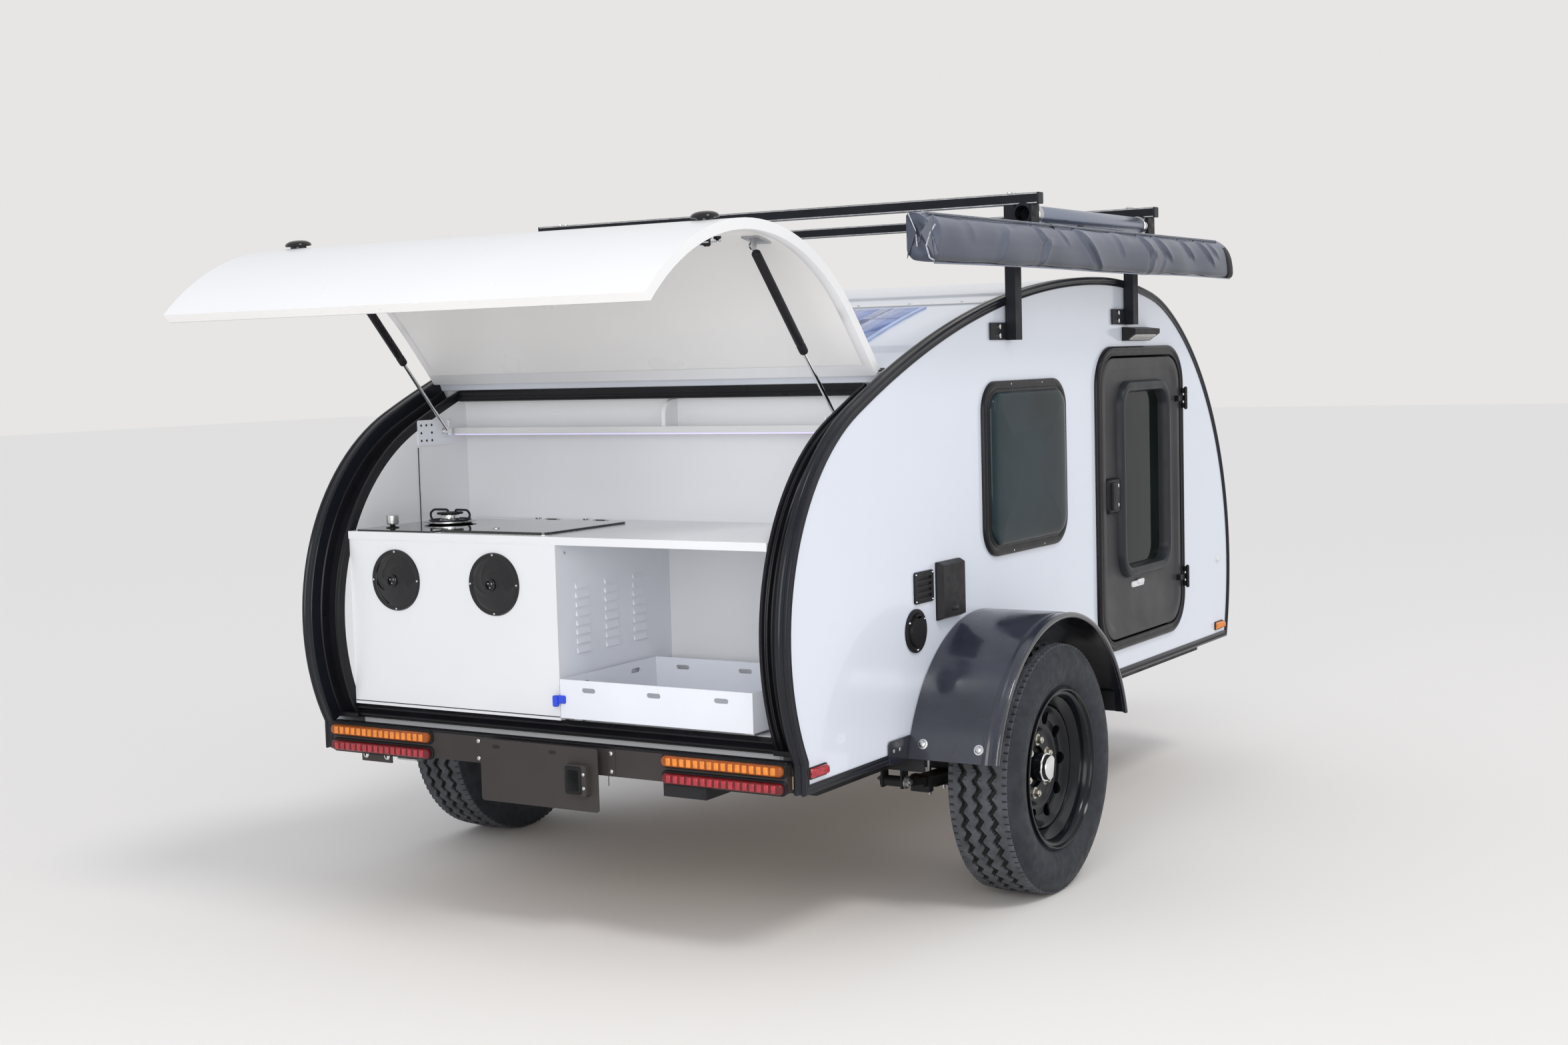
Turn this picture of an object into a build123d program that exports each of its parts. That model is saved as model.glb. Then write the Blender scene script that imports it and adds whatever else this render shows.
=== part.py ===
from build123d import *
from collections import namedtuple
from math import acos, asin, atan2, cos, degrees, hypot, pi, radians, sin, sqrt, tan
import os

# Teardrop trailer with its galley hatch raised, parked on its two wheels and its drawbar jack.
# Millimetres. +X is forward, +Y is the left side, +Z is up and the ground is at zero.
# Stations along the trailer are measured from the axle and then shifted by axle_x.

# Side outline, a chain of tangent arcs that meet at the crown of the roof
crown_ahead = 877
crown_height = 1626
roof_front_radius = 1916
roof_front_turn = 11.8
brow_radius = 604
brow_turn = 11.9
nose_radius = 955
roof_rear_radius = 3607
roof_rear_turn = 24.76
tail_radius = 594
tail_foot_height = 485
tail_overrun = 15
body_bottom = 415
body_half_width = 740
wall = 28
skin = 28

# Black edge trim and the rubber channel round the galley opening
trim_proud = 3
trim_lip = 22
trim_thickness = 2.5
galley_side_post = 94
galley_half_width = body_half_width - galley_side_post
seal_gap = 6
seal_depth = 24
seal_lip = 9
seal_base = 12
hinge_strip = 3

# Galley hatch, drawn closed and turned open about its hinge
hinge_behind = 441
hatch_thickness = 25
hatch_inset = 2
hatch_side_gap = 6
hatch_hinge_gap = 8
hatch_barrel_radius = 2.5
hatch_pin_radius = 1.2
hatch_leaf = 1.5
hatch_leaf_reach = 20
hatch_knuckles = 13
hatch_end_height = 493
hatch_open = 72
latch_turn = 76.5
latch_side_gap = 32
latch_half_spacing = galley_half_width - latch_side_gap
latch_radius = 28
latch_knob_height = 10
latch_knob_taper = 30
latch_grip_width = 10
latch_grip_length = 26
latch_grip_height = 8
latch_catch_radius = 13
latch_catch_depth = 18
latch_bolt_width = 18
latch_bolt_length = 66
latch_bolt_sheet = 4
latch_bolt_depth = 12
latch_bolt_reach = 24

# Gas struts of the hatch
strut_side_gap = 18
strut_y = galley_half_width - strut_side_gap
strut_turn = 59.6
strut_inset = 43
strut_base_behind = 505
strut_base_height = 1235
strut_tube_radius = 11
strut_tube_length = 310
strut_rod_radius = 5
strut_eye_radius = 9
strut_gap = 0.5
strut_shank = 18
strut_pin_radius = 4
strut_boss_radius = 7
strut_eye_half = 4
strut_neck_width = 12
strut_rod_hidden = 60
strut_stud_clear = 0.8
bracket_length = 142
bracket_height = 70
bracket_sheet = 3
lug_width = 20
lug_sheet = 4
lug_foot_width = 44
lug_foot_length = 60

# Floor, bulkhead and galley
floor_bottom = 425
floor_thickness = 30
bulkhead_behind = 405
bulkhead_thickness = 18
liner = 6
deck_top = 536
deck_thickness = 12
galley_front_behind = 896
cabinet_setback = 3
counter_top = 992
counter_thickness = 20
panel = 12
cabinet_edge_y = -32
cabinet_foot_gap = 1
shelf_top = 1242
shelf_thickness = 14
shelf_depth = 62
divider_y = -62
divider_height = 72
divider_round = 44
vent_radius = 80
vent_rim = 12
vent_depth = 5
vent_dome = 9
vent_knob_radius = 14
vent_height = 868
vent_ys = (488, 163)
louvre_columns = 3
louvre_rows = 8
louvre_rise = 14
louvre_proud = 5
louvre_length = 52
louvre_pitch = 23
louvre_column_pitch = 121
louvre_first_behind = 790
louvre_bottom = 702

# Tray on slides under the counter
tray_side_gap = 8
tray_outer_gap = 46
tray_width = galley_half_width + cabinet_edge_y - tray_side_gap - tray_outer_gap
tray_length = 410
tray_height = 96
tray_sheet = 3
tray_lift = 10
tray_slot_length = 40
tray_slot_height = 12
tray_slot_drop = 24
tray_front_slot_pitch = 193
tray_side_slot_pitch = 220
slide_inset = 30
slide_width = 26

# Hob and sink let into the counter
hob_length = 370
hob_end_gap = 7
hob_glass = 4
hob_corner = 12
hob_gap = 18
burner_ahead = 40
burner_radius = 52
burner_base = 4
burner_height = 14
support_height = 26
support_bar = 6
hob_knob_radius = 17
hob_knob_height = 22
hob_knob_behind = 120
hob_knob_left = 60
sink_length = 350
sink_width = 350
sink_rim = 24
sink_bowl_depth = 130
sink_sheet = 2
sink_drain_radius = 22
sink_lid_thickness = 6
lid_barrel_radius = 5
lid_pin_radius = 2.5
lid_barrel_length = 30
lid_ear_length = 8
lid_hinge_spread = 160
rear_gap = 14

# Doors, hinged at their front edges, and the side windows
door_centre = 1154
door_sill = 60
door_frame_width = 708
door_frame_height = 924
door_middle_height = body_bottom + trim_lip + door_sill + door_frame_height / 2
door_corner = 125
door_frame_face = 30
door_frame_proud = 14
door_gap = 5
door_thickness = 30
door_rim = 34
door_recess = 8
door_handle_width = 88
door_handle_height = 107
door_handle_behind = 246
door_handle_up = 13
door_handle_proud = 22
door_window_width = 338
door_window_height = 531
door_window_border = 38
door_window_proud = 14
door_window_corner = 48
door_window_ahead = 11
door_window_up = 54
door_glass_thickness = 5
hinge_radius = 8
hinge_pin_radius = 4
hinge_length = 70
hinge_knuckle = 24
hinge_spread = 580
hinge_strap = 4
window_centre = 305
window_middle_height = 1101
window_width = 537
window_height = 471
window_corner = 82
window_frame = 22
window_proud = 12
window_bulge = 16

# Running gear
tyre_radius = 328
tyre_belly_radius = 262
tyre_width = 198
tread_width = 158
wheel_beyond_side = 146
wheel_y = body_half_width + wheel_beyond_side
rim_radius = 209
rim_width = 176
rim_sheet = 4
rim_seat = 192
rim_well = 166
disc_outward = 14
disc_sheet = 12
disc_ring_proud = 8
disc_ring_inner = 96
disc_ring_outer = 140
disc_edge_proud = 25
disc_edge_lip = 5
disc_hole_radius = 17
disc_hole_circle = 128
disc_holes = 10
drum_radius = 110
hub_cap_radius = 31
hub_cap_length = 43
hub_collar = 4
axle_tube = 50
axle_gap = 0.5
drum_depth = 55
spindle_radius = 20
spindle_length = 50
fender_radius = 431
fender_centre_height = 305
fender_end_height = 412
fender_sheet = 3
fender_width = 248
fender_roll = 14
fender_plate_length = 104
fender_plate_height = 58
fender_plate = 3
arm_sheet = 6
arm_leg = 34
arm_lift = 4
arm_wall_gap = 4
arm_skirt_gap = 4
arm_end_gap = 30

# Chassis
rail_inside = 100
rail_y = body_half_width - rail_inside
rail_width = 60
rail_height = 40
rail_front_short = 60
spring_half_length = 300
spring_width = 50
spring_thickness = 24
crossmember_width = 40
crossmember_stations = (-420, 420, 900, 1400)
frame_rear_behind = 740
rear_stub_middle_y = -418
rear_stub_width = 122
rear_stub_height = 34
drawbar_tube = 50
drawbar_tip_ahead = 2720
drawbar_foot_ahead = 1250
drawbar_foot_inside = 80
drawbar_foot_y = rail_y - drawbar_foot_inside
drawbar_tip_y = 36
coupler_ahead = 2790
coupler_ball = 50
coupler_nose = 52
coupler_nose_drop = 22
coupler_nose_height = 58
coupler_plate_length = 190
coupler_plate_width = 76
coupler_body_behind = 120
coupler_body_length = 150
coupler_body_width = 56
coupler_body_height = 30
drawbar_gusset_length = 150
drawbar_gusset_width = 80
drawbar_gusset = 8
jack_ahead = 2460
jack_y = 240
jack_sleeve_radius = 30
jack_tube_radius = 24
jack_sleeve_length = 290
jack_travel = 75
jack_crank_length = 150
jack_crank_width = 18
jack_crank_sheet = 12
jack_grip_radius = 12
jack_grip_height = 70
jockey_radius = 100
jockey_width = 58
jockey_trail = 42

# Rear panel, lamps and plate holder
rear_panel_thickness = 12
rear_panel_proud = 11
rear_panel_top = 487
rear_panel_bottom = 418
rear_panel_short = 38
rear_panel_half_width = body_half_width - rear_panel_short
lamp_length = 341
lamp_height = 30
lamp_depth = 22
lamp_heights = (471, 430)
plate_holder_width = 363
plate_holder_height = 156
plate_holder_top = 488
plate_holder_y = -4
plate_holder_sheet = 3
plate_holder_standoff = 26
plate_arm_y = 39
plate_arm_width = 138
plate_slot_spacing = 176
plate_slot_drop = 18
plate_slot_length = 20
plate_slot_height = 8
plate_lamp_width = 67
plate_lamp_height = 80
plate_lamp_depth = 16
lamp_end_gap = 2
lamp_first_y = rear_panel_half_width - lamp_end_gap - lamp_length
hanger_middle_y = 552
hanger_width = 103
hanger_drop = 25
hanger_hole_radius = 6

# Roof rack, awning bag and solar panel
rear_post_ahead = 216
front_post_ahead = 1055
post_porch_gap = 7
rear_post_lower = 41
post_width = 40
post_depth = 30
post_tab_length = 100
post_tab_height = 46
post_tab_sheet = 4
bar_size = 30
bar_height = 1821
bar_overhang = 100
bar_half_length = body_half_width + bar_overhang
rack_tube_radius = 25
rack_tube_wall = 3
rack_tube_overhang = 20
bag_clamp_width = 50
bag_rear_behind = 525
bag_length = 2066
bag_depth = 84
bag_height = 122
bag_below_bar = 190
bag_inner_rise = 20
bag_foot_inset = 14
bag_shoulder_inset = 10
bag_clamp_short = 30
bag_gap = 4
solar_length = 510
solar_width = 1110
solar_thickness = 4
solar_ahead = 97
porch_light_ahead = -34
porch_light_length = 200
porch_light_height = 42
porch_light_depth = 45
porch_light_gap = 16
marker_length = 80
marker_height = 28
marker_depth = 16
marker_middle_height = 462
marker_skin_gap = 45
fitting_plate = 5
louvre_vent_place = (-311, 830)
louvre_vent_size = (101, 80)
louvre_vent_pitch = 15
tall_cover_place = (-175, 810)
tall_cover_size = (136, 149)
tall_cover_depth = 16
socket_place = (-357, 724)
socket_radius = 55
socket_cap_depth = 8

# Chain hung under the drawbar
chain_wire = 8
chain_pitch = 30
chain_link_width = 28
chain_links = 15
chain_behind_tip = 110

clearance = 0.3


# The outline's arcs in one frame: a turn of zero is the crown, the front is negative
SkinArc = namedtuple("SkinArc", "centre radius start end")


def step_centre(centre, radius, next_radius, turn):
    # centre of the next arc of a tangent chain
    away = radius - next_radius
    return (centre[0] - away * sin(radians(turn)), centre[1] + away * cos(radians(turn)))


roof_front_centre = (crown_ahead, crown_height - roof_front_radius)
brow_centre = step_centre(roof_front_centre, roof_front_radius, brow_radius, -roof_front_turn)
nose_turn = -(roof_front_turn + brow_turn)
nose_centre = step_centre(brow_centre, brow_radius, nose_radius, nose_turn)
nose_end = -degrees(acos((body_bottom - nose_centre[1]) / nose_radius))
roof_rear_centre = (crown_ahead, crown_height - roof_rear_radius)
tail_centre = step_centre(roof_rear_centre, roof_rear_radius, tail_radius, roof_rear_turn)
tail_end = degrees(acos((tail_foot_height - tail_centre[1]) / tail_radius))

skin_arcs = [
    SkinArc(nose_centre, nose_radius, nose_end, nose_turn),
    SkinArc(brow_centre, brow_radius, nose_turn, -roof_front_turn),
    SkinArc(roof_front_centre, roof_front_radius, -roof_front_turn, 0),
    SkinArc(roof_rear_centre, roof_rear_radius, 0, roof_rear_turn),
    SkinArc(tail_centre, tail_radius, roof_rear_turn, tail_end + tail_overrun),
]


def skin_point(turn, inset=0):
    # station and height of a point of the outline, set in by a distance
    arc = [arc for arc in skin_arcs if turn <= arc.end or arc is skin_arcs[-1]][0]
    reach = arc.radius - inset
    return (arc.centre[0] - reach * sin(radians(turn)), arc.centre[1] + reach * cos(radians(turn)))


def tail_turn_at(height, inset=0):
    return degrees(acos((height - tail_centre[1]) / (tail_radius - inset)))


def nose_station_at(height, inset=0):
    return nose_centre[0] + sqrt((nose_radius - inset) ** 2 - (height - nose_centre[1]) ** 2)


hinge_turn = degrees(asin((crown_ahead + hinge_behind) / roof_rear_radius))
hinge_station, hinge_height = skin_point(hinge_turn)
hatch_end_turn = tail_turn_at(hatch_end_height)


def opened(station, height):
    # where a point of the closed hatch goes when the hatch stands open
    c, s = cos(radians(hatch_open)), sin(radians(hatch_open))
    dx, dz = station - hinge_station, height - hinge_height
    return (hinge_station + dx * c + dz * s, hinge_height - dx * s + dz * c)


tail_reach = -opened(*skin_point(hatch_end_turn, hatch_inset))[0]
nose_reach = coupler_ahead + coupler_nose
axle_x = (tail_reach - nose_reach) / 2

inner_half_width = body_half_width - wall
side_plane = Plane.XZ.offset(0).shift_origin((axle_x, 0, 0))
hatch_origin = opened(0, 0)
hatch_plane = Plane(
    origin=(axle_x + hatch_origin[0], 0, hatch_origin[1]),
    x_dir=(cos(radians(hatch_open)), 0, -sin(radians(hatch_open))),
    z_dir=(0, -1, 0),
)
os.makedirs("parts", exist_ok=True)


def save(piece, name):
    piece.part.label = name
    export_step(piece.part, f"parts/{name}.step")


def skin_band(outer, inner, start, end):
    # a strip of the outline between two insets and two turns
    spans = [(arc, max(start, arc.start), min(end, arc.end)) for arc in skin_arcs]
    spans = [span for span in spans if span[2] > span[1]]
    with BuildSketch() as band:
        with BuildLine():
            for arc, a, b in spans:
                CenterArc(arc.centre, arc.radius - outer, 90 + a, b - a)
                CenterArc(arc.centre, arc.radius - inner, 90 + a, b - a)
            for turn in (start, end):
                Line(skin_point(turn, outer), skin_point(turn, inner))
        make_face()
    return band.sketch


def side_outline():
    # the whole side of the body, with its straight foot at the rear
    foot = skin_point(tail_end)
    with BuildSketch() as outline:
        with BuildLine():
            for arc in skin_arcs:
                CenterArc(arc.centre, arc.radius, 90 + arc.start, min(arc.end, tail_end) - arc.start)
            Polyline(foot, (foot[0], body_bottom), skin_point(nose_end))
        make_face()
    return outline.sketch


# Side walls, with the door and window openings cut through
with BuildPart() as side_wall_right:
    with BuildSketch(side_plane.offset(inner_half_width)):
        add(side_outline())
        offset(amount=-trim_proud, kind=Kind.INTERSECTION, mode=Mode.REPLACE)
        with Locations((door_centre, door_middle_height)):
            RectangleRounded(
                door_frame_width - 2 * door_frame_face,
                door_frame_height - 2 * door_frame_face,
                door_corner - door_frame_face,
                mode=Mode.SUBTRACT,
            )
        with Locations((window_centre, window_middle_height)):
            RectangleRounded(
                window_width - 2 * window_frame,
                window_height - 2 * window_frame,
                window_corner - window_frame,
                mode=Mode.SUBTRACT,
            )
    extrude(amount=wall)
save(side_wall_right, "side_wall_right")

with BuildPart() as side_wall_left:
    mirror(side_wall_right.part, about=Plane.XZ)
save(side_wall_left, "side_wall_left")

# Edge trims: a cap over each wall's edge and a lip on its outer face
with BuildPart() as edge_trims:
    with BuildSketch(side_plane.offset(inner_half_width)):
        add(side_outline())
        offset(amount=-trim_proud, kind=Kind.INTERSECTION, mode=Mode.SUBTRACT)
    extrude(amount=wall)
    with BuildSketch(side_plane.offset(body_half_width)):
        add(side_outline())
        offset(amount=-trim_lip, kind=Kind.INTERSECTION, mode=Mode.SUBTRACT)
    extrude(amount=trim_thickness)
    mirror(about=Plane.XZ)
save(edge_trims, "edge_trims")

# Roof and front skin in one sheet, from the foot of the nose to the hatch hinge
skin_depth = trim_proud + skin
with BuildPart() as roof_skin:
    with BuildSketch(side_plane.offset(-inner_half_width)):
        add(skin_band(trim_proud, skin_depth, nose_end, hinge_turn))
    extrude(amount=2 * inner_half_width)
save(roof_skin, "roof_skin")

# Floor panel between the walls
floor_front = nose_station_at(floor_bottom, skin_depth + clearance)
floor_rear = skin_point(tail_end)[0] + rear_panel_thickness
floor_top = floor_bottom + floor_thickness
with BuildPart() as floor:
    with BuildSketch(side_plane.offset(-inner_half_width)):
        with Locations(((floor_front + floor_rear) / 2, floor_bottom + floor_thickness / 2)):
            Rectangle(floor_front - floor_rear, floor_thickness)
    extrude(amount=2 * inner_half_width)
save(floor, "floor")

# Bulkhead between the cabin and the galley, cut to the roof's curve
with BuildPart() as bulkhead:
    with BuildSketch(side_plane.offset(-inner_half_width)):
        add(side_outline())
        offset(amount=-skin_depth, kind=Kind.INTERSECTION, mode=Mode.REPLACE)
        with Locations((-bulkhead_behind, floor_top)):
            Rectangle(
                bulkhead_thickness,
                crown_height,
                align=(Align.MIN, Align.MIN),
                mode=Mode.INTERSECT,
            )
    extrude(amount=2 * inner_half_width)
save(bulkhead, "bulkhead")

# Galley seals: a lipped channel down each side, a strip under the hinge and one on the sill
seal_outer = hatch_inset + hatch_thickness + seal_gap
seal_inner = seal_outer + seal_depth
sill_top_turn = tail_turn_at(deck_top, seal_inner)
sill_end_turn = tail_turn_at(rear_panel_top + seal_gap, seal_outer)
top_seal_turn = hinge_turn + degrees(seal_base / roof_rear_radius)
hinge_strip_turn = hinge_turn + degrees(hinge_strip / roof_rear_radius)
with BuildPart() as galley_seals:
    seal_width = inner_half_width - galley_half_width
    with BuildSketch(side_plane.offset(galley_half_width)):
        add(skin_band(seal_outer + seal_base, seal_inner, hinge_turn, sill_end_turn))
    extrude(amount=seal_width)
    with BuildSketch(side_plane.offset(galley_half_width)):
        add(skin_band(seal_outer, seal_outer + seal_base, hinge_turn, sill_end_turn))
    extrude(amount=seal_lip)
    with BuildSketch(side_plane.offset(inner_half_width - seal_lip)):
        add(skin_band(seal_outer, seal_outer + seal_base, hinge_turn, sill_end_turn))
    extrude(amount=seal_lip)
    mirror(about=Plane.XZ)
    with BuildSketch(side_plane.offset(-galley_half_width)):
        add(skin_band(seal_outer, seal_inner, hinge_turn, top_seal_turn))
        add(skin_band(trim_proud, seal_outer, hinge_turn, hinge_strip_turn))
        add(skin_band(seal_outer, seal_inner, sill_top_turn, sill_end_turn))
    extrude(amount=2 * galley_half_width)
save(galley_seals, "galley_seals")

# Liner panels on both sides of the galley, inside the seal channels
with BuildPart() as galley_liners:
    with BuildSketch(side_plane.offset(galley_half_width)):
        add(side_outline())
        offset(amount=-seal_inner, kind=Kind.INTERSECTION, mode=Mode.REPLACE)
        with Locations((-bulkhead_behind, floor_top)):
            Rectangle(
                tail_reach,
                hinge_height - floor_top - seal_inner,
                align=(Align.MAX, Align.MIN),
                mode=Mode.INTERSECT,
            )
    extrude(amount=liner)
    mirror(about=Plane.XZ)
save(galley_liners, "galley_liners")

# Galley deck with the sill board that carries its rear edge
sill_station = skin_point(sill_end_turn, seal_inner)[0]
with BuildPart() as galley_deck:
    with BuildSketch(side_plane.offset(-galley_half_width)):
        with BuildLine():
            Polyline(
                (sill_station, floor_top),
                (sill_station + panel, floor_top),
                (sill_station + panel, deck_top - deck_thickness),
                (-bulkhead_behind, deck_top - deck_thickness),
                (-bulkhead_behind, deck_top),
                (sill_station, deck_top),
                close=True,
            )
        make_face()
    extrude(amount=2 * galley_half_width)
save(galley_deck, "galley_deck")

# Counter with the hole for the sink bowl
sink_y = 178
sink_station = -galley_front_behind + rear_gap + sink_length / 2
counter_depth = galley_front_behind - bulkhead_behind
counter_bottom = counter_top - counter_thickness
with BuildPart() as counter:
    with BuildSketch(Plane.XY.offset(counter_bottom)):
        with Locations((axle_x - galley_front_behind, 0)):
            Rectangle(counter_depth, 2 * galley_half_width, align=(Align.MIN, Align.CENTER))
        with Locations((axle_x + sink_station, sink_y)):
            RectangleRounded(
                sink_length - 2 * sink_rim,
                sink_width - 2 * sink_rim,
                sink_rim,
                mode=Mode.SUBTRACT,
            )
    extrude(amount=counter_thickness)
save(counter, "counter")

# Left cabinet front, with a hole behind each round vent
cabinet_width = galley_half_width - cabinet_edge_y
cabinet_foot = deck_top + cabinet_foot_gap
cabinet_front = -galley_front_behind + cabinet_setback
with BuildPart() as cabinet_front_panel:
    with BuildSketch(Plane.YZ.offset(axle_x + cabinet_front)):
        with Locations((galley_half_width, cabinet_foot)):
            Rectangle(
                cabinet_width, counter_bottom - cabinet_foot, align=(Align.MAX, Align.MIN)
            )
        with Locations(*[(y, vent_height) for y in vent_ys]):
            Circle(vent_radius - 2 * vent_rim, mode=Mode.SUBTRACT)
    extrude(amount=panel)
save(cabinet_front_panel, "cabinet_front")

# Louvred side panel of the cabinet, columns of pressed slats
with BuildPart() as louvre_panel:
    with BuildSketch(Plane.XZ.offset(-cabinet_edge_y - panel)):
        with Locations((axle_x + cabinet_front + panel, deck_top)):
            Rectangle(
                -cabinet_front - panel - bulkhead_behind,
                counter_bottom - deck_top,
                align=(Align.MIN, Align.MIN),
            )
    extrude(amount=panel)
    for column in range(louvre_columns):
        for row in range(louvre_rows):
            station = axle_x - louvre_first_behind + column * louvre_column_pitch
            height = louvre_bottom + row * louvre_pitch
            with BuildSketch(Plane.YZ.offset(station - louvre_length / 2)):
                with BuildLine():
                    Polyline(
                        (cabinet_edge_y, height - louvre_rise / 2),
                        (cabinet_edge_y - louvre_proud, height - louvre_rise / 2),
                        (cabinet_edge_y, height + louvre_rise / 2),
                        close=True,
                    )
                make_face()
            extrude(amount=louvre_length)
save(louvre_panel, "louvre_panel")

# Round vents on the cabinet front, turned: a flat rim, a groove, a domed face and its knob
with BuildPart() as round_vents:
    for y in vent_ys:
        vent_plane = Plane(
            origin=(axle_x + cabinet_front, y, vent_height), x_dir=(0, 1, 0), z_dir=(0, 0, 1)
        )
        dome_edge = vent_radius - vent_rim
        dome_top = vent_depth + vent_dome
        with BuildSketch(vent_plane):
            with BuildLine():
                Polyline(
                    (0, 0),
                    (vent_radius, 0),
                    (vent_radius, vent_depth - 2),
                    (vent_radius - 2, vent_depth),
                    (dome_edge + 2, vent_depth),
                    (dome_edge + 1, vent_depth - 2),
                    (dome_edge, vent_depth - 2),
                )
                ThreePointArc(
                    (dome_edge, vent_depth - 2),
                    (0.6 * dome_edge, vent_depth + 0.65 * vent_dome),
                    (vent_knob_radius, dome_top),
                )
                Polyline(
                    (vent_knob_radius, dome_top),
                    (vent_knob_radius - 1, dome_top + 8),
                    (0, dome_top + 8),
                    (0, 0),
                )
            make_face()
        revolve(axis=Axis(vent_plane.origin, (-1, 0, 0)))
save(round_vents, "round_vents")

# Shelf under the roof with its rounded divider
with BuildPart() as shelf:
    with BuildSketch(side_plane.offset(-galley_half_width)):
        with Locations((-bulkhead_behind, shelf_top)):
            Rectangle(shelf_depth, shelf_thickness, align=(Align.MAX, Align.MAX))
    extrude(amount=2 * galley_half_width)
    with BuildSketch(side_plane.offset(-divider_y)):
        with BuildLine():
            front = -bulkhead_behind - shelf_depth + 4
            top = shelf_top + divider_height
            Line((-bulkhead_behind, shelf_top), (front, shelf_top))
            Line((front, shelf_top), (front, top - divider_round))
            RadiusArc((front, top - divider_round), (front + divider_round, top), divider_round)
            Line((front + divider_round, top), (-bulkhead_behind, top))
            Line((-bulkhead_behind, top), (-bulkhead_behind, shelf_top))
        make_face()
    extrude(amount=panel)
save(shelf, "shelf")

# Tray: a folded sheet box with slots in its walls, on two slides
tray_front = -galley_front_behind - 6
tray_right = cabinet_edge_y - tray_side_gap - tray_width
tray_middle_y = tray_right + tray_width / 2
tray_bottom = deck_top + tray_lift
tray_middle = axle_x + tray_front + tray_length / 2
with BuildPart() as tray:
    with BuildSketch(Plane.XY.offset(tray_bottom)):
        with Locations((tray_middle, tray_middle_y)):
            Rectangle(tray_length, tray_width)
    extrude(amount=tray_height)
    with BuildSketch(Plane.XY.offset(tray_bottom + tray_sheet)):
        with Locations((tray_middle, tray_middle_y)):
            Rectangle(tray_length - 2 * tray_sheet, tray_width - 2 * tray_sheet)
    extrude(amount=tray_height, mode=Mode.SUBTRACT)
    slot_height = tray_bottom + tray_height - tray_slot_drop
    with BuildSketch(Plane.YZ.offset(tray_middle - tray_length)):
        with Locations((tray_middle_y, slot_height)):
            with GridLocations(tray_front_slot_pitch, 0, 3, 1):
                SlotOverall(tray_slot_length, tray_slot_height)
    extrude(amount=2 * tray_length, mode=Mode.SUBTRACT)
    with BuildSketch(Plane.XZ.offset(-tray_middle_y - tray_width)):
        with Locations((tray_middle, slot_height)):
            with GridLocations(tray_side_slot_pitch, 0, 2, 1):
                SlotOverall(tray_slot_length, tray_slot_height)
    extrude(amount=2 * tray_width, mode=Mode.SUBTRACT)
save(tray, "tray")

with BuildPart() as tray_slides:
    slide_height = tray_lift - clearance
    with BuildSketch(Plane.XY.offset(deck_top)):
        with Locations((tray_middle + slide_inset / 2, tray_middle_y)):
            with GridLocations(0, tray_width - 2 * slide_inset, 1, 2):
                Rectangle(tray_length - slide_inset, slide_width)
    extrude(amount=slide_height)
save(tray_slides, "tray_slides")

# Hob: a glass top with one burner ring, its pan support and a knob
hob_middle = axle_x - galley_front_behind + rear_gap + hob_length / 2
hob_right_y = sink_y + sink_width / 2 + hob_gap
hob_width = galley_half_width - liner - hob_end_gap - hob_right_y
hob_y = hob_right_y + hob_width / 2
burner = (hob_middle + burner_ahead, hob_y)
hob_top = counter_top + hob_glass
support_top = hob_top + burner_base + support_height
with BuildPart() as hob:
    with BuildSketch(Plane.XY.offset(counter_top)):
        with Locations((hob_middle, hob_y)):
            RectangleRounded(hob_length, hob_width, hob_corner)
    extrude(amount=hob_glass)
    with BuildSketch(Plane.XY.offset(hob_top)):
        with Locations(burner):
            Circle(burner_radius + 8)
    extrude(amount=burner_base)
    with BuildSketch(Plane.XY.offset(hob_top + burner_base)):
        with Locations(burner):
            Circle(burner_radius - 14)
    extrude(amount=burner_height)
    with BuildSketch(Plane.XY.offset(hob_top + burner_base)):
        with Locations(burner):
            with PolarLocations(burner_radius, 4):
                Rectangle(support_bar + 2, support_bar)
    extrude(amount=support_height)
    with BuildSketch(Plane.XY.offset(support_top - support_bar)):
        with Locations(burner):
            with PolarLocations(burner_radius - 8, 4):
                Rectangle(36, support_bar)
    extrude(amount=support_bar)
    with BuildSketch(Plane.XY.offset(hob_top)):
        with Locations((hob_middle - hob_knob_behind, hob_y + hob_knob_left)):
            Circle(hob_knob_radius)
    extrude(amount=hob_knob_height)
save(hob, "hob")

# Sink bowl hung in the counter, with the ears and pins that its glass lid turns on
sink_middle = axle_x + sink_station
bowl_length = sink_length - 2 * sink_rim - 4
bowl_width = sink_width - 2 * sink_rim - 4
bowl_hollow = (bowl_length - 2 * sink_sheet, bowl_width - 2 * sink_sheet)
bowl_bottom = counter_top - sink_bowl_depth
lid_bottom = counter_top + sink_sheet + axle_gap
lid_axis_x = sink_middle + sink_length / 2 + lid_barrel_radius + 1
lid_axis_height = counter_top + axle_gap + lid_barrel_radius
lid_hinge_ys = (sink_y - lid_hinge_spread / 2, sink_y + lid_hinge_spread / 2)


def lid_hinge_plane(y):
    # across the lid's axis, facing left
    return Plane(origin=(lid_axis_x, y, lid_axis_height), x_dir=(-1, 0, 0), z_dir=(0, 1, 0))


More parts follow.
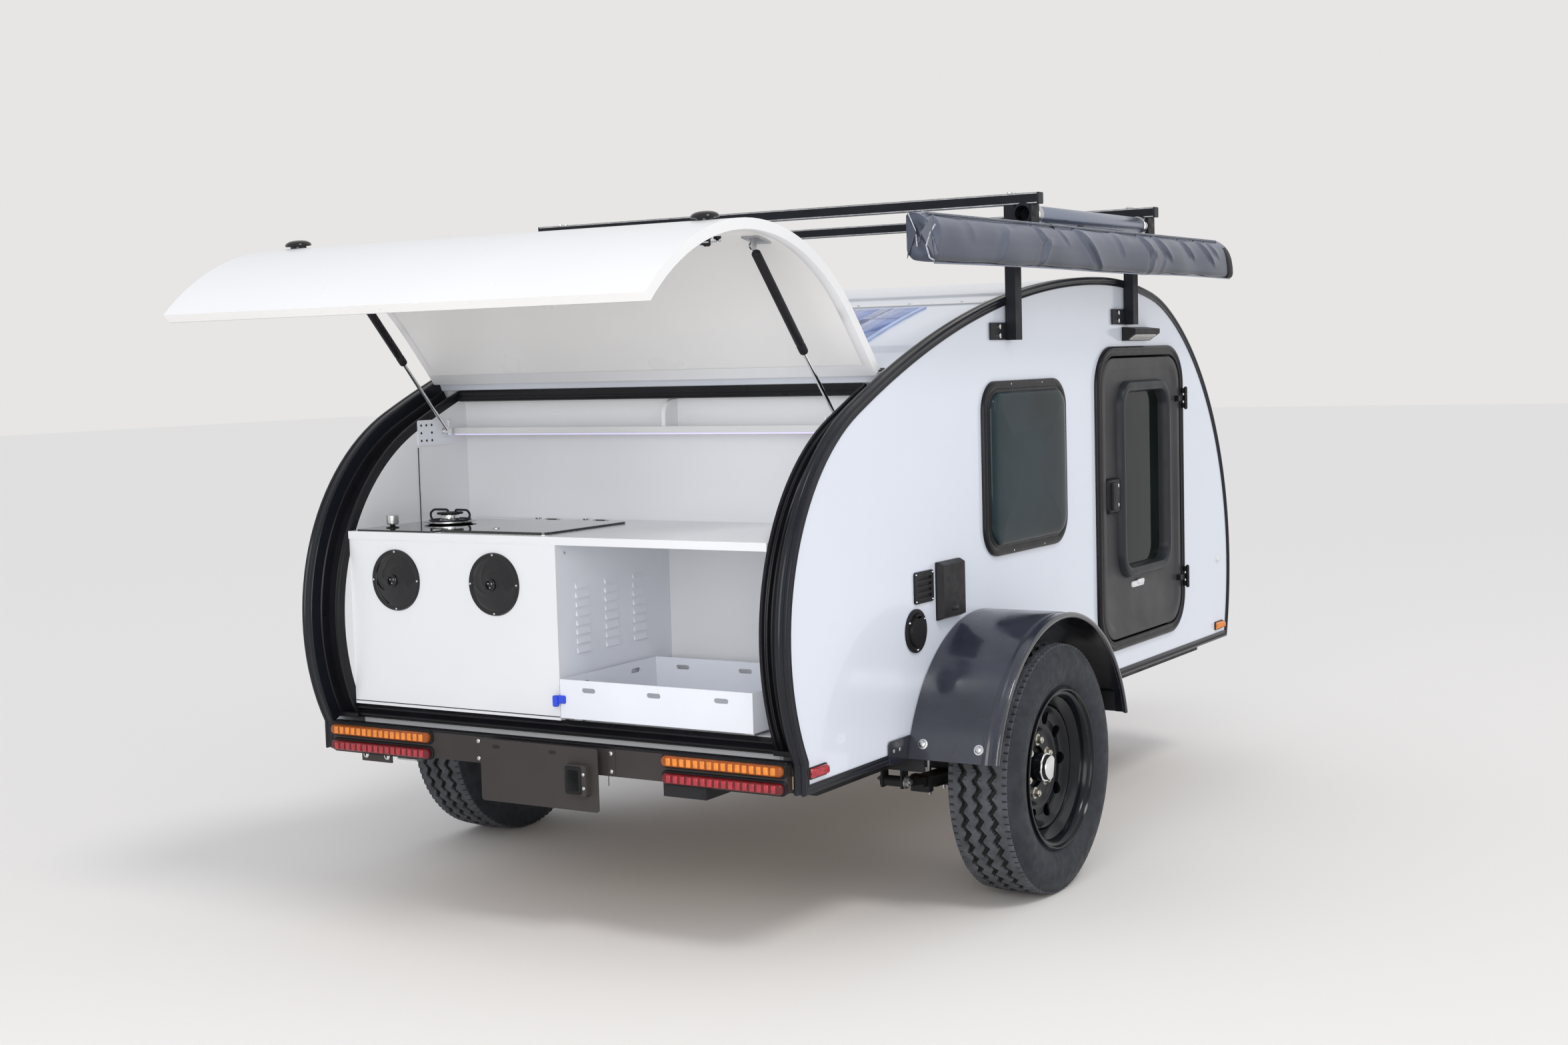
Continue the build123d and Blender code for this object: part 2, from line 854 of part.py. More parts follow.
with BuildPart() as sink_bowl:
    with BuildSketch(Plane.XY.offset(counter_top)):
        with Locations((sink_middle, sink_y)):
            RectangleRounded(sink_length, sink_width, sink_rim)
    extrude(amount=sink_sheet)
    with BuildSketch(Plane.XY.offset(bowl_bottom)):
        with Locations((sink_middle, sink_y)):
            RectangleRounded(bowl_length, bowl_width, sink_rim - sink_sheet)
    extrude(amount=sink_bowl_depth)
    with BuildSketch(Plane.XY.offset(bowl_bottom + sink_sheet)):
        with Locations((sink_middle, sink_y)):
            RectangleRounded(*bowl_hollow, sink_rim - 2 * sink_sheet)
    extrude(amount=sink_bowl_depth, mode=Mode.SUBTRACT)
    with Locations(Plane(origin=(sink_middle, sink_y, bowl_bottom + sink_sheet))):
        Hole(sink_drain_radius)
    for y in lid_hinge_ys:
        for start in (-lid_barrel_length / 2 - axle_gap - lid_ear_length, lid_barrel_length / 2 + axle_gap):
            with BuildSketch(lid_hinge_plane(y + start)):
                Circle(lid_barrel_radius)
                with Locations((0, -lid_barrel_radius)):
                    Rectangle(
                        lid_barrel_radius + 8, sink_sheet, align=(Align.MIN, Align.MIN)
                    )
            extrude(amount=lid_ear_length)
        with BuildSketch(lid_hinge_plane(y - lid_barrel_length / 2 - lid_ear_length)):
            Circle(lid_pin_radius)
        extrude(amount=lid_barrel_length + 2 * lid_ear_length)
save(sink_bowl, "sink_bowl")

with BuildPart() as sink_lid:
    with BuildSketch(Plane.XY.offset(lid_bottom)):
        with Locations((sink_middle, sink_y)):
            RectangleRounded(sink_length, sink_width, sink_rim)
    extrude(amount=sink_lid_thickness)
    for y in lid_hinge_ys:
        with BuildSketch(lid_hinge_plane(y - lid_barrel_length / 2)):
            Circle(lid_barrel_radius)
            with Locations((0, lid_bottom - lid_axis_height)):
                Rectangle(lid_barrel_radius + 6, 5, align=(Align.MIN, Align.MIN))
            Circle(lid_pin_radius + clearance, mode=Mode.SUBTRACT)
        extrude(amount=lid_barrel_length)
save(sink_lid, "sink_lid")

# Door frames, leaves and glass, drawn on the right and mirrored
door_plane = side_plane.offset(body_half_width)
leaf_width = door_frame_width - 2 * door_frame_face - 2 * door_gap
leaf_height = door_frame_height - 2 * door_frame_face - 2 * door_gap
leaf_corner = door_corner - door_frame_face - door_gap
door_hinge_ahead = door_centre + leaf_width / 2 + 17
door_hinge_y = body_half_width + door_frame_proud + 12
hinge_place = (axle_x + door_hinge_ahead, -door_hinge_y)
hinge_heights = (door_middle_height - hinge_spread / 2, door_middle_height + hinge_spread / 2)
with BuildPart() as door_frames:
    with BuildSketch(door_plane):
        with Locations((door_centre, door_middle_height)):
            RectangleRounded(door_frame_width, door_frame_height, door_corner)
            RectangleRounded(
                door_frame_width - 2 * door_frame_face,
                door_frame_height - 2 * door_frame_face,
                door_corner - door_frame_face,
                mode=Mode.SUBTRACT,
            )
    extrude(amount=door_frame_proud)
    for height in hinge_heights:
        with BuildSketch(Plane.XY.offset(height - hinge_length / 2)):
            with Locations(hinge_place):
                Circle(hinge_pin_radius)
        extrude(amount=hinge_length)
        for start in (-hinge_length / 2, hinge_knuckle / 2 + axle_gap):
            with BuildSketch(Plane.XY.offset(height + start)):
                with Locations(hinge_place):
                    Circle(hinge_radius)
                    Rectangle(
                        2 * hinge_radius,
                        door_hinge_y - body_half_width - door_frame_proud,
                        align=(Align.CENTER, Align.MIN),
                    )
            extrude(amount=(hinge_length - hinge_knuckle) / 2 - axle_gap)
    mirror(about=Plane.XZ)
save(door_frames, "door_frames")

window_place = (door_centre + door_window_ahead, door_middle_height + door_window_up)
with BuildPart() as door_right:
    leaf_plane = side_plane.offset(body_half_width + door_frame_proud - 4 - door_thickness)
    with BuildSketch(leaf_plane):
        with Locations((door_centre, door_middle_height)):
            RectangleRounded(leaf_width, leaf_height, leaf_corner)
    extrude(amount=door_thickness)
    with BuildSketch(leaf_plane.offset(door_thickness)):
        with Locations((door_centre, door_middle_height)):
            RectangleRounded(
                leaf_width - 2 * door_rim, leaf_height - 2 * door_rim, leaf_corner - door_rim / 2
            )
    extrude(amount=-door_recess, taper=60, mode=Mode.SUBTRACT)
    with BuildSketch(leaf_plane.offset(door_thickness - door_recess)):
        with Locations(window_place):
            RectangleRounded(
                door_window_width + 2 * door_window_border,
                door_window_height + 2 * door_window_border,
                door_window_corner + door_window_border,
            )
    extrude(amount=door_recess + door_window_proud, taper=25)
    handle_place = (door_centre - door_handle_behind, door_middle_height + door_handle_up)
    with BuildSketch(leaf_plane.offset(door_thickness - door_recess)):
        with Locations(handle_place):
            RectangleRounded(door_handle_width, door_handle_height, 16)
    extrude(amount=door_handle_proud, taper=14)
    with BuildSketch(leaf_plane):
        with Locations(window_place):
            RectangleRounded(door_window_width, door_window_height, door_window_corner)
    extrude(amount=door_thickness + door_window_proud, mode=Mode.SUBTRACT)
    leaf_face = -body_half_width - door_frame_proud + 4
    strap_face = -door_hinge_y + hinge_radius + 1
    strap_reach = 50
    for height in hinge_heights:
        with BuildSketch(Plane.XY.offset(height - hinge_knuckle / 2)):
            with Locations(hinge_place):
                Circle(hinge_radius)
            with Locations((hinge_place[0] - strap_reach, strap_face)):
                Rectangle(strap_reach, hinge_strap, align=(Align.MIN, Align.MAX))
            with Locations((hinge_place[0] - strap_reach, leaf_face)):
                Rectangle(26, leaf_face - strap_face + 2, align=(Align.MIN, Align.MAX))
            with Locations(hinge_place):
                Circle(hinge_pin_radius + clearance, mode=Mode.SUBTRACT)
        extrude(amount=hinge_knuckle)
save(door_right, "door_right")

with BuildPart() as door_glass_right:
    with BuildSketch(leaf_plane.offset(door_glass_thickness)):
        with Locations(window_place):
            RectangleRounded(door_window_width, door_window_height, door_window_corner)
    extrude(amount=door_glass_thickness)
save(door_glass_right, "door_glass_right")

with BuildPart() as door_left:
    mirror(door_right.part, about=Plane.XZ)
save(door_left, "door_left")

with BuildPart() as door_glass_left:
    mirror(door_glass_right.part, about=Plane.XZ)
save(door_glass_left, "door_glass_left")

# Side windows: a frame on the wall that clamps a bulging sheet
with BuildPart() as side_windows:
    with BuildSketch(door_plane):
        with Locations((window_centre, window_middle_height)):
            RectangleRounded(window_width, window_height, window_corner)
    extrude(amount=window_proud)
    with BuildSketch(door_plane.offset(window_proud)):
        with Locations((window_centre, window_middle_height)):
            RectangleRounded(
                window_width - 2 * window_frame,
                window_height - 2 * window_frame,
                window_corner - window_frame,
            )
    extrude(amount=window_bulge, taper=35)
    with BuildSketch(door_plane):
        with Locations((window_centre, window_middle_height)):
            RectangleRounded(
                window_width - 2 * window_frame,
                window_height - 2 * window_frame,
                window_corner - window_frame,
            )
    extrude(amount=window_proud - 5, mode=Mode.SUBTRACT)
    mirror(about=Plane.XZ)
save(side_windows, "side_windows")

# Hatch: a curved panel drawn closed and turned open about the hinge
hatch_half_width = inner_half_width - hatch_side_gap
hatch_start_turn = hinge_turn + degrees(hatch_hinge_gap / roof_rear_radius)
hatch_inner = hatch_inset + hatch_thickness
hatch_knuckle = 2 * hatch_half_width / hatch_knuckles
leaf_turn = degrees(hatch_leaf_reach / roof_rear_radius)
knuckle_turn = degrees((hatch_barrel_radius + 1) / roof_rear_radius)
leaf_face_inset = hatch_inset - hatch_leaf
with BuildPart() as hatch:
    with BuildSketch(hatch_plane.offset(-hatch_half_width)):
        add(skin_band(hatch_inset, hatch_inner, hatch_start_turn, hatch_end_turn))
        add(skin_band(leaf_face_inset, hatch_inset, hinge_turn + knuckle_turn, hinge_turn + leaf_turn))
    extrude(amount=2 * hatch_half_width)
    for number in range(1, hatch_knuckles, 2):
        with BuildSketch(hatch_plane.offset(-hatch_half_width + number * hatch_knuckle + axle_gap)):
            add(skin_band(leaf_face_inset, hatch_inset, hinge_turn, hinge_turn + knuckle_turn))
            with Locations((hinge_station, hinge_height)):
                Circle(hatch_barrel_radius)
                Circle(hatch_pin_radius + clearance, mode=Mode.SUBTRACT)
        extrude(amount=hatch_knuckle - 2 * axle_gap)
save(hatch, "hatch")

# Long hinge of the hatch: the leaf on the roof, its knuckles and the pin through both leaves
with BuildPart() as hatch_hinge:
    leaf_top = trim_proud - clearance - hatch_leaf
    with BuildSketch(side_plane.offset(-hatch_half_width)):
        add(skin_band(leaf_top, leaf_top + hatch_leaf, hinge_turn - leaf_turn, hinge_turn - knuckle_turn))
    extrude(amount=2 * hatch_half_width)
    for number in range(0, hatch_knuckles, 2):
        with BuildSketch(side_plane.offset(-hatch_half_width + number * hatch_knuckle)):
            add(skin_band(leaf_top, leaf_top + hatch_leaf, hinge_turn - knuckle_turn, hinge_turn))
            with Locations((hinge_station, hinge_height)):
                Circle(hatch_barrel_radius)
        extrude(amount=hatch_knuckle)
    with BuildSketch(side_plane.offset(-hatch_half_width)):
        with Locations((hinge_station, hinge_height)):
            Circle(hatch_pin_radius)
    extrude(amount=2 * hatch_half_width)
save(hatch_hinge, "hatch_hinge")

# Latch knobs on the hatch's outside with their catches inside
def hatch_spot(turn, inset, y):
    # a plane on the opened hatch, facing out from the panel
    station, height = opened(*skin_point(turn, inset))
    lean = radians(90 + turn - hatch_open)
    return Plane(
        origin=(axle_x + station, y, height), x_dir=(0, 1, 0), z_dir=(cos(lean), 0, sin(lean))
    )


with BuildPart() as hatch_latches:
    for y in (-latch_half_spacing, latch_half_spacing):
        outside = hatch_spot(latch_turn, hatch_inset, y)
        with BuildSketch(outside):
            Circle(latch_radius)
        extrude(amount=latch_knob_height, taper=latch_knob_taper)
        with BuildSketch(outside.offset(latch_knob_height)):
            Rectangle(latch_grip_width, latch_grip_length)
        extrude(amount=latch_grip_height)
        inside = hatch_spot(latch_turn, hatch_inner + clearance, y)
        with BuildSketch(inside):
            Circle(latch_catch_radius)
        extrude(amount=-latch_catch_depth)
        with BuildSketch(inside.offset(-latch_bolt_depth)):
            with Locations((0, -latch_bolt_reach)):
                Rectangle(latch_bolt_width, latch_bolt_length)
        extrude(amount=-latch_bolt_sheet)
save(hatch_latches, "hatch_latches")

# Gas struts: the tube hangs on the hatch, the rod reaches for the bracket on the liner
eye_station, eye_height = opened(*skin_point(strut_turn, strut_inset))
base_station, base_height = -strut_base_behind, strut_base_height
strut_length = hypot(base_station - eye_station, base_height - eye_height)
strut_slope = degrees(atan2(base_height - eye_height, base_station - eye_station))
strut_along = Vector(cos(radians(strut_slope)), 0, sin(radians(strut_slope)))
eye_place = Vector(axle_x + eye_station, 0, eye_height)
eye_half = strut_eye_half
strut_stud_half = strut_rod_radius + strut_gap - strut_stud_clear
boss_start = strut_y + strut_rod_radius + strut_gap
boss_length = galley_half_width - bracket_sheet - boss_start


def strut_plane(distance, y):
    origin = eye_place + strut_along * distance + Vector(0, y, 0)
    return Plane(origin=origin, x_dir=(0, 1, 0), z_dir=strut_along)


with BuildPart() as strut_tube_right:
    with BuildSketch(strut_plane(strut_shank, -strut_y)):
        Circle(strut_tube_radius)
    extrude(amount=strut_tube_length)
    with BuildSketch(strut_plane(strut_shank + strut_gap, -strut_y)):
        Circle(strut_rod_radius + strut_gap)
    extrude(amount=strut_tube_length, mode=Mode.SUBTRACT)
    with BuildSketch(Plane.XZ.offset(strut_y - eye_half)):
        with Locations((eye_place.X, eye_place.Z)):
            Circle(strut_eye_radius)
            with Locations(Rotation(0, 0, strut_slope)):
                Rectangle(strut_shank + 2, strut_neck_width, align=(Align.MIN, Align.CENTER))
        with Locations((eye_place.X, eye_place.Z)):
            Circle(strut_pin_radius + strut_gap, mode=Mode.SUBTRACT)
    extrude(amount=2 * eye_half)
save(strut_tube_right, "strut_tube_right")

with BuildPart() as strut_rod_right:
    rod_start = strut_shank + strut_tube_length - strut_rod_hidden
    rod_plane = strut_plane(rod_start, -strut_y)
    with BuildSketch(rod_plane):
        Circle(strut_rod_radius)
    extrude(amount=strut_length - rod_start - strut_eye_radius + 2)
    with BuildSketch(Plane.XZ.offset(strut_y - eye_half)):
        with Locations((axle_x + base_station, base_height)):
            Circle(strut_eye_radius)
    extrude(amount=2 * eye_half)
    with BuildSketch(Plane.XZ.offset(strut_y - strut_stud_half)):
        with Locations((axle_x + base_station, base_height)):
            Circle(strut_pin_radius)
    extrude(amount=2 * strut_stud_half)
save(strut_rod_right, "strut_rod_right")

for name, right in (("strut_tube_left", strut_tube_right), ("strut_rod_left", strut_rod_right)):
    with BuildPart() as mirrored:
        mirror(right.part, about=Plane.XZ)
    save(mirrored, name)

# Strut brackets: plates on the liners with a boss each, which the rod's stud only faces,
# and lugs on the hatch with the pins that the tubes turn on
with BuildPart() as strut_wall_brackets:
    with BuildSketch(Plane.XZ.offset(galley_half_width - bracket_sheet)):
        with Locations((axle_x + base_station - bracket_length / 4, base_height)):
            RectangleRounded(bracket_length, bracket_height, 6)
    extrude(amount=bracket_sheet)
    with BuildSketch(Plane.XZ.offset(boss_start)):
        with Locations((axle_x + base_station, base_height)):
            Circle(strut_boss_radius)
    extrude(amount=boss_length)
    mirror(about=Plane.XZ)
save(strut_wall_brackets, "strut_wall_brackets")

with BuildPart() as strut_hatch_lugs:
    lug_top = strut_inset - hatch_inner
    lug_plane = Plane(
        origin=(axle_x + opened(*skin_point(strut_turn, hatch_inner))[0],
                0,
                opened(*skin_point(strut_turn, hatch_inner))[1]),
        x_dir=Vector(eye_place.X - axle_x - opened(*skin_point(strut_turn, hatch_inner))[0],
                     0,
                     eye_place.Z - opened(*skin_point(strut_turn, hatch_inner))[1]),
        z_dir=(0, -1, 0),
    )
    with BuildSketch(lug_plane.offset(strut_y + eye_half + strut_gap)):
        with Locations((1, 0)):
            Rectangle(lug_top - 1, lug_width, align=(Align.MIN, Align.CENTER))
        with Locations((lug_top, 0)):
            Circle(lug_width / 2)
    extrude(amount=lug_sheet)
    with BuildSketch(lug_plane.offset(strut_y - eye_half - strut_gap)):
        with Locations((lug_top, 0)):
            Circle(strut_pin_radius)
    extrude(amount=2 * eye_half + 2 * strut_gap)
    with BuildSketch(hatch_spot(strut_turn, hatch_inner + 1, -strut_y - 12)):
        Rectangle(lug_foot_width, lug_foot_length)
    extrude(amount=-lug_sheet)
    mirror(about=Plane.XZ)
save(strut_hatch_lugs, "strut_hatch_lugs")

# Wheels: the tyre, and the deep rim with its disc, drum and cap, drawn on the right
wheel_plane = Plane(origin=(axle_x, -wheel_y, tyre_radius), x_dir=(0, -1, 0), z_dir=(-1, 0, 0))
wheel_axis = Axis((axle_x, 0, tyre_radius), (0, -1, 0))
with BuildPart() as tyre_right:
    half = tyre_width / 2
    tread = tread_width / 2
    bead = rim_width / 2 - 8
    with BuildSketch(wheel_plane):
        with BuildLine():
            Polyline((-bead, rim_seat + 2), (bead, rim_seat + 2), (bead, rim_radius + 3))
            ThreePointArc((bead, rim_radius + 3), (half, tyre_belly_radius), (tread + 6, tyre_radius - 16))
            Polyline((tread + 6, tyre_radius - 16), (tread, tyre_radius - 4))
            ThreePointArc((tread, tyre_radius - 4), (0, tyre_radius), (-tread, tyre_radius - 4))
            Polyline((-tread, tyre_radius - 4), (-tread - 6, tyre_radius - 16))
            ThreePointArc((-tread - 6, tyre_radius - 16), (-half, tyre_belly_radius), (-bead, rim_radius + 3))
            Line((-bead, rim_radius + 3), (-bead, rim_seat + 2))
        make_face()
    revolve(axis=wheel_axis)
save(tyre_right, "tyre_right")

with BuildPart() as rim_right:
    half_rim = rim_width / 2
    seat = half_rim - 34
    with BuildSketch(wheel_plane):
        with BuildLine():
            Polyline(
                (-half_rim, rim_radius),
                (-half_rim, rim_radius - rim_sheet),
                (-half_rim + 8, rim_seat - rim_sheet + 2),
                (-seat - 10, rim_seat - rim_sheet),
                (-seat + 8, rim_well - rim_sheet),
                (seat - 20, rim_well - rim_sheet),
                (seat, rim_seat - rim_sheet),
                (half_rim - 10, rim_seat - rim_sheet + 2),
                (half_rim, rim_radius - rim_sheet),
                (half_rim, rim_radius),
                (half_rim - 8 + clearance, rim_radius),
                (half_rim - 8 + clearance, rim_seat + 2 - clearance),
                (seat - 4, rim_seat),
                (seat - 24, rim_well),
                (-seat + 12, rim_well),
                (-seat - 8, rim_seat),
                (-half_rim + 8 - clearance, rim_seat + 2 - clearance),
                (-half_rim + 8 - clearance, rim_radius),
                close=True,
            )
        make_face()
    revolve(axis=wheel_axis)
    with BuildSketch(wheel_plane):
        with BuildLine():
            Polyline(
                (disc_outward - drum_depth, spindle_radius + axle_gap),
                (disc_outward - drum_depth, drum_radius),
                (disc_outward - disc_sheet, drum_radius),
                (disc_outward - disc_sheet, rim_well - rim_sheet / 2),
                (disc_outward + disc_edge_proud - disc_sheet, rim_well - rim_sheet / 2),
                (disc_outward + disc_edge_proud, rim_well - rim_sheet - 1),
                (disc_outward + disc_edge_proud - 2, rim_well - rim_sheet - disc_edge_lip),
                (disc_outward + disc_ring_proud, disc_ring_outer),
                (disc_outward + disc_ring_proud, disc_ring_inner),
                (disc_outward, disc_ring_inner - disc_ring_proud),
                (disc_outward, hub_cap_radius + hub_collar),
                (disc_outward + hub_cap_length - disc_sheet, hub_cap_radius + hub_collar - 1),
                (disc_outward + hub_cap_length - 4, hub_cap_radius),
                (disc_outward + hub_cap_length, hub_cap_radius - 6),
                (disc_outward + hub_cap_length, 0),
                (disc_outward - drum_depth + spindle_length + axle_gap, 0),
                (disc_outward - drum_depth + spindle_length + axle_gap, spindle_radius + axle_gap),
                close=True,
            )
        make_face()
    revolve(axis=wheel_axis)
    with BuildSketch(Plane(wheel_plane.origin, x_dir=(1, 0, 0), z_dir=(0, -1, 0))):
        with PolarLocations(disc_hole_circle, disc_holes):
            Circle(disc_hole_radius)
    extrude(amount=disc_outward + disc_edge_proud, mode=Mode.SUBTRACT)
save(rim_right, "rim_right")

for name, right in (("tyre_left", tyre_right), ("rim_left", rim_right)):
    with BuildPart() as mirrored:
        mirror(right.part, about=Plane.XZ)
    save(mirrored, name)

# Axle beam with its spindles, and the leaf springs under it
drum_back_y = wheel_y + disc_outward - drum_depth
with BuildPart() as axle_beam:
    beam_length = 2 * (drum_back_y - 10)
    with BuildSketch(Plane.XZ.offset(-beam_length / 2)):
        with Locations((axle_x, tyre_radius)):
            RectangleRounded(axle_tube, axle_tube, 6)
    extrude(amount=beam_length)
    with BuildSketch(Plane.XZ.offset(-drum_back_y - spindle_length)):
        with Locations((axle_x, tyre_radius)):
            Circle(spindle_radius)
    extrude(amount=2 * drum_back_y + 2 * spindle_length)
    with BuildSketch(Plane.XZ.offset(drum_back_y - 10)):
        with Locations((axle_x, tyre_radius)):
            Circle(drum_radius - 4)
    extrude(amount=8)
    with BuildSketch(Plane.XZ.offset(-drum_back_y + 2)):
        with Locations((axle_x, tyre_radius)):
            Circle(drum_radius - 4)
    extrude(amount=8)
save(axle_beam, "axle_beam")

rail_top = body_bottom
rail_bottom = rail_top - rail_height
spring_top = tyre_radius - axle_tube / 2 - axle_gap
spring_eye_height = spring_top + 18
with BuildPart() as leaf_springs:
    with BuildSketch(side_plane.offset(rail_y - spring_width / 2)):
        with BuildLine():
            low = ThreePointArc(
                (-spring_half_length, spring_eye_height),
                (0, spring_top - spring_thickness),
                (spring_half_length, spring_eye_height),
            )
            Line(low @ 1, (spring_half_length, spring_eye_height + 8))
            ThreePointArc(
                (spring_half_length, spring_eye_height + 8),
                (0, spring_top),
                (-spring_half_length, spring_eye_height + 8),
            )
            Line((-spring_half_length, spring_eye_height + 8), low @ 0)
        make_face()
        with Locations(*[(s * spring_half_length, spring_eye_height + 4) for s in (-1, 1)]):
            Circle(14)
    extrude(amount=spring_width)
    for start in (rail_y - spring_width / 2 - 6, rail_y + spring_width / 2 + 1):
        with BuildSketch(side_plane.offset(start)):
            with Locations(*[(s * spring_half_length, rail_bottom) for s in (-1, 1)]):
                Rectangle(34, rail_bottom - spring_eye_height + 12, align=(Align.CENTER, Align.MAX))
        extrude(amount=5)
    with BuildSketch(side_plane.offset(rail_y - spring_width / 2 - 8)):
        with Locations(*[(s * spring_half_length, spring_eye_height + 4) for s in (-1, 1)]):
            Circle(7)
    extrude(amount=spring_width + 16)
    with BuildSketch(Plane.XY.offset(spring_top - spring_thickness - 10)):
        with Locations((axle_x, -rail_y)):
            Rectangle(110, 90)
    extrude(amount=9.5)
    mirror(about=Plane.XZ)
save(leaf_springs, "leaf_springs")

# Fenders: a rolled sheet arch with a turned outer edge and an arm to the frame at each end
fender_end_turn = degrees(asin((fender_end_height - fender_centre_height) / fender_radius))
fender_outer_y = body_half_width + trim_thickness + fender_width
fender_inner_y = body_half_width + trim_thickness
fender_arm_reach = (fender_radius - fender_sheet) * cos(radians(fender_end_turn)) - fender_roll


def fender_band(outer, inner):
    with BuildSketch() as band:
        with BuildLine():
            for radius in (outer, inner):
                CenterArc((0, fender_centre_height), radius, fender_end_turn, 180 - 2 * fender_end_turn)
            for turn in (fender_end_turn, 180 - fender_end_turn):
                c, s = cos(radians(turn)), sin(radians(turn))
                Line(
                    (outer * c, fender_centre_height + outer * s),
                    (inner * c, fender_centre_height + inner * s),
                )
        make_face()
    return band.sketch


with BuildPart() as fenders:
    with BuildSketch(side_plane.offset(fender_inner_y)):
        add(fender_band(fender_radius, fender_radius - fender_sheet))
    extrude(amount=fender_width)
    with BuildSketch(side_plane.offset(fender_outer_y - fender_sheet)):
        add(fender_band(fender_radius, fender_radius - fender_roll))
    extrude(amount=fender_sheet)
    with BuildSketch(side_plane.offset(fender_inner_y)):
        with Locations((-fender_arm_reach, fender_end_height)):
            RectangleRounded(
                fender_plate_length, fender_plate_height, 12, align=(Align.MAX, Align.MIN)
            )
    extrude(amount=fender_plate)
    mirror(about=Plane.XZ)
save(fenders, "fenders")

# Chassis: side rails, crossmembers and the fender arms
rail_rear = -frame_rear_behind
rail_front = nose_station_at(rail_top, skin_depth) - rail_front_short
rear_face = skin_point(tail_end)[0] - rear_panel_proud
arm_end_y = fender_outer_y - arm_end_gap
arm_top = fender_end_height + fender_plate_height
fender_inner_radius = fender_radius - fender_sheet
arm_turn = asin((arm_top - fender_centre_height) / fender_inner_radius)
arm_reach = fender_inner_radius * cos(arm_turn) - clearance
with BuildPart() as chassis_frame:
    with BuildSketch(Plane.XY.offset(rail_bottom)):
        for side in (-1, 1):
            with Locations((axle_x + rail_rear, side * rail_y)):
                Rectangle(rail_front - rail_rear, rail_width, align=(Align.MIN, Align.CENTER))
        for station in (rail_rear, *crossmember_stations, rail_front - crossmember_width):
            with Locations((axle_x + station, 0)):
                Rectangle(crossmember_width, 2 * rail_y, align=(Align.MIN, Align.CENTER))
    extrude(amount=rail_height + floor_bottom - rail_top)
    for station in (-arm_reach, arm_reach - arm_sheet):
        for side in (-1, 1):
            with BuildSketch(Plane.YZ.offset(axle_x + station)):
                with BuildLine():
                    Polyline(
                        (side * rail_y, rail_bottom),
                        (side * (fender_inner_y + arm_leg), rail_bottom),
                        (side * (fender_inner_y + arm_leg), fender_end_height + arm_lift),
                        (side * arm_end_y, fender_end_height + arm_lift),
                        (side * arm_end_y, arm_top),
                        (side * (fender_inner_y + arm_wall_gap), arm_top),
                        (side * (fender_inner_y + arm_wall_gap), body_bottom - arm_skirt_gap),
                        (side * rail_y, body_bottom - arm_skirt_gap),
                        close=True,
                    )
                make_face()
            extrude(amount=arm_sheet)
    with BuildSketch(Plane.XY.offset(rear_panel_bottom - clearance)):
        with Locations((axle_x + rail_rear, rear_stub_middle_y)):
            Rectangle(rail_rear - rear_face, rear_stub_width, align=(Align.MAX, Align.CENTER))
    extrude(amount=-rear_stub_height)
save(chassis_frame, "chassis_frame")

# Drawbar: two tubes that meet at the coupler, under the side rails
drawbar_top = rail_bottom
drawbar_length = hypot(drawbar_tip_ahead - drawbar_foot_ahead, drawbar_foot_y - drawbar_tip_y)
drawbar_turn = degrees(
    atan2(drawbar_foot_y - drawbar_tip_y, drawbar_tip_ahead - drawbar_foot_ahead)
)
chain_ahead = drawbar_tip_ahead - chain_behind_tip
chain_y = drawbar_tip_y + chain_behind_tip * tan(radians(drawbar_turn))
chain_eye_height = drawbar_top - drawbar_tube - chain_wire - 4
with BuildPart() as drawbar:
    with BuildSketch(Plane.XY.offset(drawbar_top)):
        for side in (-1, 1):
            with Locations((axle_x + drawbar_foot_ahead, side * drawbar_foot_y)):
                with Locations(Rotation(0, 0, -side * drawbar_turn)):
                    Rectangle(drawbar_length, drawbar_tube, align=(Align.MIN, Align.CENTER))
    extrude(amount=-drawbar_tube)
    with BuildSketch(Plane.XY.offset(drawbar_top)):
        with Locations((axle_x + drawbar_tip_ahead, 0)):
            Rectangle(
                drawbar_gusset_length, drawbar_gusset_width, align=(Align.MAX, Align.CENTER)
            )
    extrude(amount=-drawbar_gusset)
    for side in (-1, 1):
        with BuildSketch(Plane.XY.offset(drawbar_top - drawbar_tube)):
            with Locations((axle_x + chain_ahead, side * chain_y)):
                with Locations((0, 11), (0, -11)):
                    Rectangle(12, 6)
        extrude(amount=-20)
        with BuildSketch(Plane.XZ.offset(-side * chain_y - 13)):
            with Locations((axle_x + chain_ahead, chain_eye_height - 4)):
                Circle(4)
        extrude(amount=26)
    with BuildSketch(Plane.XY.offset(drawbar_top)):
        with Locations((axle_x + jack_ahead, 0)):
            Rectangle(60, jack_y - jack_sleeve_radius - 4, align=(Align.CENTER, Align.MIN))
    extrude(amount=-8)
save(drawbar, "drawbar")

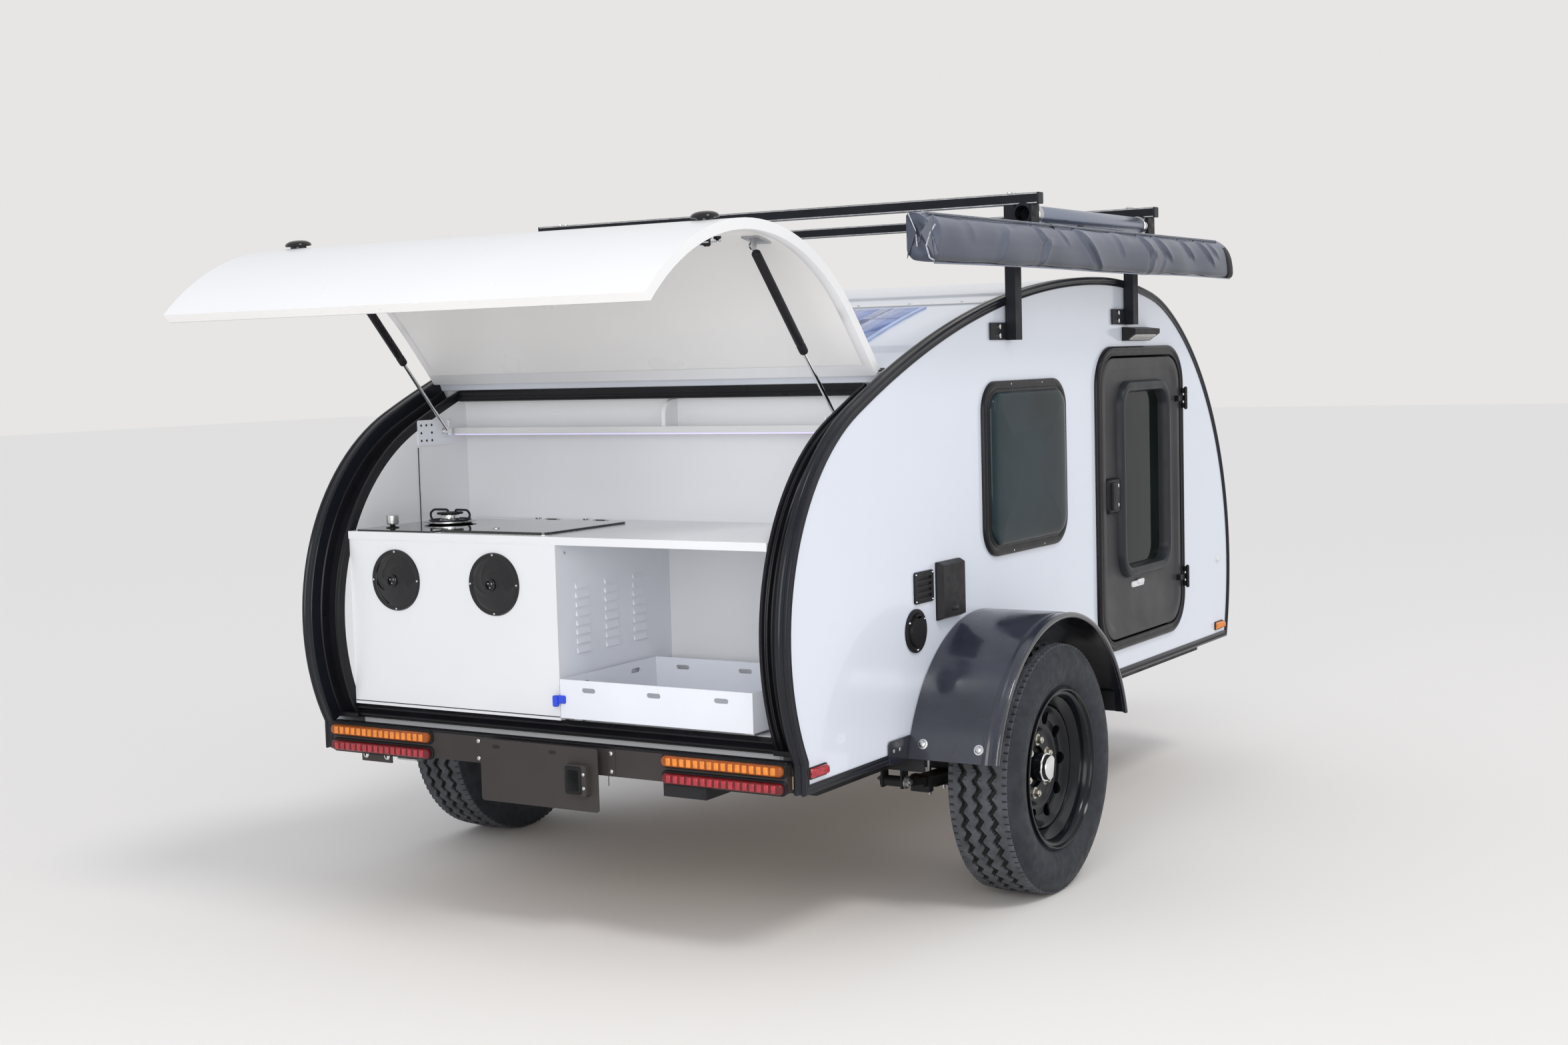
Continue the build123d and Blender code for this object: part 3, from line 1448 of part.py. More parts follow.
# Coupler: a housing over the ball with its collar, tail plate and handle
coupler_plate = 8
coupler_height = drawbar_top + coupler_plate
with BuildPart() as coupler:
    with BuildSketch(Plane.XY.offset(drawbar_top)):
        with Locations((axle_x + drawbar_tip_ahead - drawbar_gusset_length, 0)):
            Rectangle(
                coupler_plate_length, coupler_plate_width, align=(Align.MIN, Align.CENTER)
            )
    extrude(amount=coupler_plate)
    with BuildSketch(Plane.XY.offset(coupler_height)):
        with Locations((axle_x + drawbar_tip_ahead - coupler_body_behind, 0)):
            Rectangle(coupler_body_length, coupler_body_width, align=(Align.MIN, Align.CENTER))
    extrude(amount=coupler_body_height, taper=6)
    with BuildSketch(Plane.XY.offset(drawbar_top - coupler_nose_drop)):
        with Locations((axle_x + coupler_ahead, 0)):
            Circle(coupler_nose)
            Rectangle(60, 2 * coupler_nose - 20, align=(Align.MAX, Align.CENTER))
    extrude(amount=coupler_nose_height)
    with BuildSketch(Plane.XY.offset(drawbar_top - coupler_nose_drop)):
        with Locations((axle_x + coupler_ahead, 0)):
            Circle(coupler_ball / 2 + 1)
    extrude(amount=40, mode=Mode.SUBTRACT)
    with BuildSketch(Plane.XZ.offset(-14)):
        with BuildLine():
            start = (axle_x + coupler_ahead - 50, drawbar_top + 34)
            Polyline(
                start,
                (start[0] + 30, start[1] + 26),
                (start[0] - 50, start[1] + 46),
                (start[0] - 120, start[1] + 40),
                (start[0] - 120, start[1] + 30),
                (start[0] - 50, start[1] + 32),
                (start[0] - 20, start[1]),
                close=True,
            )
        make_face()
    extrude(amount=28)
save(coupler, "coupler")

# Jack: a clamped sleeve, its sliding tube, the turning fork and the jockey wheel
jack_sleeve_bottom = drawbar_top - 45
jack_sleeve_top = jack_sleeve_bottom + jack_sleeve_length
jack_place = (axle_x + jack_ahead, jack_y)
jack_fork_top = 2 * jockey_radius + 36
with BuildPart() as jack_sleeve:
    with BuildSketch(Plane.XY.offset(jack_sleeve_bottom)):
        with Locations(jack_place):
            Circle(jack_sleeve_radius)
    extrude(amount=jack_sleeve_length)
    with BuildSketch(Plane.XY.offset(jack_sleeve_bottom)):
        with Locations(jack_place):
            Circle(jack_tube_radius + strut_gap)
    extrude(amount=jack_sleeve_length - 12, mode=Mode.SUBTRACT)
    with BuildSketch(Plane.XY.offset(drawbar_top)):
        with Locations((jack_place[0], jack_y - jack_sleeve_radius - 14)):
            Rectangle(56, 34)
    extrude(amount=36)
    with BuildSketch(Plane.XY.offset(jack_sleeve_top)):
        with Locations(jack_place):
            Circle(9)
    extrude(amount=26)
    with BuildSketch(Plane.XY.offset(jack_sleeve_top + 14)):
        with Locations(jack_place):
            Rectangle(jack_crank_length, jack_crank_width, align=(Align.MIN, Align.CENTER))
    extrude(amount=jack_crank_sheet)
    with BuildSketch(Plane.XY.offset(jack_sleeve_top + 22)):
        with Locations((jack_place[0] + jack_crank_length - jack_grip_radius, jack_y)):
            Circle(jack_grip_radius)
    extrude(amount=jack_grip_height)
save(jack_sleeve, "jack_sleeve")

with BuildPart() as jack_tube:
    jack_tube_foot = jack_fork_top + 7 + clearance
    with BuildSketch(Plane.XY.offset(jack_tube_foot)):
        with Locations(jack_place):
            Circle(jack_tube_radius)
    extrude(amount=jack_sleeve_top - 12 - jack_travel - 10 - jack_tube_foot)
save(jack_tube, "jack_tube")

fork_half = jockey_width / 2 + 6
with BuildPart() as jockey_fork:
    with BuildSketch(Plane.XY.offset(jack_fork_top)):
        with Locations((jack_place[0] - jockey_trail / 2, jack_y)):
            RectangleRounded(110, 2 * fork_half + 12, 20)
    extrude(amount=7)
    with BuildSketch(Plane.XZ.offset(-jack_y - fork_half - 6)):
        with BuildLine():
            Polyline(
                (jack_place[0] + 30, jack_fork_top + 3),
                (jack_place[0] - 70, jack_fork_top + 3),
                (jack_place[0] - jockey_trail - 16, jockey_radius - 12),
                (jack_place[0] - jockey_trail + 16, jockey_radius - 12),
                close=True,
            )
        make_face()
    extrude(amount=6)
    with BuildSketch(Plane.XZ.offset(-jack_y + fork_half)):
        with BuildLine():
            Polyline(
                (jack_place[0] + 30, jack_fork_top + 3),
                (jack_place[0] - 70, jack_fork_top + 3),
                (jack_place[0] - jockey_trail - 16, jockey_radius - 12),
                (jack_place[0] - jockey_trail + 16, jockey_radius - 12),
                close=True,
            )
        make_face()
    extrude(amount=6)
    with BuildSketch(Plane.XZ.offset(-jack_y - fork_half - 1)):
        with Locations((jack_place[0] - jockey_trail, jockey_radius)):
            Circle(8)
    extrude(amount=2 * fork_half + 2)
save(jockey_fork, "jockey_fork")

with BuildPart() as jockey_wheel:
    with BuildSketch(Plane.XZ.offset(-jack_y - jockey_width / 2)):
        with Locations((jack_place[0] - jockey_trail, jockey_radius)):
            Circle(jockey_radius)
            Circle(8 + strut_gap, mode=Mode.SUBTRACT)
    extrude(amount=jockey_width)
    with BuildSketch(Plane.XZ.offset(-jack_y - jockey_width / 2)):
        with Locations((jack_place[0] - jockey_trail, jockey_radius)):
            Circle(jockey_radius - 26)
            Circle(20, mode=Mode.SUBTRACT)
    extrude(amount=10, mode=Mode.SUBTRACT)
    with BuildSketch(Plane.XZ.offset(-jack_y + jockey_width / 2 - 10)):
        with Locations((jack_place[0] - jockey_trail, jockey_radius)):
            Circle(jockey_radius - 26)
            Circle(20, mode=Mode.SUBTRACT)
    extrude(amount=10, mode=Mode.SUBTRACT)
save(jockey_wheel, "jockey_wheel")

# Rear panel under the galley, its lamps and the plate holder
panel_face_x = axle_x + rear_face
with BuildPart() as rear_panel:
    with BuildSketch(Plane.YZ.offset(panel_face_x)):
        with Locations((0, (rear_panel_top + rear_panel_bottom) / 2)):
            Rectangle(2 * rear_panel_half_width, rear_panel_top - rear_panel_bottom)
    extrude(amount=rear_panel_proud + rear_panel_thickness)
    with BuildSketch(Plane.YZ.offset(panel_face_x)):
        with Locations((hanger_middle_y, rear_panel_bottom - hanger_drop)):
            Rectangle(hanger_width, hanger_drop + 10, align=(Align.CENTER, Align.MIN))
            with GridLocations(hanger_width - 30, 0, 2, 1):
                with Locations((0, hanger_drop / 2)):
                    Circle(hanger_hole_radius, mode=Mode.SUBTRACT)
    extrude(amount=4)
save(rear_panel, "rear_panel")

with BuildPart() as rear_lamps:
    for height in lamp_heights:
        with BuildSketch(Plane.YZ.offset(panel_face_x)):
            for side in (-1, 1):
                with Locations((side * (lamp_first_y + lamp_length / 2), height)):
                    RectangleRounded(lamp_length, lamp_height, lamp_height / 5)
        extrude(amount=-lamp_depth)
save(rear_lamps, "rear_lamps")

plate_face = panel_face_x - plate_holder_standoff
plate_slot_height_up = plate_holder_top - plate_slot_drop
plate_lamp_y = plate_holder_y - plate_holder_width / 2 + 22 + plate_lamp_width / 2
plate_lamp_middle_height = plate_holder_top - plate_holder_height / 2
with BuildPart() as plate_holder:
    with BuildSketch(Plane.YZ.offset(panel_face_x)):
        with Locations((plate_arm_y, (rear_panel_top + rear_panel_bottom) / 2)):
            Rectangle(plate_arm_width, rear_panel_top - rear_panel_bottom - 8)
    extrude(amount=-plate_holder_standoff)
    with BuildSketch(Plane.YZ.offset(plate_face)):
        with Locations((plate_holder_y, plate_holder_top - plate_holder_height / 2)):
            RectangleRounded(plate_holder_width, plate_holder_height, 8)
        with Locations((plate_arm_y, plate_slot_height_up)):
            with GridLocations(plate_slot_spacing, 0, 2, 1):
                SlotOverall(plate_slot_length, plate_slot_height, mode=Mode.SUBTRACT)
    extrude(amount=-plate_holder_sheet)
    with BuildSketch(Plane.YZ.offset(plate_face - plate_holder_sheet)):
        with Locations((plate_lamp_y, plate_lamp_middle_height)):
            RectangleRounded(plate_lamp_width, plate_lamp_height, 8)
    extrude(amount=-plate_lamp_depth, taper=8)
save(plate_holder, "plate_holder")

# Fittings on the right wall: a louvred vent, a tall cover and a round socket
with BuildPart() as wall_fittings:
    with BuildSketch(door_plane):
        with Locations(louvre_vent_place):
            RectangleRounded(*louvre_vent_size, 8)
        with Locations(tall_cover_place):
            RectangleRounded(*tall_cover_size, 4)
        with Locations(socket_place):
            Circle(socket_radius)
    extrude(amount=fitting_plate)
    with BuildSketch(door_plane.offset(fitting_plate)):
        with Locations(tall_cover_place):
            RectangleRounded(*tall_cover_size, 4)
    extrude(amount=tall_cover_depth, taper=25)
    with BuildSketch(door_plane.offset(fitting_plate)):
        with Locations(socket_place):
            Circle(socket_radius - 16)
    extrude(amount=socket_cap_depth, taper=10)
    with BuildSketch(door_plane.offset(fitting_plate)):
        with Locations(louvre_vent_place):
            with GridLocations(0, louvre_vent_pitch, 1, 4):
                Rectangle(louvre_vent_size[0] - 26, louvre_vent_pitch - 7)
    extrude(amount=-4, mode=Mode.SUBTRACT)
save(wall_fittings, "wall_fittings")

# Porch lights over the doors: a wedge whose face looks down and out
porch_light_middle = door_centre + porch_light_ahead
porch_light_bottom = door_middle_height + door_frame_height / 2 + porch_light_gap
with BuildPart() as porch_lights:
    with BuildSketch(Plane.YZ.offset(axle_x + porch_light_middle - porch_light_length / 2)):
        with BuildLine():
            Polyline(
                (-body_half_width, porch_light_bottom),
                (-body_half_width, porch_light_bottom + porch_light_height),
                (-body_half_width - porch_light_depth, porch_light_bottom + porch_light_height - 6),
                (-body_half_width - porch_light_depth, porch_light_bottom + porch_light_height - 20),
                (-body_half_width - 12, porch_light_bottom),
                close=True,
            )
        make_face()
    extrude(amount=porch_light_length)
    mirror(about=Plane.XZ)
save(porch_lights, "porch_lights")

# Marker lamps, a constant gap inside the skin's front and rear edges
marker_front = nose_station_at(marker_middle_height, marker_skin_gap) - marker_length / 2
marker_rear = skin_point(tail_end)[0] + marker_skin_gap / 2 + marker_length / 2
with BuildPart() as marker_lamps:
    with BuildSketch(door_plane):
        with Locations((marker_front, marker_middle_height), (marker_rear, marker_middle_height)):
            RectangleRounded(marker_length, marker_height, 5)
    extrude(amount=marker_depth, taper=12)
    mirror(about=Plane.XZ)
save(marker_lamps, "marker_lamps")

# Roof rack: posts up the walls, crossbars over the roof and the tube that carries the awning
post_y = body_half_width + trim_thickness + post_depth / 2
post_top = bar_height - bar_size / 2
rack_tube_y = post_y + post_depth / 2 + clearance + rack_tube_radius
bag_inner = rack_tube_y + rack_tube_radius + bag_gap
bag_bottom = bar_height - bag_below_bar
front_post_bottom = porch_light_bottom + porch_light_height + post_porch_gap
rear_post_bottom = front_post_bottom - rear_post_lower
with BuildPart() as rack_posts:
    for ahead, post_bottom in (
        (rear_post_ahead, rear_post_bottom),
        (front_post_ahead, front_post_bottom),
    ):
        with BuildSketch(Plane.XY.offset(post_bottom)):
            with Locations((axle_x + ahead, -post_y)):
                Rectangle(post_width, post_depth)
        extrude(amount=post_top - post_bottom)
        with BuildSketch(side_plane.offset(post_y - post_depth / 2)):
            with Locations((ahead + post_width / 2, post_bottom + 1)):
                Rectangle(post_width + post_tab_length, post_tab_height, align=(Align.MAX, Align.MIN))
        extrude(amount=post_tab_sheet)
    mirror(about=Plane.XZ)
save(rack_posts, "rack_posts")

with BuildPart() as crossbars:
    with BuildSketch(Plane.XY.offset(post_top)):
        for ahead in (rear_post_ahead, front_post_ahead):
            with Locations((axle_x + ahead, 0)):
                Rectangle(bar_size, 2 * bar_half_length)
    extrude(amount=bar_size)
    with BuildSketch(Plane.XZ.offset(bag_inner - bag_gap + clearance)):
        for ahead in (rear_post_ahead, front_post_ahead):
            with Locations((axle_x + ahead, post_top)):
                Rectangle(bag_clamp_width, post_top - bag_bottom - bag_clamp_short, align=(Align.CENTER, Align.MAX))
    extrude(amount=bag_gap - 2 * clearance)
save(crossbars, "crossbars")

with BuildPart() as rack_tube:
    tube_start = axle_x + rear_post_ahead - rack_tube_overhang
    with BuildSketch(Plane.YZ.offset(tube_start)):
        with Locations((-rack_tube_y, post_top - rack_tube_radius - clearance)):
            Circle(rack_tube_radius)
            Circle(rack_tube_radius - rack_tube_wall, mode=Mode.SUBTRACT)
    extrude(amount=front_post_ahead - rear_post_ahead + 2 * rack_tube_overhang)
save(rack_tube, "rack_tube")

with BuildPart() as awning_bag:
    with BuildSketch(Plane.YZ.offset(axle_x - bag_rear_behind)):
        with BuildLine():
            Polyline(
                (-bag_inner, bag_bottom + bag_height),
                (-bag_inner, bag_bottom + bag_inner_rise),
                (-bag_inner - bag_depth + bag_foot_inset, bag_bottom),
                (-bag_inner - bag_depth, bag_bottom + bag_height / 2),
                (-bag_inner - bag_depth + bag_shoulder_inset, bag_bottom + bag_height - bag_inner_rise),
                close=True,
            )
        make_face()
    extrude(amount=bag_length)
save(awning_bag, "awning_bag")

# Flexible solar panel glued to the rear of the roof
solar_front_turn = degrees(asin((crown_ahead - solar_ahead) / roof_rear_radius))
solar_rear_turn = degrees(asin((crown_ahead - solar_ahead + solar_length) / roof_rear_radius))
with BuildPart() as solar_panel:
    solar_inner = trim_proud - clearance
    with BuildSketch(side_plane.offset(-solar_width / 2)):
        add(skin_band(solar_inner - solar_thickness, solar_inner, solar_front_turn, solar_rear_turn))
    extrude(amount=solar_width)
save(solar_panel, "solar_panel")

# Safety chain hung in a loop from two eyes under the drawbar plate
chain_loop_radius = chain_y
chain_drop = (chain_links * chain_pitch - pi * chain_loop_radius) / 2


def chain_spot(run):
    # place and slope of a link along the loop
    if run < chain_drop:
        return (-chain_loop_radius, chain_eye_height - run, 90)
    if run > chain_drop + pi * chain_loop_radius:
        back = run - chain_drop - pi * chain_loop_radius
        return (chain_loop_radius, chain_eye_height - chain_drop + back, 90)
    turn = (run - chain_drop) / chain_loop_radius
    low = chain_eye_height - chain_drop
    return (-chain_loop_radius * cos(turn), low - chain_loop_radius * sin(turn), 90 - degrees(turn))


with BuildPart() as safety_chain:
    link_length = chain_pitch + 2 * chain_wire + 2
    for number in range(chain_links):
        y, height, slope = chain_spot((number + 0.5) * chain_pitch)
        along = Vector(0, cos(radians(slope)), -sin(radians(slope)))
        across = Vector(1, 0, 0) if number % 2 else Vector(1, 0, 0).cross(along)
        link_plane = Plane(
            origin=(axle_x + chain_ahead, y, height), x_dir=along, z_dir=across
        )
        with BuildSketch(link_plane.offset(-chain_wire / 2)):
            SlotOverall(link_length, chain_link_width)
            SlotOverall(link_length - 2 * chain_wire, chain_link_width - 2 * chain_wire, mode=Mode.SUBTRACT)
        extrude(amount=chain_wire)
save(safety_chain, "safety_chain")

# Places of the joints, mounts and openings for the record, in metres
closed_length = hypot(
    skin_point(strut_turn, strut_inset)[0] - base_station,
    skin_point(strut_turn, strut_inset)[1] - base_height,
)
places = (
    ("hatch", axle_x + hinge_station, 0, hinge_height),
    ("strut_eye", eye_place.X, strut_y, eye_place.Z),
    ("strut_base", axle_x + base_station, strut_y, base_height),
    ("strut_along", 1000 * strut_along.X, 0, 1000 * strut_along.Z),
    ("strut_open_closed", strut_length, closed_length, 0),
    ("door", axle_x + door_hinge_ahead, door_hinge_y, door_middle_height),
    ("tray", tray_middle, tray_middle_y, tray_bottom),
    ("lid", lid_axis_x, sink_y, lid_axis_height),
    ("wheel", axle_x, wheel_y, tyre_radius),
    ("jack", jack_place[0], jack_place[1], jack_sleeve_bottom),
    ("fork", jack_place[0], jack_place[1], jack_fork_top + 7),
    ("jockey", jack_place[0] - jockey_trail, jack_y, jockey_radius),
    ("ball", axle_x + coupler_ahead, 0, drawbar_top - 22),
    ("deck", axle_x + sill_station, galley_half_width, deck_top),
    ("counter", axle_x - galley_front_behind, galley_half_width, counter_bottom),
    ("bowl", sink_middle, sink_y, counter_top - sink_bowl_depth),
    ("axle_x", axle_x, rail_front, plate_face),
)
for name, *place in places:
    print(name, [round(value / 1000, 5) for value in place])
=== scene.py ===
import bpy
import math
import bmesh
import numpy as np
from mathutils import Matrix, Vector


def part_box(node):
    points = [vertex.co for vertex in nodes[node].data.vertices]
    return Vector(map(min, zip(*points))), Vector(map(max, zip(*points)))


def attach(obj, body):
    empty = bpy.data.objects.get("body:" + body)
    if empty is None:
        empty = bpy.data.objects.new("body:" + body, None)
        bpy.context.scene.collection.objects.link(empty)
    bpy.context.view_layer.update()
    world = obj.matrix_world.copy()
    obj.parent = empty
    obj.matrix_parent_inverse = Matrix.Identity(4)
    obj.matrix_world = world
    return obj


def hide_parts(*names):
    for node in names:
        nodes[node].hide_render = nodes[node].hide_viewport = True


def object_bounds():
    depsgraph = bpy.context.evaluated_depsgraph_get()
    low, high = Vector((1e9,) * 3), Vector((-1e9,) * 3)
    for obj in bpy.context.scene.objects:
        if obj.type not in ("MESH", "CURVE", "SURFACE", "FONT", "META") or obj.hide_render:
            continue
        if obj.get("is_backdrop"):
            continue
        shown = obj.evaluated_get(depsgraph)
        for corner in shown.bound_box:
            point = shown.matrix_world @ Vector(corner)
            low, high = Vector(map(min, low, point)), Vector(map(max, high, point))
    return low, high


# Teardrop trailer with its galley open. Lengths in the settings are millimetres,
# x is the station ahead of the axle, y the left side and z the height.
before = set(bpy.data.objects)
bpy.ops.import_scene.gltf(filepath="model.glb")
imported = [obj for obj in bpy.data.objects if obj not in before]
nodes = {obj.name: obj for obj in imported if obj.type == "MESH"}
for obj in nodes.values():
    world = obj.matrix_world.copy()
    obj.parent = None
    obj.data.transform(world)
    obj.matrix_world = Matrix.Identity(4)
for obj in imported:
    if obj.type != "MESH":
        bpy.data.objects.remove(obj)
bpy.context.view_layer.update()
axleLow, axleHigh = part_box("axle_beam")
axleX = (axleLow.x + axleHigh.x) / 2
print("frame loaded,", len(nodes), "solids")


def nodeSpan(name):
    # corners of a solid in the settings' own measure
    low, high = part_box(name)
    shift = Vector((axleX, 0, 0))
    return np.array((low - shift) * 1000), np.array((high - shift) * 1000)


# side outline, the same chain of arcs as the solids
outline = {
    "crown": (877, 1626), "roofFront": 1916, "roofFrontTurn": 11.8, "brow": 604, "browTurn": 11.9, "nose": 955,
    "roofRear": 3607, "roofRearTurn": 24.76, "tail": 594, "footHeight": 485, "bottom": 415, "halfWidth": 740,
}


def nextCentre(centre, radius, nextRadius, turn):
    away = radius - nextRadius
    return (centre[0] - away * math.sin(math.radians(turn)), centre[1] + away * math.cos(math.radians(turn)))


def buildArcs(plan):
    crown = plan["crown"]
    front = (crown[0], crown[1] - plan["roofFront"])
    brow = nextCentre(front, plan["roofFront"], plan["brow"], -plan["roofFrontTurn"])
    noseTurn = -(plan["roofFrontTurn"] + plan["browTurn"])
    nose = nextCentre(brow, plan["brow"], plan["nose"], noseTurn)
    noseEnd = -math.degrees(math.acos((plan["bottom"] - nose[1]) / plan["nose"]))
    rear = (crown[0], crown[1] - plan["roofRear"])
    tail = nextCentre(rear, plan["roofRear"], plan["tail"], plan["roofRearTurn"])
    tailEnd = math.degrees(math.acos((plan["footHeight"] - tail[1]) / plan["tail"]))
    return [
        (nose, plan["nose"], noseEnd, noseTurn), (brow, plan["brow"], noseTurn, -plan["roofFrontTurn"]),
        (front, plan["roofFront"], -plan["roofFrontTurn"], 0), (rear, plan["roofRear"], 0, plan["roofRearTurn"]),
        (tail, plan["tail"], plan["roofRearTurn"], tailEnd),
    ]


arcs = buildArcs(outline)
noseEnd, tailEnd = arcs[0][2], arcs[-1][3]
tailCentre, tailRadius = arcs[-1][:2]
bodyHalf = outline["halfWidth"]


def skinPoint(turn, inset=0):
    # a place on the outline by the direction it faces, inset mm inside it
    arc = next((a for a in arcs if turn <= a[3]), arcs[-1])
    reach = arc[1] - inset
    return (arc[0][0] - reach * math.sin(math.radians(turn)), arc[0][1] + reach * math.cos(math.radians(turn)))


def skinNormal(turn):
    return (-math.sin(math.radians(turn)), math.cos(math.radians(turn)))


def skinRun(start, end, step=25):
    # stations along the outline from one turn to another, with outward normals
    run = []
    for _, radius, low, high in arcs:
        a, b = max(low, start), min(high, end)
        if b <= a:
            continue
        count = max(2, int(math.radians(b - a) * radius / step))
        run += [(*skinPoint(t), *skinNormal(t)) for t in np.linspace(a + 1e-6, b, count)]
    return run


def roofTurn(station):
    # the direction that the rear roof arc faces at a station
    return math.degrees(math.asin((outline["crown"][0] - station) / outline["roofRear"]))


def roofStep(length):
    # the turn that a length along the rear roof arc makes
    return math.degrees(length / outline["roofRear"])


def tailTurn(height, inset=0):
    # the direction that the tail arc faces at a height
    return math.degrees(math.acos((height - tailCentre[1]) / (tailRadius - inset)))


hingePlan = {"station": -441, "open": 72}  # the hatch's hinge line, and how far it stands open
hingeTurn = roofTurn(hingePlan["station"])
hingeStation, hingeHeight = skinPoint(hingeTurn)
hatchOpen = math.radians(hingePlan["open"])


def opened(station, height):
    # a place on the shut hatch, swung up with it
    dx, dz = station - hingeStation, height - hingeHeight
    c, s = math.cos(hatchOpen), math.sin(hatchOpen)
    return (hingeStation + dx * c + dz * s, hingeHeight - dx * s + dz * c)


# camera at the photograph's place
cameraPlan = {"place": (-4860.3, -3135.0, 1414.7), "yaw": 31.6098, "pitch": 4.60016, "roll": 1.55854, "lens": 47.095}


def addCamera(plan):
    yaw, pitch, roll = (math.radians(plan[k]) for k in ("yaw", "pitch", "roll"))
    look = Vector((math.cos(yaw) * math.cos(pitch), math.sin(yaw) * math.cos(pitch), -math.sin(pitch)))
    right = Vector((math.sin(yaw), -math.cos(yaw), 0))
    down = look.cross(right)
    across = right * math.cos(roll) + down * math.sin(roll)
    below = down * math.cos(roll) - right * math.sin(roll)
    turn = Matrix((across, -below, -look)).transposed()
    data = bpy.data.cameras.new("photoCamera")
    data.lens = plan["lens"]
    data.sensor_width = 36
    data.clip_end = 100
    camera = bpy.data.objects.new("photoCamera", data)
    x, y, z = plan["place"]
    camera.matrix_world = Matrix.Translation((axleX + x / 1000, y / 1000, z / 1000)) @ turn.to_4x4()
    bpy.context.scene.collection.objects.link(camera)
    bpy.context.scene.camera = camera


addCamera(cameraPlan)

# pale floor, soft lamps and an even world
stagePlan = {
    "floorTone": (0.88, 0.84, 0.79), "floorReach": 40, "worldTone": (0.66, 0.69, 0.75), "backdrop": (0.80, 0.79, 0.78),
    "sun": 0.7, "sunAngle": 14, "sunAim": (0.30, 0.62, -1), "boxAim": (-0.4, 0, 0.9),
    # soft boxes: place and size in metres, power in watts
    "boxes": {"rearSoftbox": ((-6.3, -2.4, 2.1), 3.5, 125), "sideSoftbox": ((1.5, -6.5, 3.5), 4.0, 42)},
}


def addStage(plan):
    scene = bpy.context.scene
    scene.view_settings.view_transform = "Standard"
    world = bpy.data.worlds.new("studio")
    world.use_nodes = True
    scene.world = world
    tree = world.node_tree
    glow = tree.nodes["Background"]
    path = tree.nodes.new("ShaderNodeLightPath")
    sky = tree.nodes.new("ShaderNodeBackground")
    mix = tree.nodes.new("ShaderNodeMixShader")
    glow.inputs["Color"].default_value = (*plan["worldTone"], 1)
    sky.inputs["Color"].default_value = (*plan["backdrop"], 1)
    # the backdrop is what the camera, gloss and glass see; the plain world lights the rest
    seen = path.outputs["Is Camera Ray"]
    for ray in ("Is Glossy Ray", "Is Transmission Ray"):
        either = tree.nodes.new("ShaderNodeMath")
        either.operation = "MAXIMUM"
        tree.links.new(seen, either.inputs[0])
        tree.links.new(path.outputs[ray], either.inputs[1])
        seen = either.outputs["Value"]
    tree.links.new(seen, mix.inputs["Fac"])
    tree.links.new(glow.outputs["Background"], mix.inputs[1])
    tree.links.new(sky.outputs["Background"], mix.inputs[2])
    tree.links.new(mix.outputs["Shader"], tree.nodes["World Output"].inputs["Surface"])

    floorMesh = bpy.data.meshes.new("studioFloor")
    reach = plan["floorReach"]
    corners = [(-reach, -reach, 0), (reach, -reach, 0), (reach, reach, 0), (-reach, reach, 0)]
    floorMesh.from_pydata(corners, [], [(0, 1, 2, 3)])
    floor = bpy.data.objects.new("studioFloor", floorMesh)
    scene.collection.objects.link(floor)
    paint = bpy.data.materials.new("studioFloor")
    paint.use_nodes = True
    shader = paint.node_tree.nodes["Principled BSDF"]
    shader.inputs["Base Color"].default_value = (*plan["floorTone"], 1)
    shader.inputs["Roughness"].default_value = 0.9
    floorMesh.materials.append(paint)
    floor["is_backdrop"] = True

    sun = bpy.data.lights.new("softSun", "SUN")
    sun.energy = plan["sun"]
    sun.angle = math.radians(plan["sunAngle"])
    lamp = bpy.data.objects.new("softSun", sun)
    lamp.rotation_euler = Vector(plan["sunAim"]).to_track_quat("-Z", "Y").to_euler()
    scene.collection.objects.link(lamp)
    for name, (place, size, power) in plan["boxes"].items():
        area = bpy.data.lights.new(name, "AREA")
        area.shape = "SQUARE"
        area.size = size
        area.energy = power
        box = bpy.data.objects.new(name, area)
        box.location = place
        box.rotation_euler = (Vector(plan["boxAim"]) - Vector(place)).to_track_quat("-Z", "Y").to_euler()
        scene.collection.objects.link(box)


addStage(stagePlan)
print("camera and stage placed")


# finishes: a base, then slow colour change, uneven gloss and fine relief
def newFinish(name, base, rough, **more):
    paint = bpy.data.materials.new(name)
    paint.use_nodes = True
    shader = paint.node_tree.nodes["Principled BSDF"]
    shader.inputs["Base Color"].default_value = (*base, 1)
    shader.inputs["Roughness"].default_value = rough
    for socket, value in more.items():
        shader.inputs[socket.replace("_", " ")].default_value = value
    paint["base"] = list(base)
    return paint


def spots(tree, size, detail=4, stretch=None):
    place = tree.nodes.new("ShaderNodeTexCoord")
    noise = tree.nodes.new("ShaderNodeTexNoise")
    noise.inputs["Scale"].default_value = 1000 / size
    noise.inputs["Detail"].default_value = detail
    source = place.outputs["Object"]
    if stretch:
        mapping = tree.nodes.new("ShaderNodeMapping")
        mapping.inputs["Scale"].default_value = stretch
        tree.links.new(source, mapping.inputs["Vector"])
        source = mapping.outputs["Vector"]
    tree.links.new(source, noise.inputs["Vector"])
    return noise.outputs["Fac"]


def vary(paint, size, darker, lighter):
    tree = paint.node_tree
    ramp = tree.nodes.new("ShaderNodeValToRGB")
    base = paint["base"]
    for element, place, scale in ((0, 0.35, darker), (1, 0.68, lighter)):
        ramp.color_ramp.elements[element].position = place
        ramp.color_ramp.elements[element].color = tuple(min(1, c * scale) for c in base) + (1,)
    tree.links.new(spots(tree, size), ramp.inputs["Fac"])
    tree.links.new(ramp.outputs["Color"], tree.nodes["Principled BSDF"].inputs["Base Color"])
    return paint


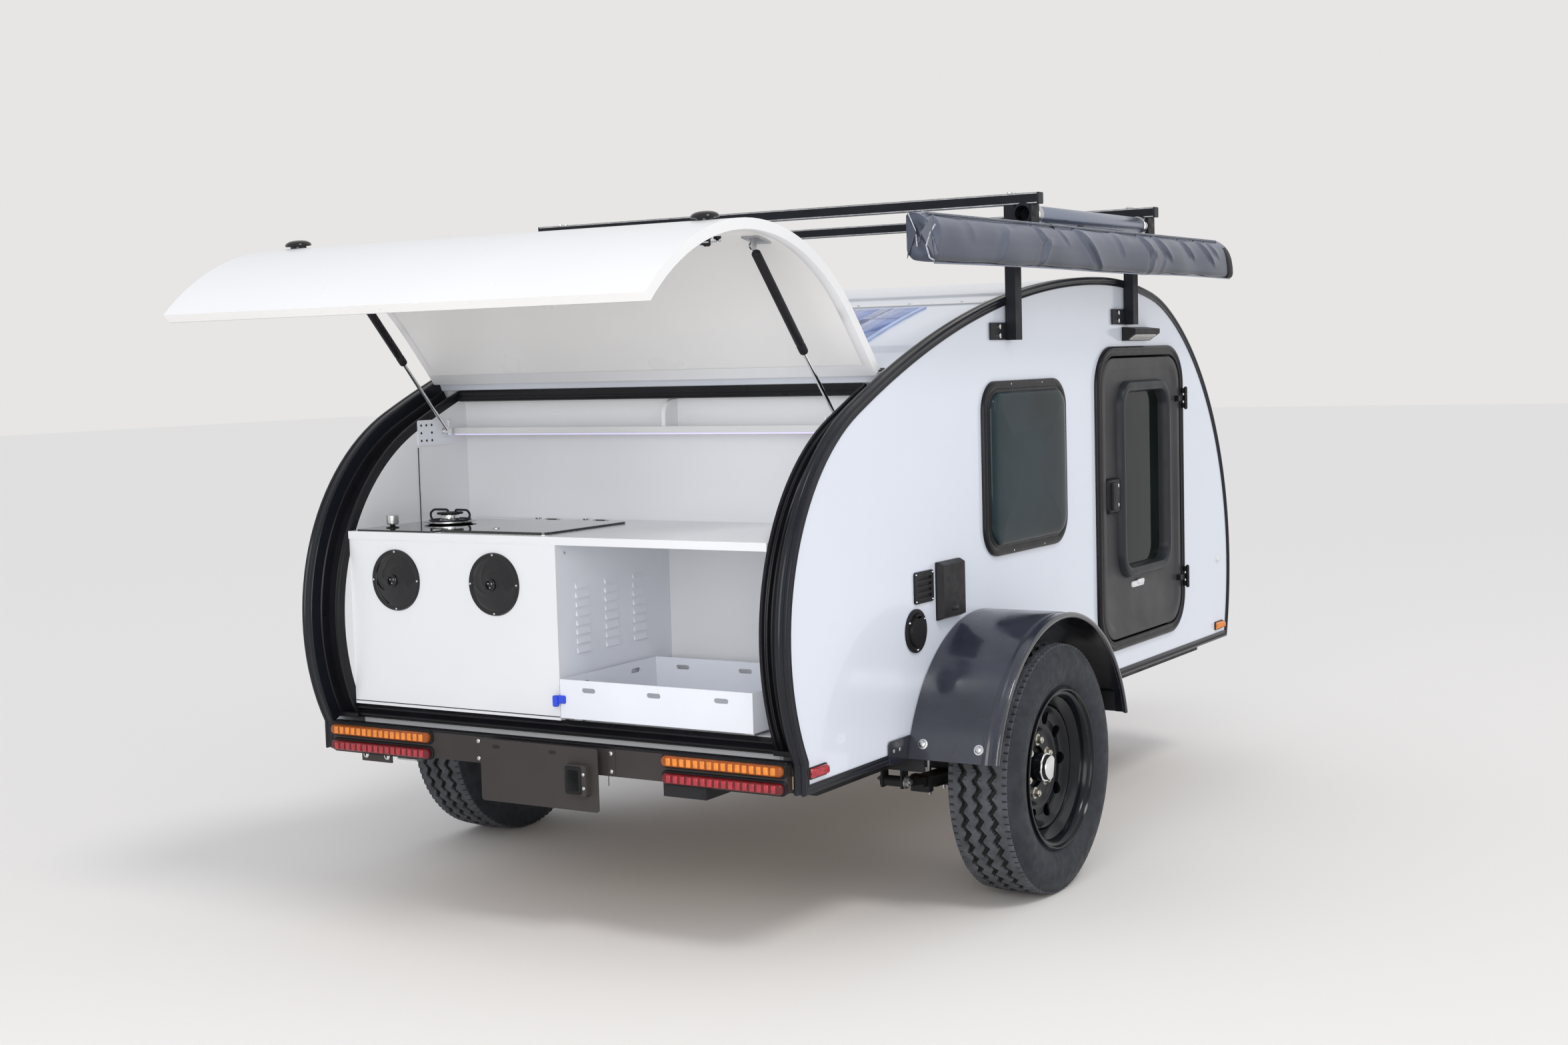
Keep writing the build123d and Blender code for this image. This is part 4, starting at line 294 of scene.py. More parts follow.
def smear(paint, size, low, high, stretch=None):
    tree = paint.node_tree
    span = tree.nodes.new("ShaderNodeMapRange")
    for socket, value in (("From Min", 0.3), ("From Max", 0.7), ("To Min", low), ("To Max", high)):
        span.inputs[socket].default_value = value
    tree.links.new(spots(tree, size, 5, stretch), span.inputs["Value"])
    tree.links.new(span.outputs["Result"], tree.nodes["Principled BSDF"].inputs["Roughness"])
    return paint


def grain(paint, size, height, stretch=None, detail=3):
    tree = paint.node_tree
    bump = tree.nodes.new("ShaderNodeBump")
    bump.inputs["Distance"].default_value = height / 1000
    tree.links.new(spots(tree, size, detail, stretch), bump.inputs["Height"])
    tree.links.new(bump.outputs["Normal"], tree.nodes["Principled BSDF"].inputs["Normal"])
    return paint


# name: base colour, roughness span, colour span, spot size, relief size and height, then shader extras
finishTable = {
    # skyTintWhite's blue cast is painted skylight on the shaded walls; warmLitWhite is the same white paint warmed as
    # painted sunlight and ground bounce
    "skyTintWhite": ((0.74, 0.775, 0.845), (0.15, 0.26), (0.975, 1.01), 700, (14, 0.05), {"Coat_Weight": 0.5}),
    "warmLitWhite": ((0.84, 0.835, 0.825), (0.26, 0.38), (0.98, 1.01), 600, (12, 0.05), {}),
    "boardWhite": ((0.80, 0.805, 0.82), (0.34, 0.48), (0.975, 1.01), 500, (1.4, 0.03), {}),
    "boardEdge": ((0.70, 0.70, 0.70), (0.36, 0.5), (0.97, 1.02), 300, (1.2, 0.03), {}),
    "floorBoard": ((0.42, 0.31, 0.20), (0.5, 0.62), (0.8, 1.15), 60, (4, 0.2), {}),
    "underPaint": ((0.013, 0.013, 0.015), (0.4, 0.65), (0.8, 1.4), 120, (2.5, 0.1), {"Specular_IOR_Level": 0.3}),
    "trimRubber": ((0.012, 0.013, 0.018), (0.16, 0.24), (0.92, 1.12), 160, (1.2, 0.006), {"Specular_IOR_Level": 0.26}),
    "sealRubber": ((0.009, 0.009, 0.012), (0.26, 0.38), (0.88, 1.2), 120, (1.2, 0.01), {"Specular_IOR_Level": 0.22}),
    "tyreRubber": ((0.020, 0.023, 0.030), (0.5, 0.75), (0.8, 1.3), 60, (1.1, 0.08), {"Specular_IOR_Level": 0.35}),
    "treadDust": ((0.070, 0.073, 0.084), (0.7, 0.9), (0.75, 1.3), 40, (1.6, 0.12), {}),
    "rimBlack": ((0.006, 0.007, 0.010), (0.12, 0.24), (0.85, 1.2), 120, (9, 0.02), {"Specular_IOR_Level": 0.26}),
    "rimDark": ((0.006, 0.006, 0.008), (0.4, 0.6), (0.85, 1.2), 90, (4, 0.03), {"Specular_IOR_Level": 0.2}),
    "fenderBlack": ((0.012, 0.013, 0.019), (0.10, 0.30), (0.8, 1.35), 170, (3, 0.015), {"Specular_IOR_Level": 0.6}),
    "rackBlack": ((0.012, 0.013, 0.017), (0.34, 0.5), (0.85, 1.3), 90, (0.9, 0.02), {"Specular_IOR_Level": 0.18}),
    "frameBlack": ((0.012, 0.012, 0.014), (0.24, 0.36), (0.88, 1.15), 90, (0.9, 0.01), {"Specular_IOR_Level": 0.2}),
    "doorCharcoal": ((0.046, 0.044, 0.046), (0.34, 0.48), (0.88, 1.12), 260, (0.8, 0.03), {"Specular_IOR_Level": 0.25}),
    "surroundBlack": ((0.022, 0.025, 0.029), (0.3, 0.42), (0.92, 1.1), 160, (0.8, 0.02), {"Specular_IOR_Level": 0.2}),
    "beadBlack": ((0.020, 0.022, 0.030), (0.10, 0.2), (0.9, 1.15), 160, (3, 0.01), {"Coat_Weight": 1.0}),
    "panelBrown": ((0.046, 0.039, 0.038), (0.4, 0.54), (0.92, 1.08), 160, (0.7, 0.03), {"Specular_IOR_Level": 0.25}),
    "plasticBlack": ((0.011, 0.011, 0.013), (0.34, 0.5), (0.85, 1.2), 60, (0.8, 0.02), {"Specular_IOR_Level": 0.2}),
    "glassBlack": ((0.007, 0.007, 0.008), (0.03, 0.09), (0.9, 1.1), 90, (60, 0.02), {"Coat_Weight": 0.5}),
    "glassEdge": ((0.012, 0.013, 0.015), (0.12, 0.2), (0.9, 1.1), 60, (30, 0.02), {}),
    "steelBright": ((0.62, 0.62, 0.63), (0.16, 0.32), (0.9, 1.05), 40, (3, 0.02), {"Metallic": 1}),
    "steelZinc": ((0.55, 0.56, 0.58), (0.3, 0.55), (0.72, 1.15), 18, (3, 0.06), {"Metallic": 1}),
    "brassZinc": ((0.72, 0.70, 0.62), (0.25, 0.4), (0.85, 1.1), 10, (2, 0.03), {"Metallic": 1}),
    "chrome": ((0.86, 0.86, 0.87), (0.03, 0.10), (0.95, 1.0), 40, (12, 0.01), {"Metallic": 1}),
    "tubeGrey": ((0.27, 0.30, 0.38), (0.24, 0.29), (0.98, 1.02), 300, (9, 0.002), {"Metallic": 0.8}),
    "trayWhite": ((0.78, 0.80, 0.85), (0.28, 0.42), (0.98, 1.01), 200, (1.0, 0.03), {}),
    "ventBlack": ((0.007, 0.007, 0.009), (0.05, 0.12), (0.9, 1.1), 50, (6, 0.01), {"Specular_IOR_Level": 0.45}),
    "amberLens": ((0.85, 0.25, 0.015), (0.10, 0.2), (0.8, 1.1), 16, (3, 0.05), {"Coat_Weight": 0.5}),
    # amberShade and redShade: darker copies of the lens colours, painted shade between the lamp bars
    "amberShade": ((0.34, 0.075, 0.008), (0.12, 0.22), (0.8, 1.15), 16, (3, 0.05), {}),
    "redShade": ((0.13, 0.006, 0.010), (0.12, 0.22), (0.75, 1.2), 16, (3, 0.05), {}),
    "redLens": ((0.40, 0.012, 0.025), (0.10, 0.2), (0.75, 1.2), 16, (3, 0.05), {"Coat_Weight": 0.5}),
    "paleLens": ((0.62, 0.62, 0.58), (0.2, 0.3), (0.9, 1.05), 12, (3, 0.05), {}),
    "bagVinyl": ((0.048, 0.056, 0.080), (0.20, 0.30), (0.92, 1.10), 160, (6, 0.02), {"Specular_IOR_Level": 0.45}),
    "zipGrey": ((0.42, 0.43, 0.46), (0.4, 0.6), (0.7, 1.3), 6, (1.2, 0.15), {}),
    "solarCell": ((0.16, 0.24, 0.52), (0.14, 0.26), (0.8, 1.25), 40, (8, 0.02), {"Coat_Weight": 0.5}),
    "solarSheet": ((0.42, 0.52, 0.78), (0.16, 0.26), (0.9, 1.1), 90, (5, 0.03), {}),
    "latchBlue": ((0.02, 0.06, 0.62), (0.3, 0.42), (0.9, 1.1), 30, (0.8, 0.04), {}),
    "clipWhite": ((0.78, 0.79, 0.80), (0.3, 0.4), (0.95, 1.02), 20, (0.8, 0.03), {}),
    # shadeAndSeamBlack: painted shade in the tyre grooves, holes, slots and keyhole, and the dark seam lines
    "shadeAndSeamBlack": ((0.006, 0.006, 0.006), (0.6, 0.8), (0.8, 1.2), 20, (1, 0.05), {}),
}
finishes = {}
for name, (base, rough, tone, size, relief, extra) in finishTable.items():
    paint = newFinish(name, base, sum(rough) / 2, **extra)
    finishes[name] = grain(smear(vary(paint, size, *tone), size * 0.4, *rough), *relief)


def skyShadeByFacing(paint, low, high):
    # painted light: darker below as painted shade, paler where the surface looks up as painted skylight
    tree = paint.node_tree
    shader = tree.nodes["Principled BSDF"]
    source = shader.inputs["Base Color"].links[0].from_socket
    around = tree.nodes.new("ShaderNodeNewGeometry")
    split = tree.nodes.new("ShaderNodeSeparateXYZ")
    span = tree.nodes.new("ShaderNodeMapRange")
    for socket, value in (("From Min", -0.5), ("From Max", 0.8), ("To Min", low), ("To Max", high)):
        span.inputs[socket].default_value = value
    scale = tree.nodes.new("ShaderNodeVectorMath")
    scale.operation = "SCALE"
    tree.links.new(around.outputs["Normal"], split.inputs["Vector"])
    tree.links.new(split.outputs["Z"], span.inputs["Value"])
    tree.links.new(source, scale.inputs[0])
    tree.links.new(span.outputs["Result"], scale.inputs["Scale"])
    tree.links.new(scale.outputs["Vector"], shader.inputs["Base Color"])
    return paint


# the bag and the fenders get painted skylight on top and painted shade below
skyShadeByFacing(finishes["bagVinyl"], 0.6, 2.1)
skyShadeByFacing(finishes["fenderBlack"], 0.7, 2.2)


def addPane(name, tint, through):
    # smoked acrylic: a clear sheet over a dark tint, with slow light and dark patches of painted reflection
    paint = newFinish(name, tint, 0.05, Transmission_Weight=through, IOR=1.49, Specular_IOR_Level=0.14)
    finishes[name] = vary(smear(paint, 150, 0.03, 0.08), 420, 0.6, 1.7)


addPane("paneSmoked", (0.012, 0.023, 0.027), 0.10)
addPane("paneDark", (0.004, 0.007, 0.006), 0.06)
ledGlow = newFinish("ledGlow", (0.8, 0.75, 1.0), 0.4, Emission_Color=(0.72, 0.66, 1.0, 1), Emission_Strength=0.25)
finishes["ledGlow"] = grain(ledGlow, 6, 0.2)
print("finishes mixed:", len(finishes))


# shape tools: a shape is points in millimetres and faces
def join(*shapes):
    points, faces, base = [], [], 0
    for shape in shapes:
        part = np.asarray(shape[0], float).reshape(-1, 3)
        points.append(part)
        faces += [tuple(i + base for i in face) for face in shape[1]]
        base += len(part)
    return np.concatenate(points), faces


def gridShape(points, ringAcross=False, ringAlong=False):
    rows, columns = points.shape[:2]
    rowStops = rows if ringAlong else rows - 1
    columnStops = columns if ringAcross else columns - 1
    i, j = np.meshgrid(np.arange(rowStops), np.arange(columnStops), indexing="ij")
    a = i * columns + j
    b = i * columns + (j + 1) % columns
    c = ((i + 1) % rows) * columns + (j + 1) % columns
    d = ((i + 1) % rows) * columns + j
    faces = np.stack([a, b, c, d], axis=-1).reshape(-1, 4)
    return points.reshape(-1, 3), [tuple(f) for f in faces.tolist()]


def loft(loops, capFirst=True, capLast=True, ring=False):
    points, faces = gridShape(np.asarray(loops, float), ringAcross=True, ringAlong=ring)
    count = len(loops[0])
    if not ring:
        if capFirst:
            faces.append(tuple(range(count - 1, -1, -1)))
        if capLast:
            faces.append(tuple(range(len(points) - count, len(points))))
    return points, faces


def mirrorY(shape):
    return shape[0] * np.array([1, -1, 1]), [tuple(reversed(f)) for f in shape[1]]


def unit(v):
    v = np.asarray(v, float)
    return v / np.linalg.norm(v)


class Spot:
    # a place with two directions across and one out
    def __init__(self, origin, across, up):
        self.origin = np.asarray(origin, float)
        self.across = unit(across)
        self.up = unit(up)
        self.out = np.cross(self.across, self.up)

    def put(self, flat, depth=0):
        flat = np.asarray(flat, float).reshape(-1, 2)
        return self.origin + np.outer(flat[:, 0], self.across) + np.outer(flat[:, 1], self.up) + depth * self.out

    def moved(self, a, b, depth=0):
        return Spot(self.put([(a, b)], depth)[0], self.across, self.up)


def wallSpot(station, height, out=0):
    # on the right wall, facing right
    return Spot((station, -bodyHalf - out, height), (1, 0, 0), (0, 0, 1))


def rearSpot(y, height, x):
    # facing the rear, with the right side of the trailer on the right
    return Spot((x, y, height), (0, -1, 0), (0, 0, 1))


def topSpot(x, y, height):
    return Spot((x, y, height), (1, 0, 0), (0, 1, 0))


def facing(origin, out, up):
    # any place, by the way it faces and roughly which way is up
    out, up = unit(out), np.asarray(up, float)
    up = unit(up - np.dot(up, out) * out)
    return Spot(origin, np.cross(up, out), up)


def roundedLoop(width, height, radius, steps=6):
    radius = max(0.05, min(radius, width / 2 - 0.01, height / 2 - 0.01))
    loop = []
    for k, (sx, sy) in enumerate(((1, 1), (-1, 1), (-1, -1), (1, -1))):
        for t in np.linspace(0, math.pi / 2, steps + 1):
            turn = t + k * math.pi / 2
            loop.append((
                sx * (width / 2 - radius) + radius * math.cos(turn),
                sy * (height / 2 - radius) + radius * math.sin(turn),
            ))
    return np.array(loop)


def plate(spot, width, height, radius, layers, steps=6, capFirst=True, capLast=True):
    # a stack of rounded rectangles: each layer is (inset, out) or (inset, out, sideways, upward)
    loops = []
    for layer in layers:
        inset, out = layer[:2]
        a, b = layer[2:] if len(layer) > 2 else (0, 0)
        loop = roundedLoop(width - 2 * inset, height - 2 * inset, radius - inset, steps)
        loops.append(spot.put(loop + np.array([a, b]), out))
    return loft(loops, capFirst, capLast)


def softPlate(spot, width, height, radius, depth, edge=2, steps=6):
    layers = [(0, 0), (0, depth - edge), (edge * 0.3, depth - edge * 0.3), (edge, depth)]
    return plate(spot, width, height, radius, layers, steps)


def ringPlate(spot, width, height, radius, layers, steps=8):
    loops = []
    for inset, out in layers:
        loops.append(spot.put(roundedLoop(width - 2 * inset, height - 2 * inset, radius - inset, steps), out))
    return loft(loops, ring=True)


def lathe(spot, profile, segments=32):
    # profile of (radius, out); a zero radius closes the end
    turns = np.linspace(0, 2 * math.pi, segments, endpoint=False)
    loops = [
        spot.put(np.stack([max(r, 0.01) * np.cos(turns), max(r, 0.01) * np.sin(turns)], axis=1), out)
        for r, out in profile
    ]
    return loft(loops, profile[0][0] < 0.5, profile[-1][0] < 0.5)


def washerRing(spot, profile, segments=32):
    turns = np.linspace(0, 2 * math.pi, segments, endpoint=False)
    loops = [spot.put(np.stack([r * np.cos(turns), r * np.sin(turns)], axis=1), out) for r, out in profile]
    return loft(loops, ring=True)


def screw(spot, radius=4, height=2):
    # pan head with a shallow recess
    profile = [
        (radius, 0), (radius, height * 0.35), (radius * 0.8, height * 0.8), (radius * 0.5, height),
        (radius * 0.32, height), (radius * 0.26, height * 0.45), (0, height * 0.45),
    ]
    return lathe(spot, profile, 14)


def hexNut(spot, radius=9, height=8, stud=0):
    parts = [
        lathe(spot, [(radius * 1.5, 0), (radius * 1.5, 1.6), (0, 1.6)], 20),
        lathe(spot, [(radius, 1), (radius, height * 0.85), (radius * 0.86, height), (0, height)], 6),
    ]
    if stud:
        bolt = [(radius * 0.5, height - 1), (radius * 0.5, height + stud - 1), (0, height + stud)]
        parts.append(lathe(spot, bolt, 14))
    return join(*parts)


def tube(path, radius, sides=10, closed=False):
    path = np.asarray(path, float)
    count = len(path)
    tangents = np.zeros_like(path)
    for k in range(count):
        if closed:
            tangents[k] = path[(k + 1) % count] - path[k - 1]
        else:
            tangents[k] = path[min(k + 1, count - 1)] - path[max(k - 1, 0)]
        tangents[k] /= np.linalg.norm(tangents[k])
    start = np.cross(tangents[0], (0, 0, 1))
    if np.linalg.norm(start) < 0.1:
        start = np.cross(tangents[0], (0, 1, 0))
    normal = unit(start)
    turns = np.linspace(0, 2 * math.pi, sides, endpoint=False)
    loops = []
    for k in range(count):
        normal = unit(normal - np.dot(normal, tangents[k]) * tangents[k])
        side = np.cross(tangents[k], normal)
        r = radius[k] if np.ndim(radius) else radius
        loops.append(path[k] + r * (np.outer(np.cos(turns), normal) + np.outer(np.sin(turns), side)))
    return loft(loops, ring=closed)


def bentPath(points, radius, steps=5):
    # a run of straight lengths with rounded corners
    points = [np.asarray(p, float) for p in points]
    path = [points[0]]
    for before, corner, after in zip(points, points[1:], points[2:]):
        a, b = unit(before - corner), unit(after - corner)
        reach = min(radius, 0.45 * np.linalg.norm(before - corner), 0.45 * np.linalg.norm(after - corner))
        for t in np.linspace(0, 1, steps + 1):
            path.append(corner + a * reach * (1 - t) ** 2 + b * reach * t ** 2)
    path.append(points[-1])
    return np.array(path)


def sweepRun(run, profile, closed=False, ringProfile=True):
    # run of (station, height, outward x, outward z), profile of (outward, y)
    profile = np.asarray(profile, float)
    loops = []
    for station, height, nx, nz in run:
        loops.append(np.stack([
            station + nx * profile[:, 0], profile[:, 1], height + nz * profile[:, 0],
        ], axis=1))
    if ringProfile:
        return loft(loops, ring=closed)
    return gridShape(np.asarray(loops), ringAlong=closed)


def box(low, high):
    (x0, y0, z0), (x1, y1, z1) = low, high
    spot = topSpot((x0 + x1) / 2, (y0 + y1) / 2, z0)
    edge = min(1.2, 0.2 * min(x1 - x0, y1 - y0, z1 - z0))
    return plate(spot, x1 - x0, y1 - y0, edge, [(edge, 0), (0, edge), (0, z1 - z0 - edge), (edge, z1 - z0)], steps=1)


def newObject(name, points, faces):
    # a mesh with its faces turned outwards, linked to the scene
    mesh = bpy.data.meshes.new(name)
    mesh.from_pydata([tuple(p) for p in np.asarray(points).tolist()], [], faces)
    work = bmesh.new()
    work.from_mesh(mesh)
    bmesh.ops.recalc_face_normals(work, faces=work.faces)
    work.to_mesh(mesh)
    work.free()
    holder = bpy.data.objects.new(name, mesh)
    bpy.context.scene.collection.objects.link(holder)
    return holder


def addPiece(name, shapes, finish, body="trailer", replaces=(), sharp=32):
    points, faces = join(*shapes) if isinstance(shapes, list) else shapes
    piece = newObject(name, points / 1000 + np.array([axleX, 0, 0]), faces)
    mesh = piece.data
    mesh.polygons.foreach_set("use_smooth", [True] * len(mesh.polygons))
    mesh.set_sharp_from_angle(angle=math.radians(sharp))
    mesh.materials.append(finishes[finish])
    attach(piece, body)
    if replaces:
        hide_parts(*replaces)
    return piece


def bothSides(name, shapes, finish, bodies=("trailer", "trailer"), replaces=((), ()), sharp=32):
    # drawn on the right, mirrored to the left
    shape = join(*shapes) if isinstance(shapes, list) else shapes
    right = addPiece(name + "Right", shape, finish, bodies[0], replaces[0], sharp)
    left = addPiece(name + "Left", mirrorY(shape), finish, bodies[1], replaces[1], sharp)
    return right, left


print("tools ready")

# solids that stay, each with its finish
nodeFinishes = {
    # walls and roof in the blue painted-skylight copy of the white paint, the hatch in the warm painted-sunlight copy
    "side_wall_right": "skyTintWhite", "side_wall_left": "skyTintWhite", "roof_skin": "skyTintWhite", "floor": "floorBoard",
    "bulkhead": "boardWhite", "galley_liners": "boardWhite", "galley_deck": "boardWhite", "counter": "boardWhite",
    "cabinet_front": "boardWhite", "louvre_panel": "trayWhite", "shelf": "boardWhite", "tray": "trayWhite",
    "tray_slides": "steelZinc", "sink_bowl": "steelBright", "hatch": "warmLitWhite", "hatch_hinge": "rackBlack",
    "strut_tube_right": "plasticBlack", "strut_tube_left": "plasticBlack", "strut_rod_right": "chrome",
    "strut_rod_left": "chrome", "strut_wall_brackets": "trayWhite", "strut_hatch_lugs": "steelZinc",
    "axle_beam": "underPaint", "leaf_springs": "underPaint", "chassis_frame": "underPaint", "drawbar": "underPaint",
    "coupler": "steelZinc", "jack_sleeve": "steelZinc", "jack_tube": "steelBright", "jockey_fork": "steelZinc",
    "rear_panel": "panelBrown", "plate_holder": "panelBrown", "wall_fittings": "plasticBlack",
    "porch_lights": "plasticBlack", "rack_posts": "rackBlack", "crossbars": "rackBlack", "door_glass_right": "paneDark",
    "door_glass_left": "paneDark", "hatch_latches": "plasticBlack", "rack_tube": "rackBlack",
    "edge_trims": "trimRubber", "galley_seals": "sealRubber", "round_vents": "ventBlack", "hob": "glassBlack",
    "sink_lid": "glassBlack", "door_frames": "frameBlack", "door_right": "doorCharcoal", "door_left": "doorCharcoal",
    "side_windows": "paneSmoked", "tyre_right": "tyreRubber", "tyre_left": "tyreRubber", "rim_right": "rimBlack",
    "rim_left": "rimBlack", "fenders": "fenderBlack", "jockey_wheel": "tyreRubber", "rear_lamps": "amberLens",
    "marker_lamps": "amberLens", "awning_bag": "bagVinyl", "solar_panel": "solarSheet", "safety_chain": "steelZinc",
}
for nodeName, finishName in nodeFinishes.items():
    mesh = nodes[nodeName].data
    mesh.materials.clear()
    mesh.materials.append(finishes[finishName])
print("solids painted")

# tyres: three zigzag grooves, sipes, shoulder notches and ringed sidewalls
tyreLook = {
    "radius": 328, "middleY": -886, "treadHalf": 79, "shoulder": (85, 312), "belly": (99, 262), "bead": (80, 212),
    "seat": 194, "segments": 600, "pitches": 50, "grooves": (-41, 0, 41), "zigzag": 7.5, "grooveHalf": 6.8,
    "grooveDepth": 10, "sipeDepth": 2.2, "notchDepth": 3, "rings": ((232, 0.9), (268, 0.5), (300, 1.2), (306, -0.8)),
    "crownDrop": 4, "shoulderTop": (84, 316), "notchFrom": (66, 313), "sipeHalf": 0.045, "notchHalf": 0.11,
    # sipes: place in the pitch, side of the groove, length
    "sipes": ((0.0, -1, 19), (0.5, 1, 19), (0.27, -1, 13), (0.77, 1, 13)),
}


def arcThrough(a, b, c, count):
    # points on the circle through three places
    (ax, ay), (bx, by), (cx, cy) = a, b, c
    d = 2 * (ax * (by - cy) + bx * (cy - ay) + cx * (ay - by))
    ux = ((ax**2 + ay**2) * (by - cy) + (bx**2 + by**2) * (cy - ay) + (cx**2 + cy**2) * (ay - by)) / d
    uy = ((ax**2 + ay**2) * (cx - bx) + (bx**2 + by**2) * (ax - cx) + (cx**2 + cy**2) * (bx - ax)) / d
    radius = math.hypot(ax - ux, ay - uy)
    first = math.atan2(ay - uy, ax - ux)
    swing = math.atan2(cy - uy, cx - ux) - first
    swing = (swing + math.pi) % (2 * math.pi) - math.pi
    turns = first + swing * np.linspace(0, 1, count)
    return [(ux + radius * math.cos(t), uy + radius * math.sin(t)) for t in turns]


def tyreShape(look):
    side = arcThrough(look["bead"], look["belly"], look["shoulder"], 22)
    side = [(y + sum(h * math.exp(-((r - ring) / 1.8) ** 2) for ring, h in look["rings"]), r) for y, r in side]
    half, drop = look["treadHalf"], look["crownDrop"]
    outerY, outerR = look["shoulderTop"]
    shoulder = list(zip(np.linspace(outerY, half, 4), np.linspace(outerR, look["radius"] - drop, 4)))
    treadY = np.linspace(half - 1, -half + 1, 76)
    tread = [(y, look["radius"] - drop * (y / half) ** 2) for y in treadY]
    mirrored = [(-y, r) for y, r in reversed(side + shoulder)]
    inner = [(-look["bead"][0], look["seat"]), (look["bead"][0], look["seat"])]
    profile = np.array(side + shoulder + tread + mirrored + inner)
    turns = np.linspace(0, 2 * math.pi, look["segments"], endpoint=False)
    y = profile[:, 0][None, :].repeat(len(turns), 0)
    r = profile[:, 1][None, :].repeat(len(turns), 0)
    phase = (turns / (2 * math.pi) * look["pitches"])[:, None]
    wave = 2 * np.abs(2 * (phase % 1) - 1) - 1
    onTread = (np.abs(y) <= half) & (r > look["radius"] - 6)
    cut = np.zeros_like(r)
    for groove in look["grooves"]:
        off = np.abs(y - groove - wave * look["zigzag"])
        cut = np.maximum(cut, look["grooveDepth"] * np.clip((look["grooveHalf"] - off) / 1.6, 0, 1))
    for shift, side, reach in look["sipes"]:
        for groove in look["grooves"]:
            gap = (y - groove - wave * look["zigzag"]) * side
            near = np.abs((phase + shift + 0.5 + gap * 0.006) % 1 - 0.5) < look["sipeHalf"]
            cut = np.maximum(cut, np.where(near & (gap > 0) & (gap < reach), look["sipeDepth"], 0))
    cut = np.where(onTread, cut, 0)
    notchY, notchR = look["notchFrom"]
    onShoulder = (np.abs(y) > notchY) & (r > notchR)
    notch = np.abs((2 * phase + 0.25) % 1 - 0.5) < look["notchHalf"]
    cut = np.maximum(cut, np.where(onShoulder & notch, look["notchDepth"], 0))
    r = r - cut
    x = r * np.cos(turns)[:, None]
    z = r * np.sin(turns)[:, None]
    points = np.stack([x, look["middleY"] - y, look["radius"] + z], axis=-1)
    return gridShape(points, ringAcross=True, ringAlong=True)


def dressFaces(piece, finishNames, choose):
    # extra finishes by place: choose gets centres and normals about the wheel's middle, in mm
    mesh = piece.data
    for name in finishNames:
        mesh.materials.append(finishes[name])
    centres = np.empty(len(mesh.polygons) * 3)
    normals = np.empty(len(mesh.polygons) * 3)
    mesh.polygons.foreach_get("center", centres)
    mesh.polygons.foreach_get("normal", normals)
    centres = (centres.reshape(-1, 3) - (axleX, 0, 0)) * 1000
    side = np.sign(centres[:, 1])
    out = side * centres[:, 1] + tyreLook["middleY"]
    reach = np.hypot(centres[:, 0], centres[:, 2] - tyreLook["radius"])
    chosen = choose(out, reach, side * normals.reshape(-1, 3)[:, 1])
    mesh.polygons.foreach_set("material_index", chosen.astype(np.int32))


def tyreZones(out, reach, facingOut):
    # dusty tread, grooves in painted shade, plain sidewalls
    half, radius = tyreLook["treadHalf"], tyreLook["radius"]
    depth = radius - tyreLook["crownDrop"] * (np.minimum(np.abs(out), half) / half) ** 2 - reach
    top = (np.abs(out) < half + 5) & (depth < 9)
    return np.where(top & (depth < 3), 1, np.where((np.abs(out) < half) & (depth >= 3) & (depth < 14), 2, 0))


wheelBodies = ("right_wheel", "left_wheel")
tyreNodes = (("tyre_right",), ("tyre_left",))
tyres = bothSides("tyre", tyreShape(tyreLook), "tyreRubber", wheelBodies, tyreNodes, 28)
for piece in tyres:
    dressFaces(piece, ("treadDust", "shadeAndSeamBlack"), tyreZones)
print("tyres cut")

# rims: rolled lips, stepped barrel, domed disc with ten holes, hub, nuts and cap
rimLook = {
    "holeCircle": 128, "holeRadius": 17, "holes": 10, "nutCircle": 69.6, "nuts": 6, "nutTurn": 21, "nutOut": 13.6,
    "nutSize": (10.5, 14, 4), "valve": (174, 0.6, 46), "darkBehind": 12, "darkRing": (60, 167),
    "lip": [(207, 84), (209, 86), (209.5, 88.5), (207.5, 90.5), (204, 90), (202, 87)],
    "barrel": [(200, 82), (193, 79), (189.5, 74), (188.5, 64), (186.5, 57), (176, 50), (168, 44), (164.5, 39),
               (164, 30)],
    "disc": [(162.5, 30), (162, 36), (160, 39), (157, 39.5), (154, 38), (150, 34), (145, 29), (140, 25), (134, 22.8),
             (128, 22), (112, 22), (104, 21.4), (98, 18.5), (93, 15), (89, 14), (58, 14), (55, 13), (54, 11)],
    "back": [(54, 9), (88, 9), (97, 14), (112, 17), (134, 17.5), (146, 24), (155, 33), (158.5, 34.5), (166, 26),
             (166, -40), (184, -60), (188, -78), (202, -84), (205, -88), (209, -88), (209, -84), (196, -79),
             (192.5, -58), (172, -40), (170, 38), (190, 58), (194, 79)],
    "hub": [(0, -41), (110, -41), (110, 2), (56, 3), (54, 4), (40, 4), (37, 5), (36.5, 41), (34.5, 42), (34, 44),
            (0, 44)],
    "cap": [(33, 41), (38.4, 41), (38.4, 43.5), (37, 44.5), (34, 44.6), (33.4, 46), (33, 53), (31.5, 56), (28, 57.4),
            (0, 58)],
}
wheelSpot = Spot((0, tyreLook["middleY"], tyreLook["radius"]), (1, 0, 0), (0, 0, 1))


def cutWith(shape, cutters):
    # boolean difference, worked out here and kept as plain points and faces
    holders = [newObject("cutWork", *work) for work in (shape, join(*cutters))]
    step = holders[0].modifiers.new("cut", "BOOLEAN")
    step.operation = "DIFFERENCE"
    step.solver = "EXACT"
    step.object = holders[1]
    graph = bpy.context.evaluated_depsgraph_get()
    result = bpy.data.meshes.new_from_object(holders[0].evaluated_get(graph))
    points = np.array([v.co[:] for v in result.vertices])
    faces = [tuple(p.vertices) for p in result.polygons]
    for holder in holders:
        bpy.data.objects.remove(holder)
    return points, faces


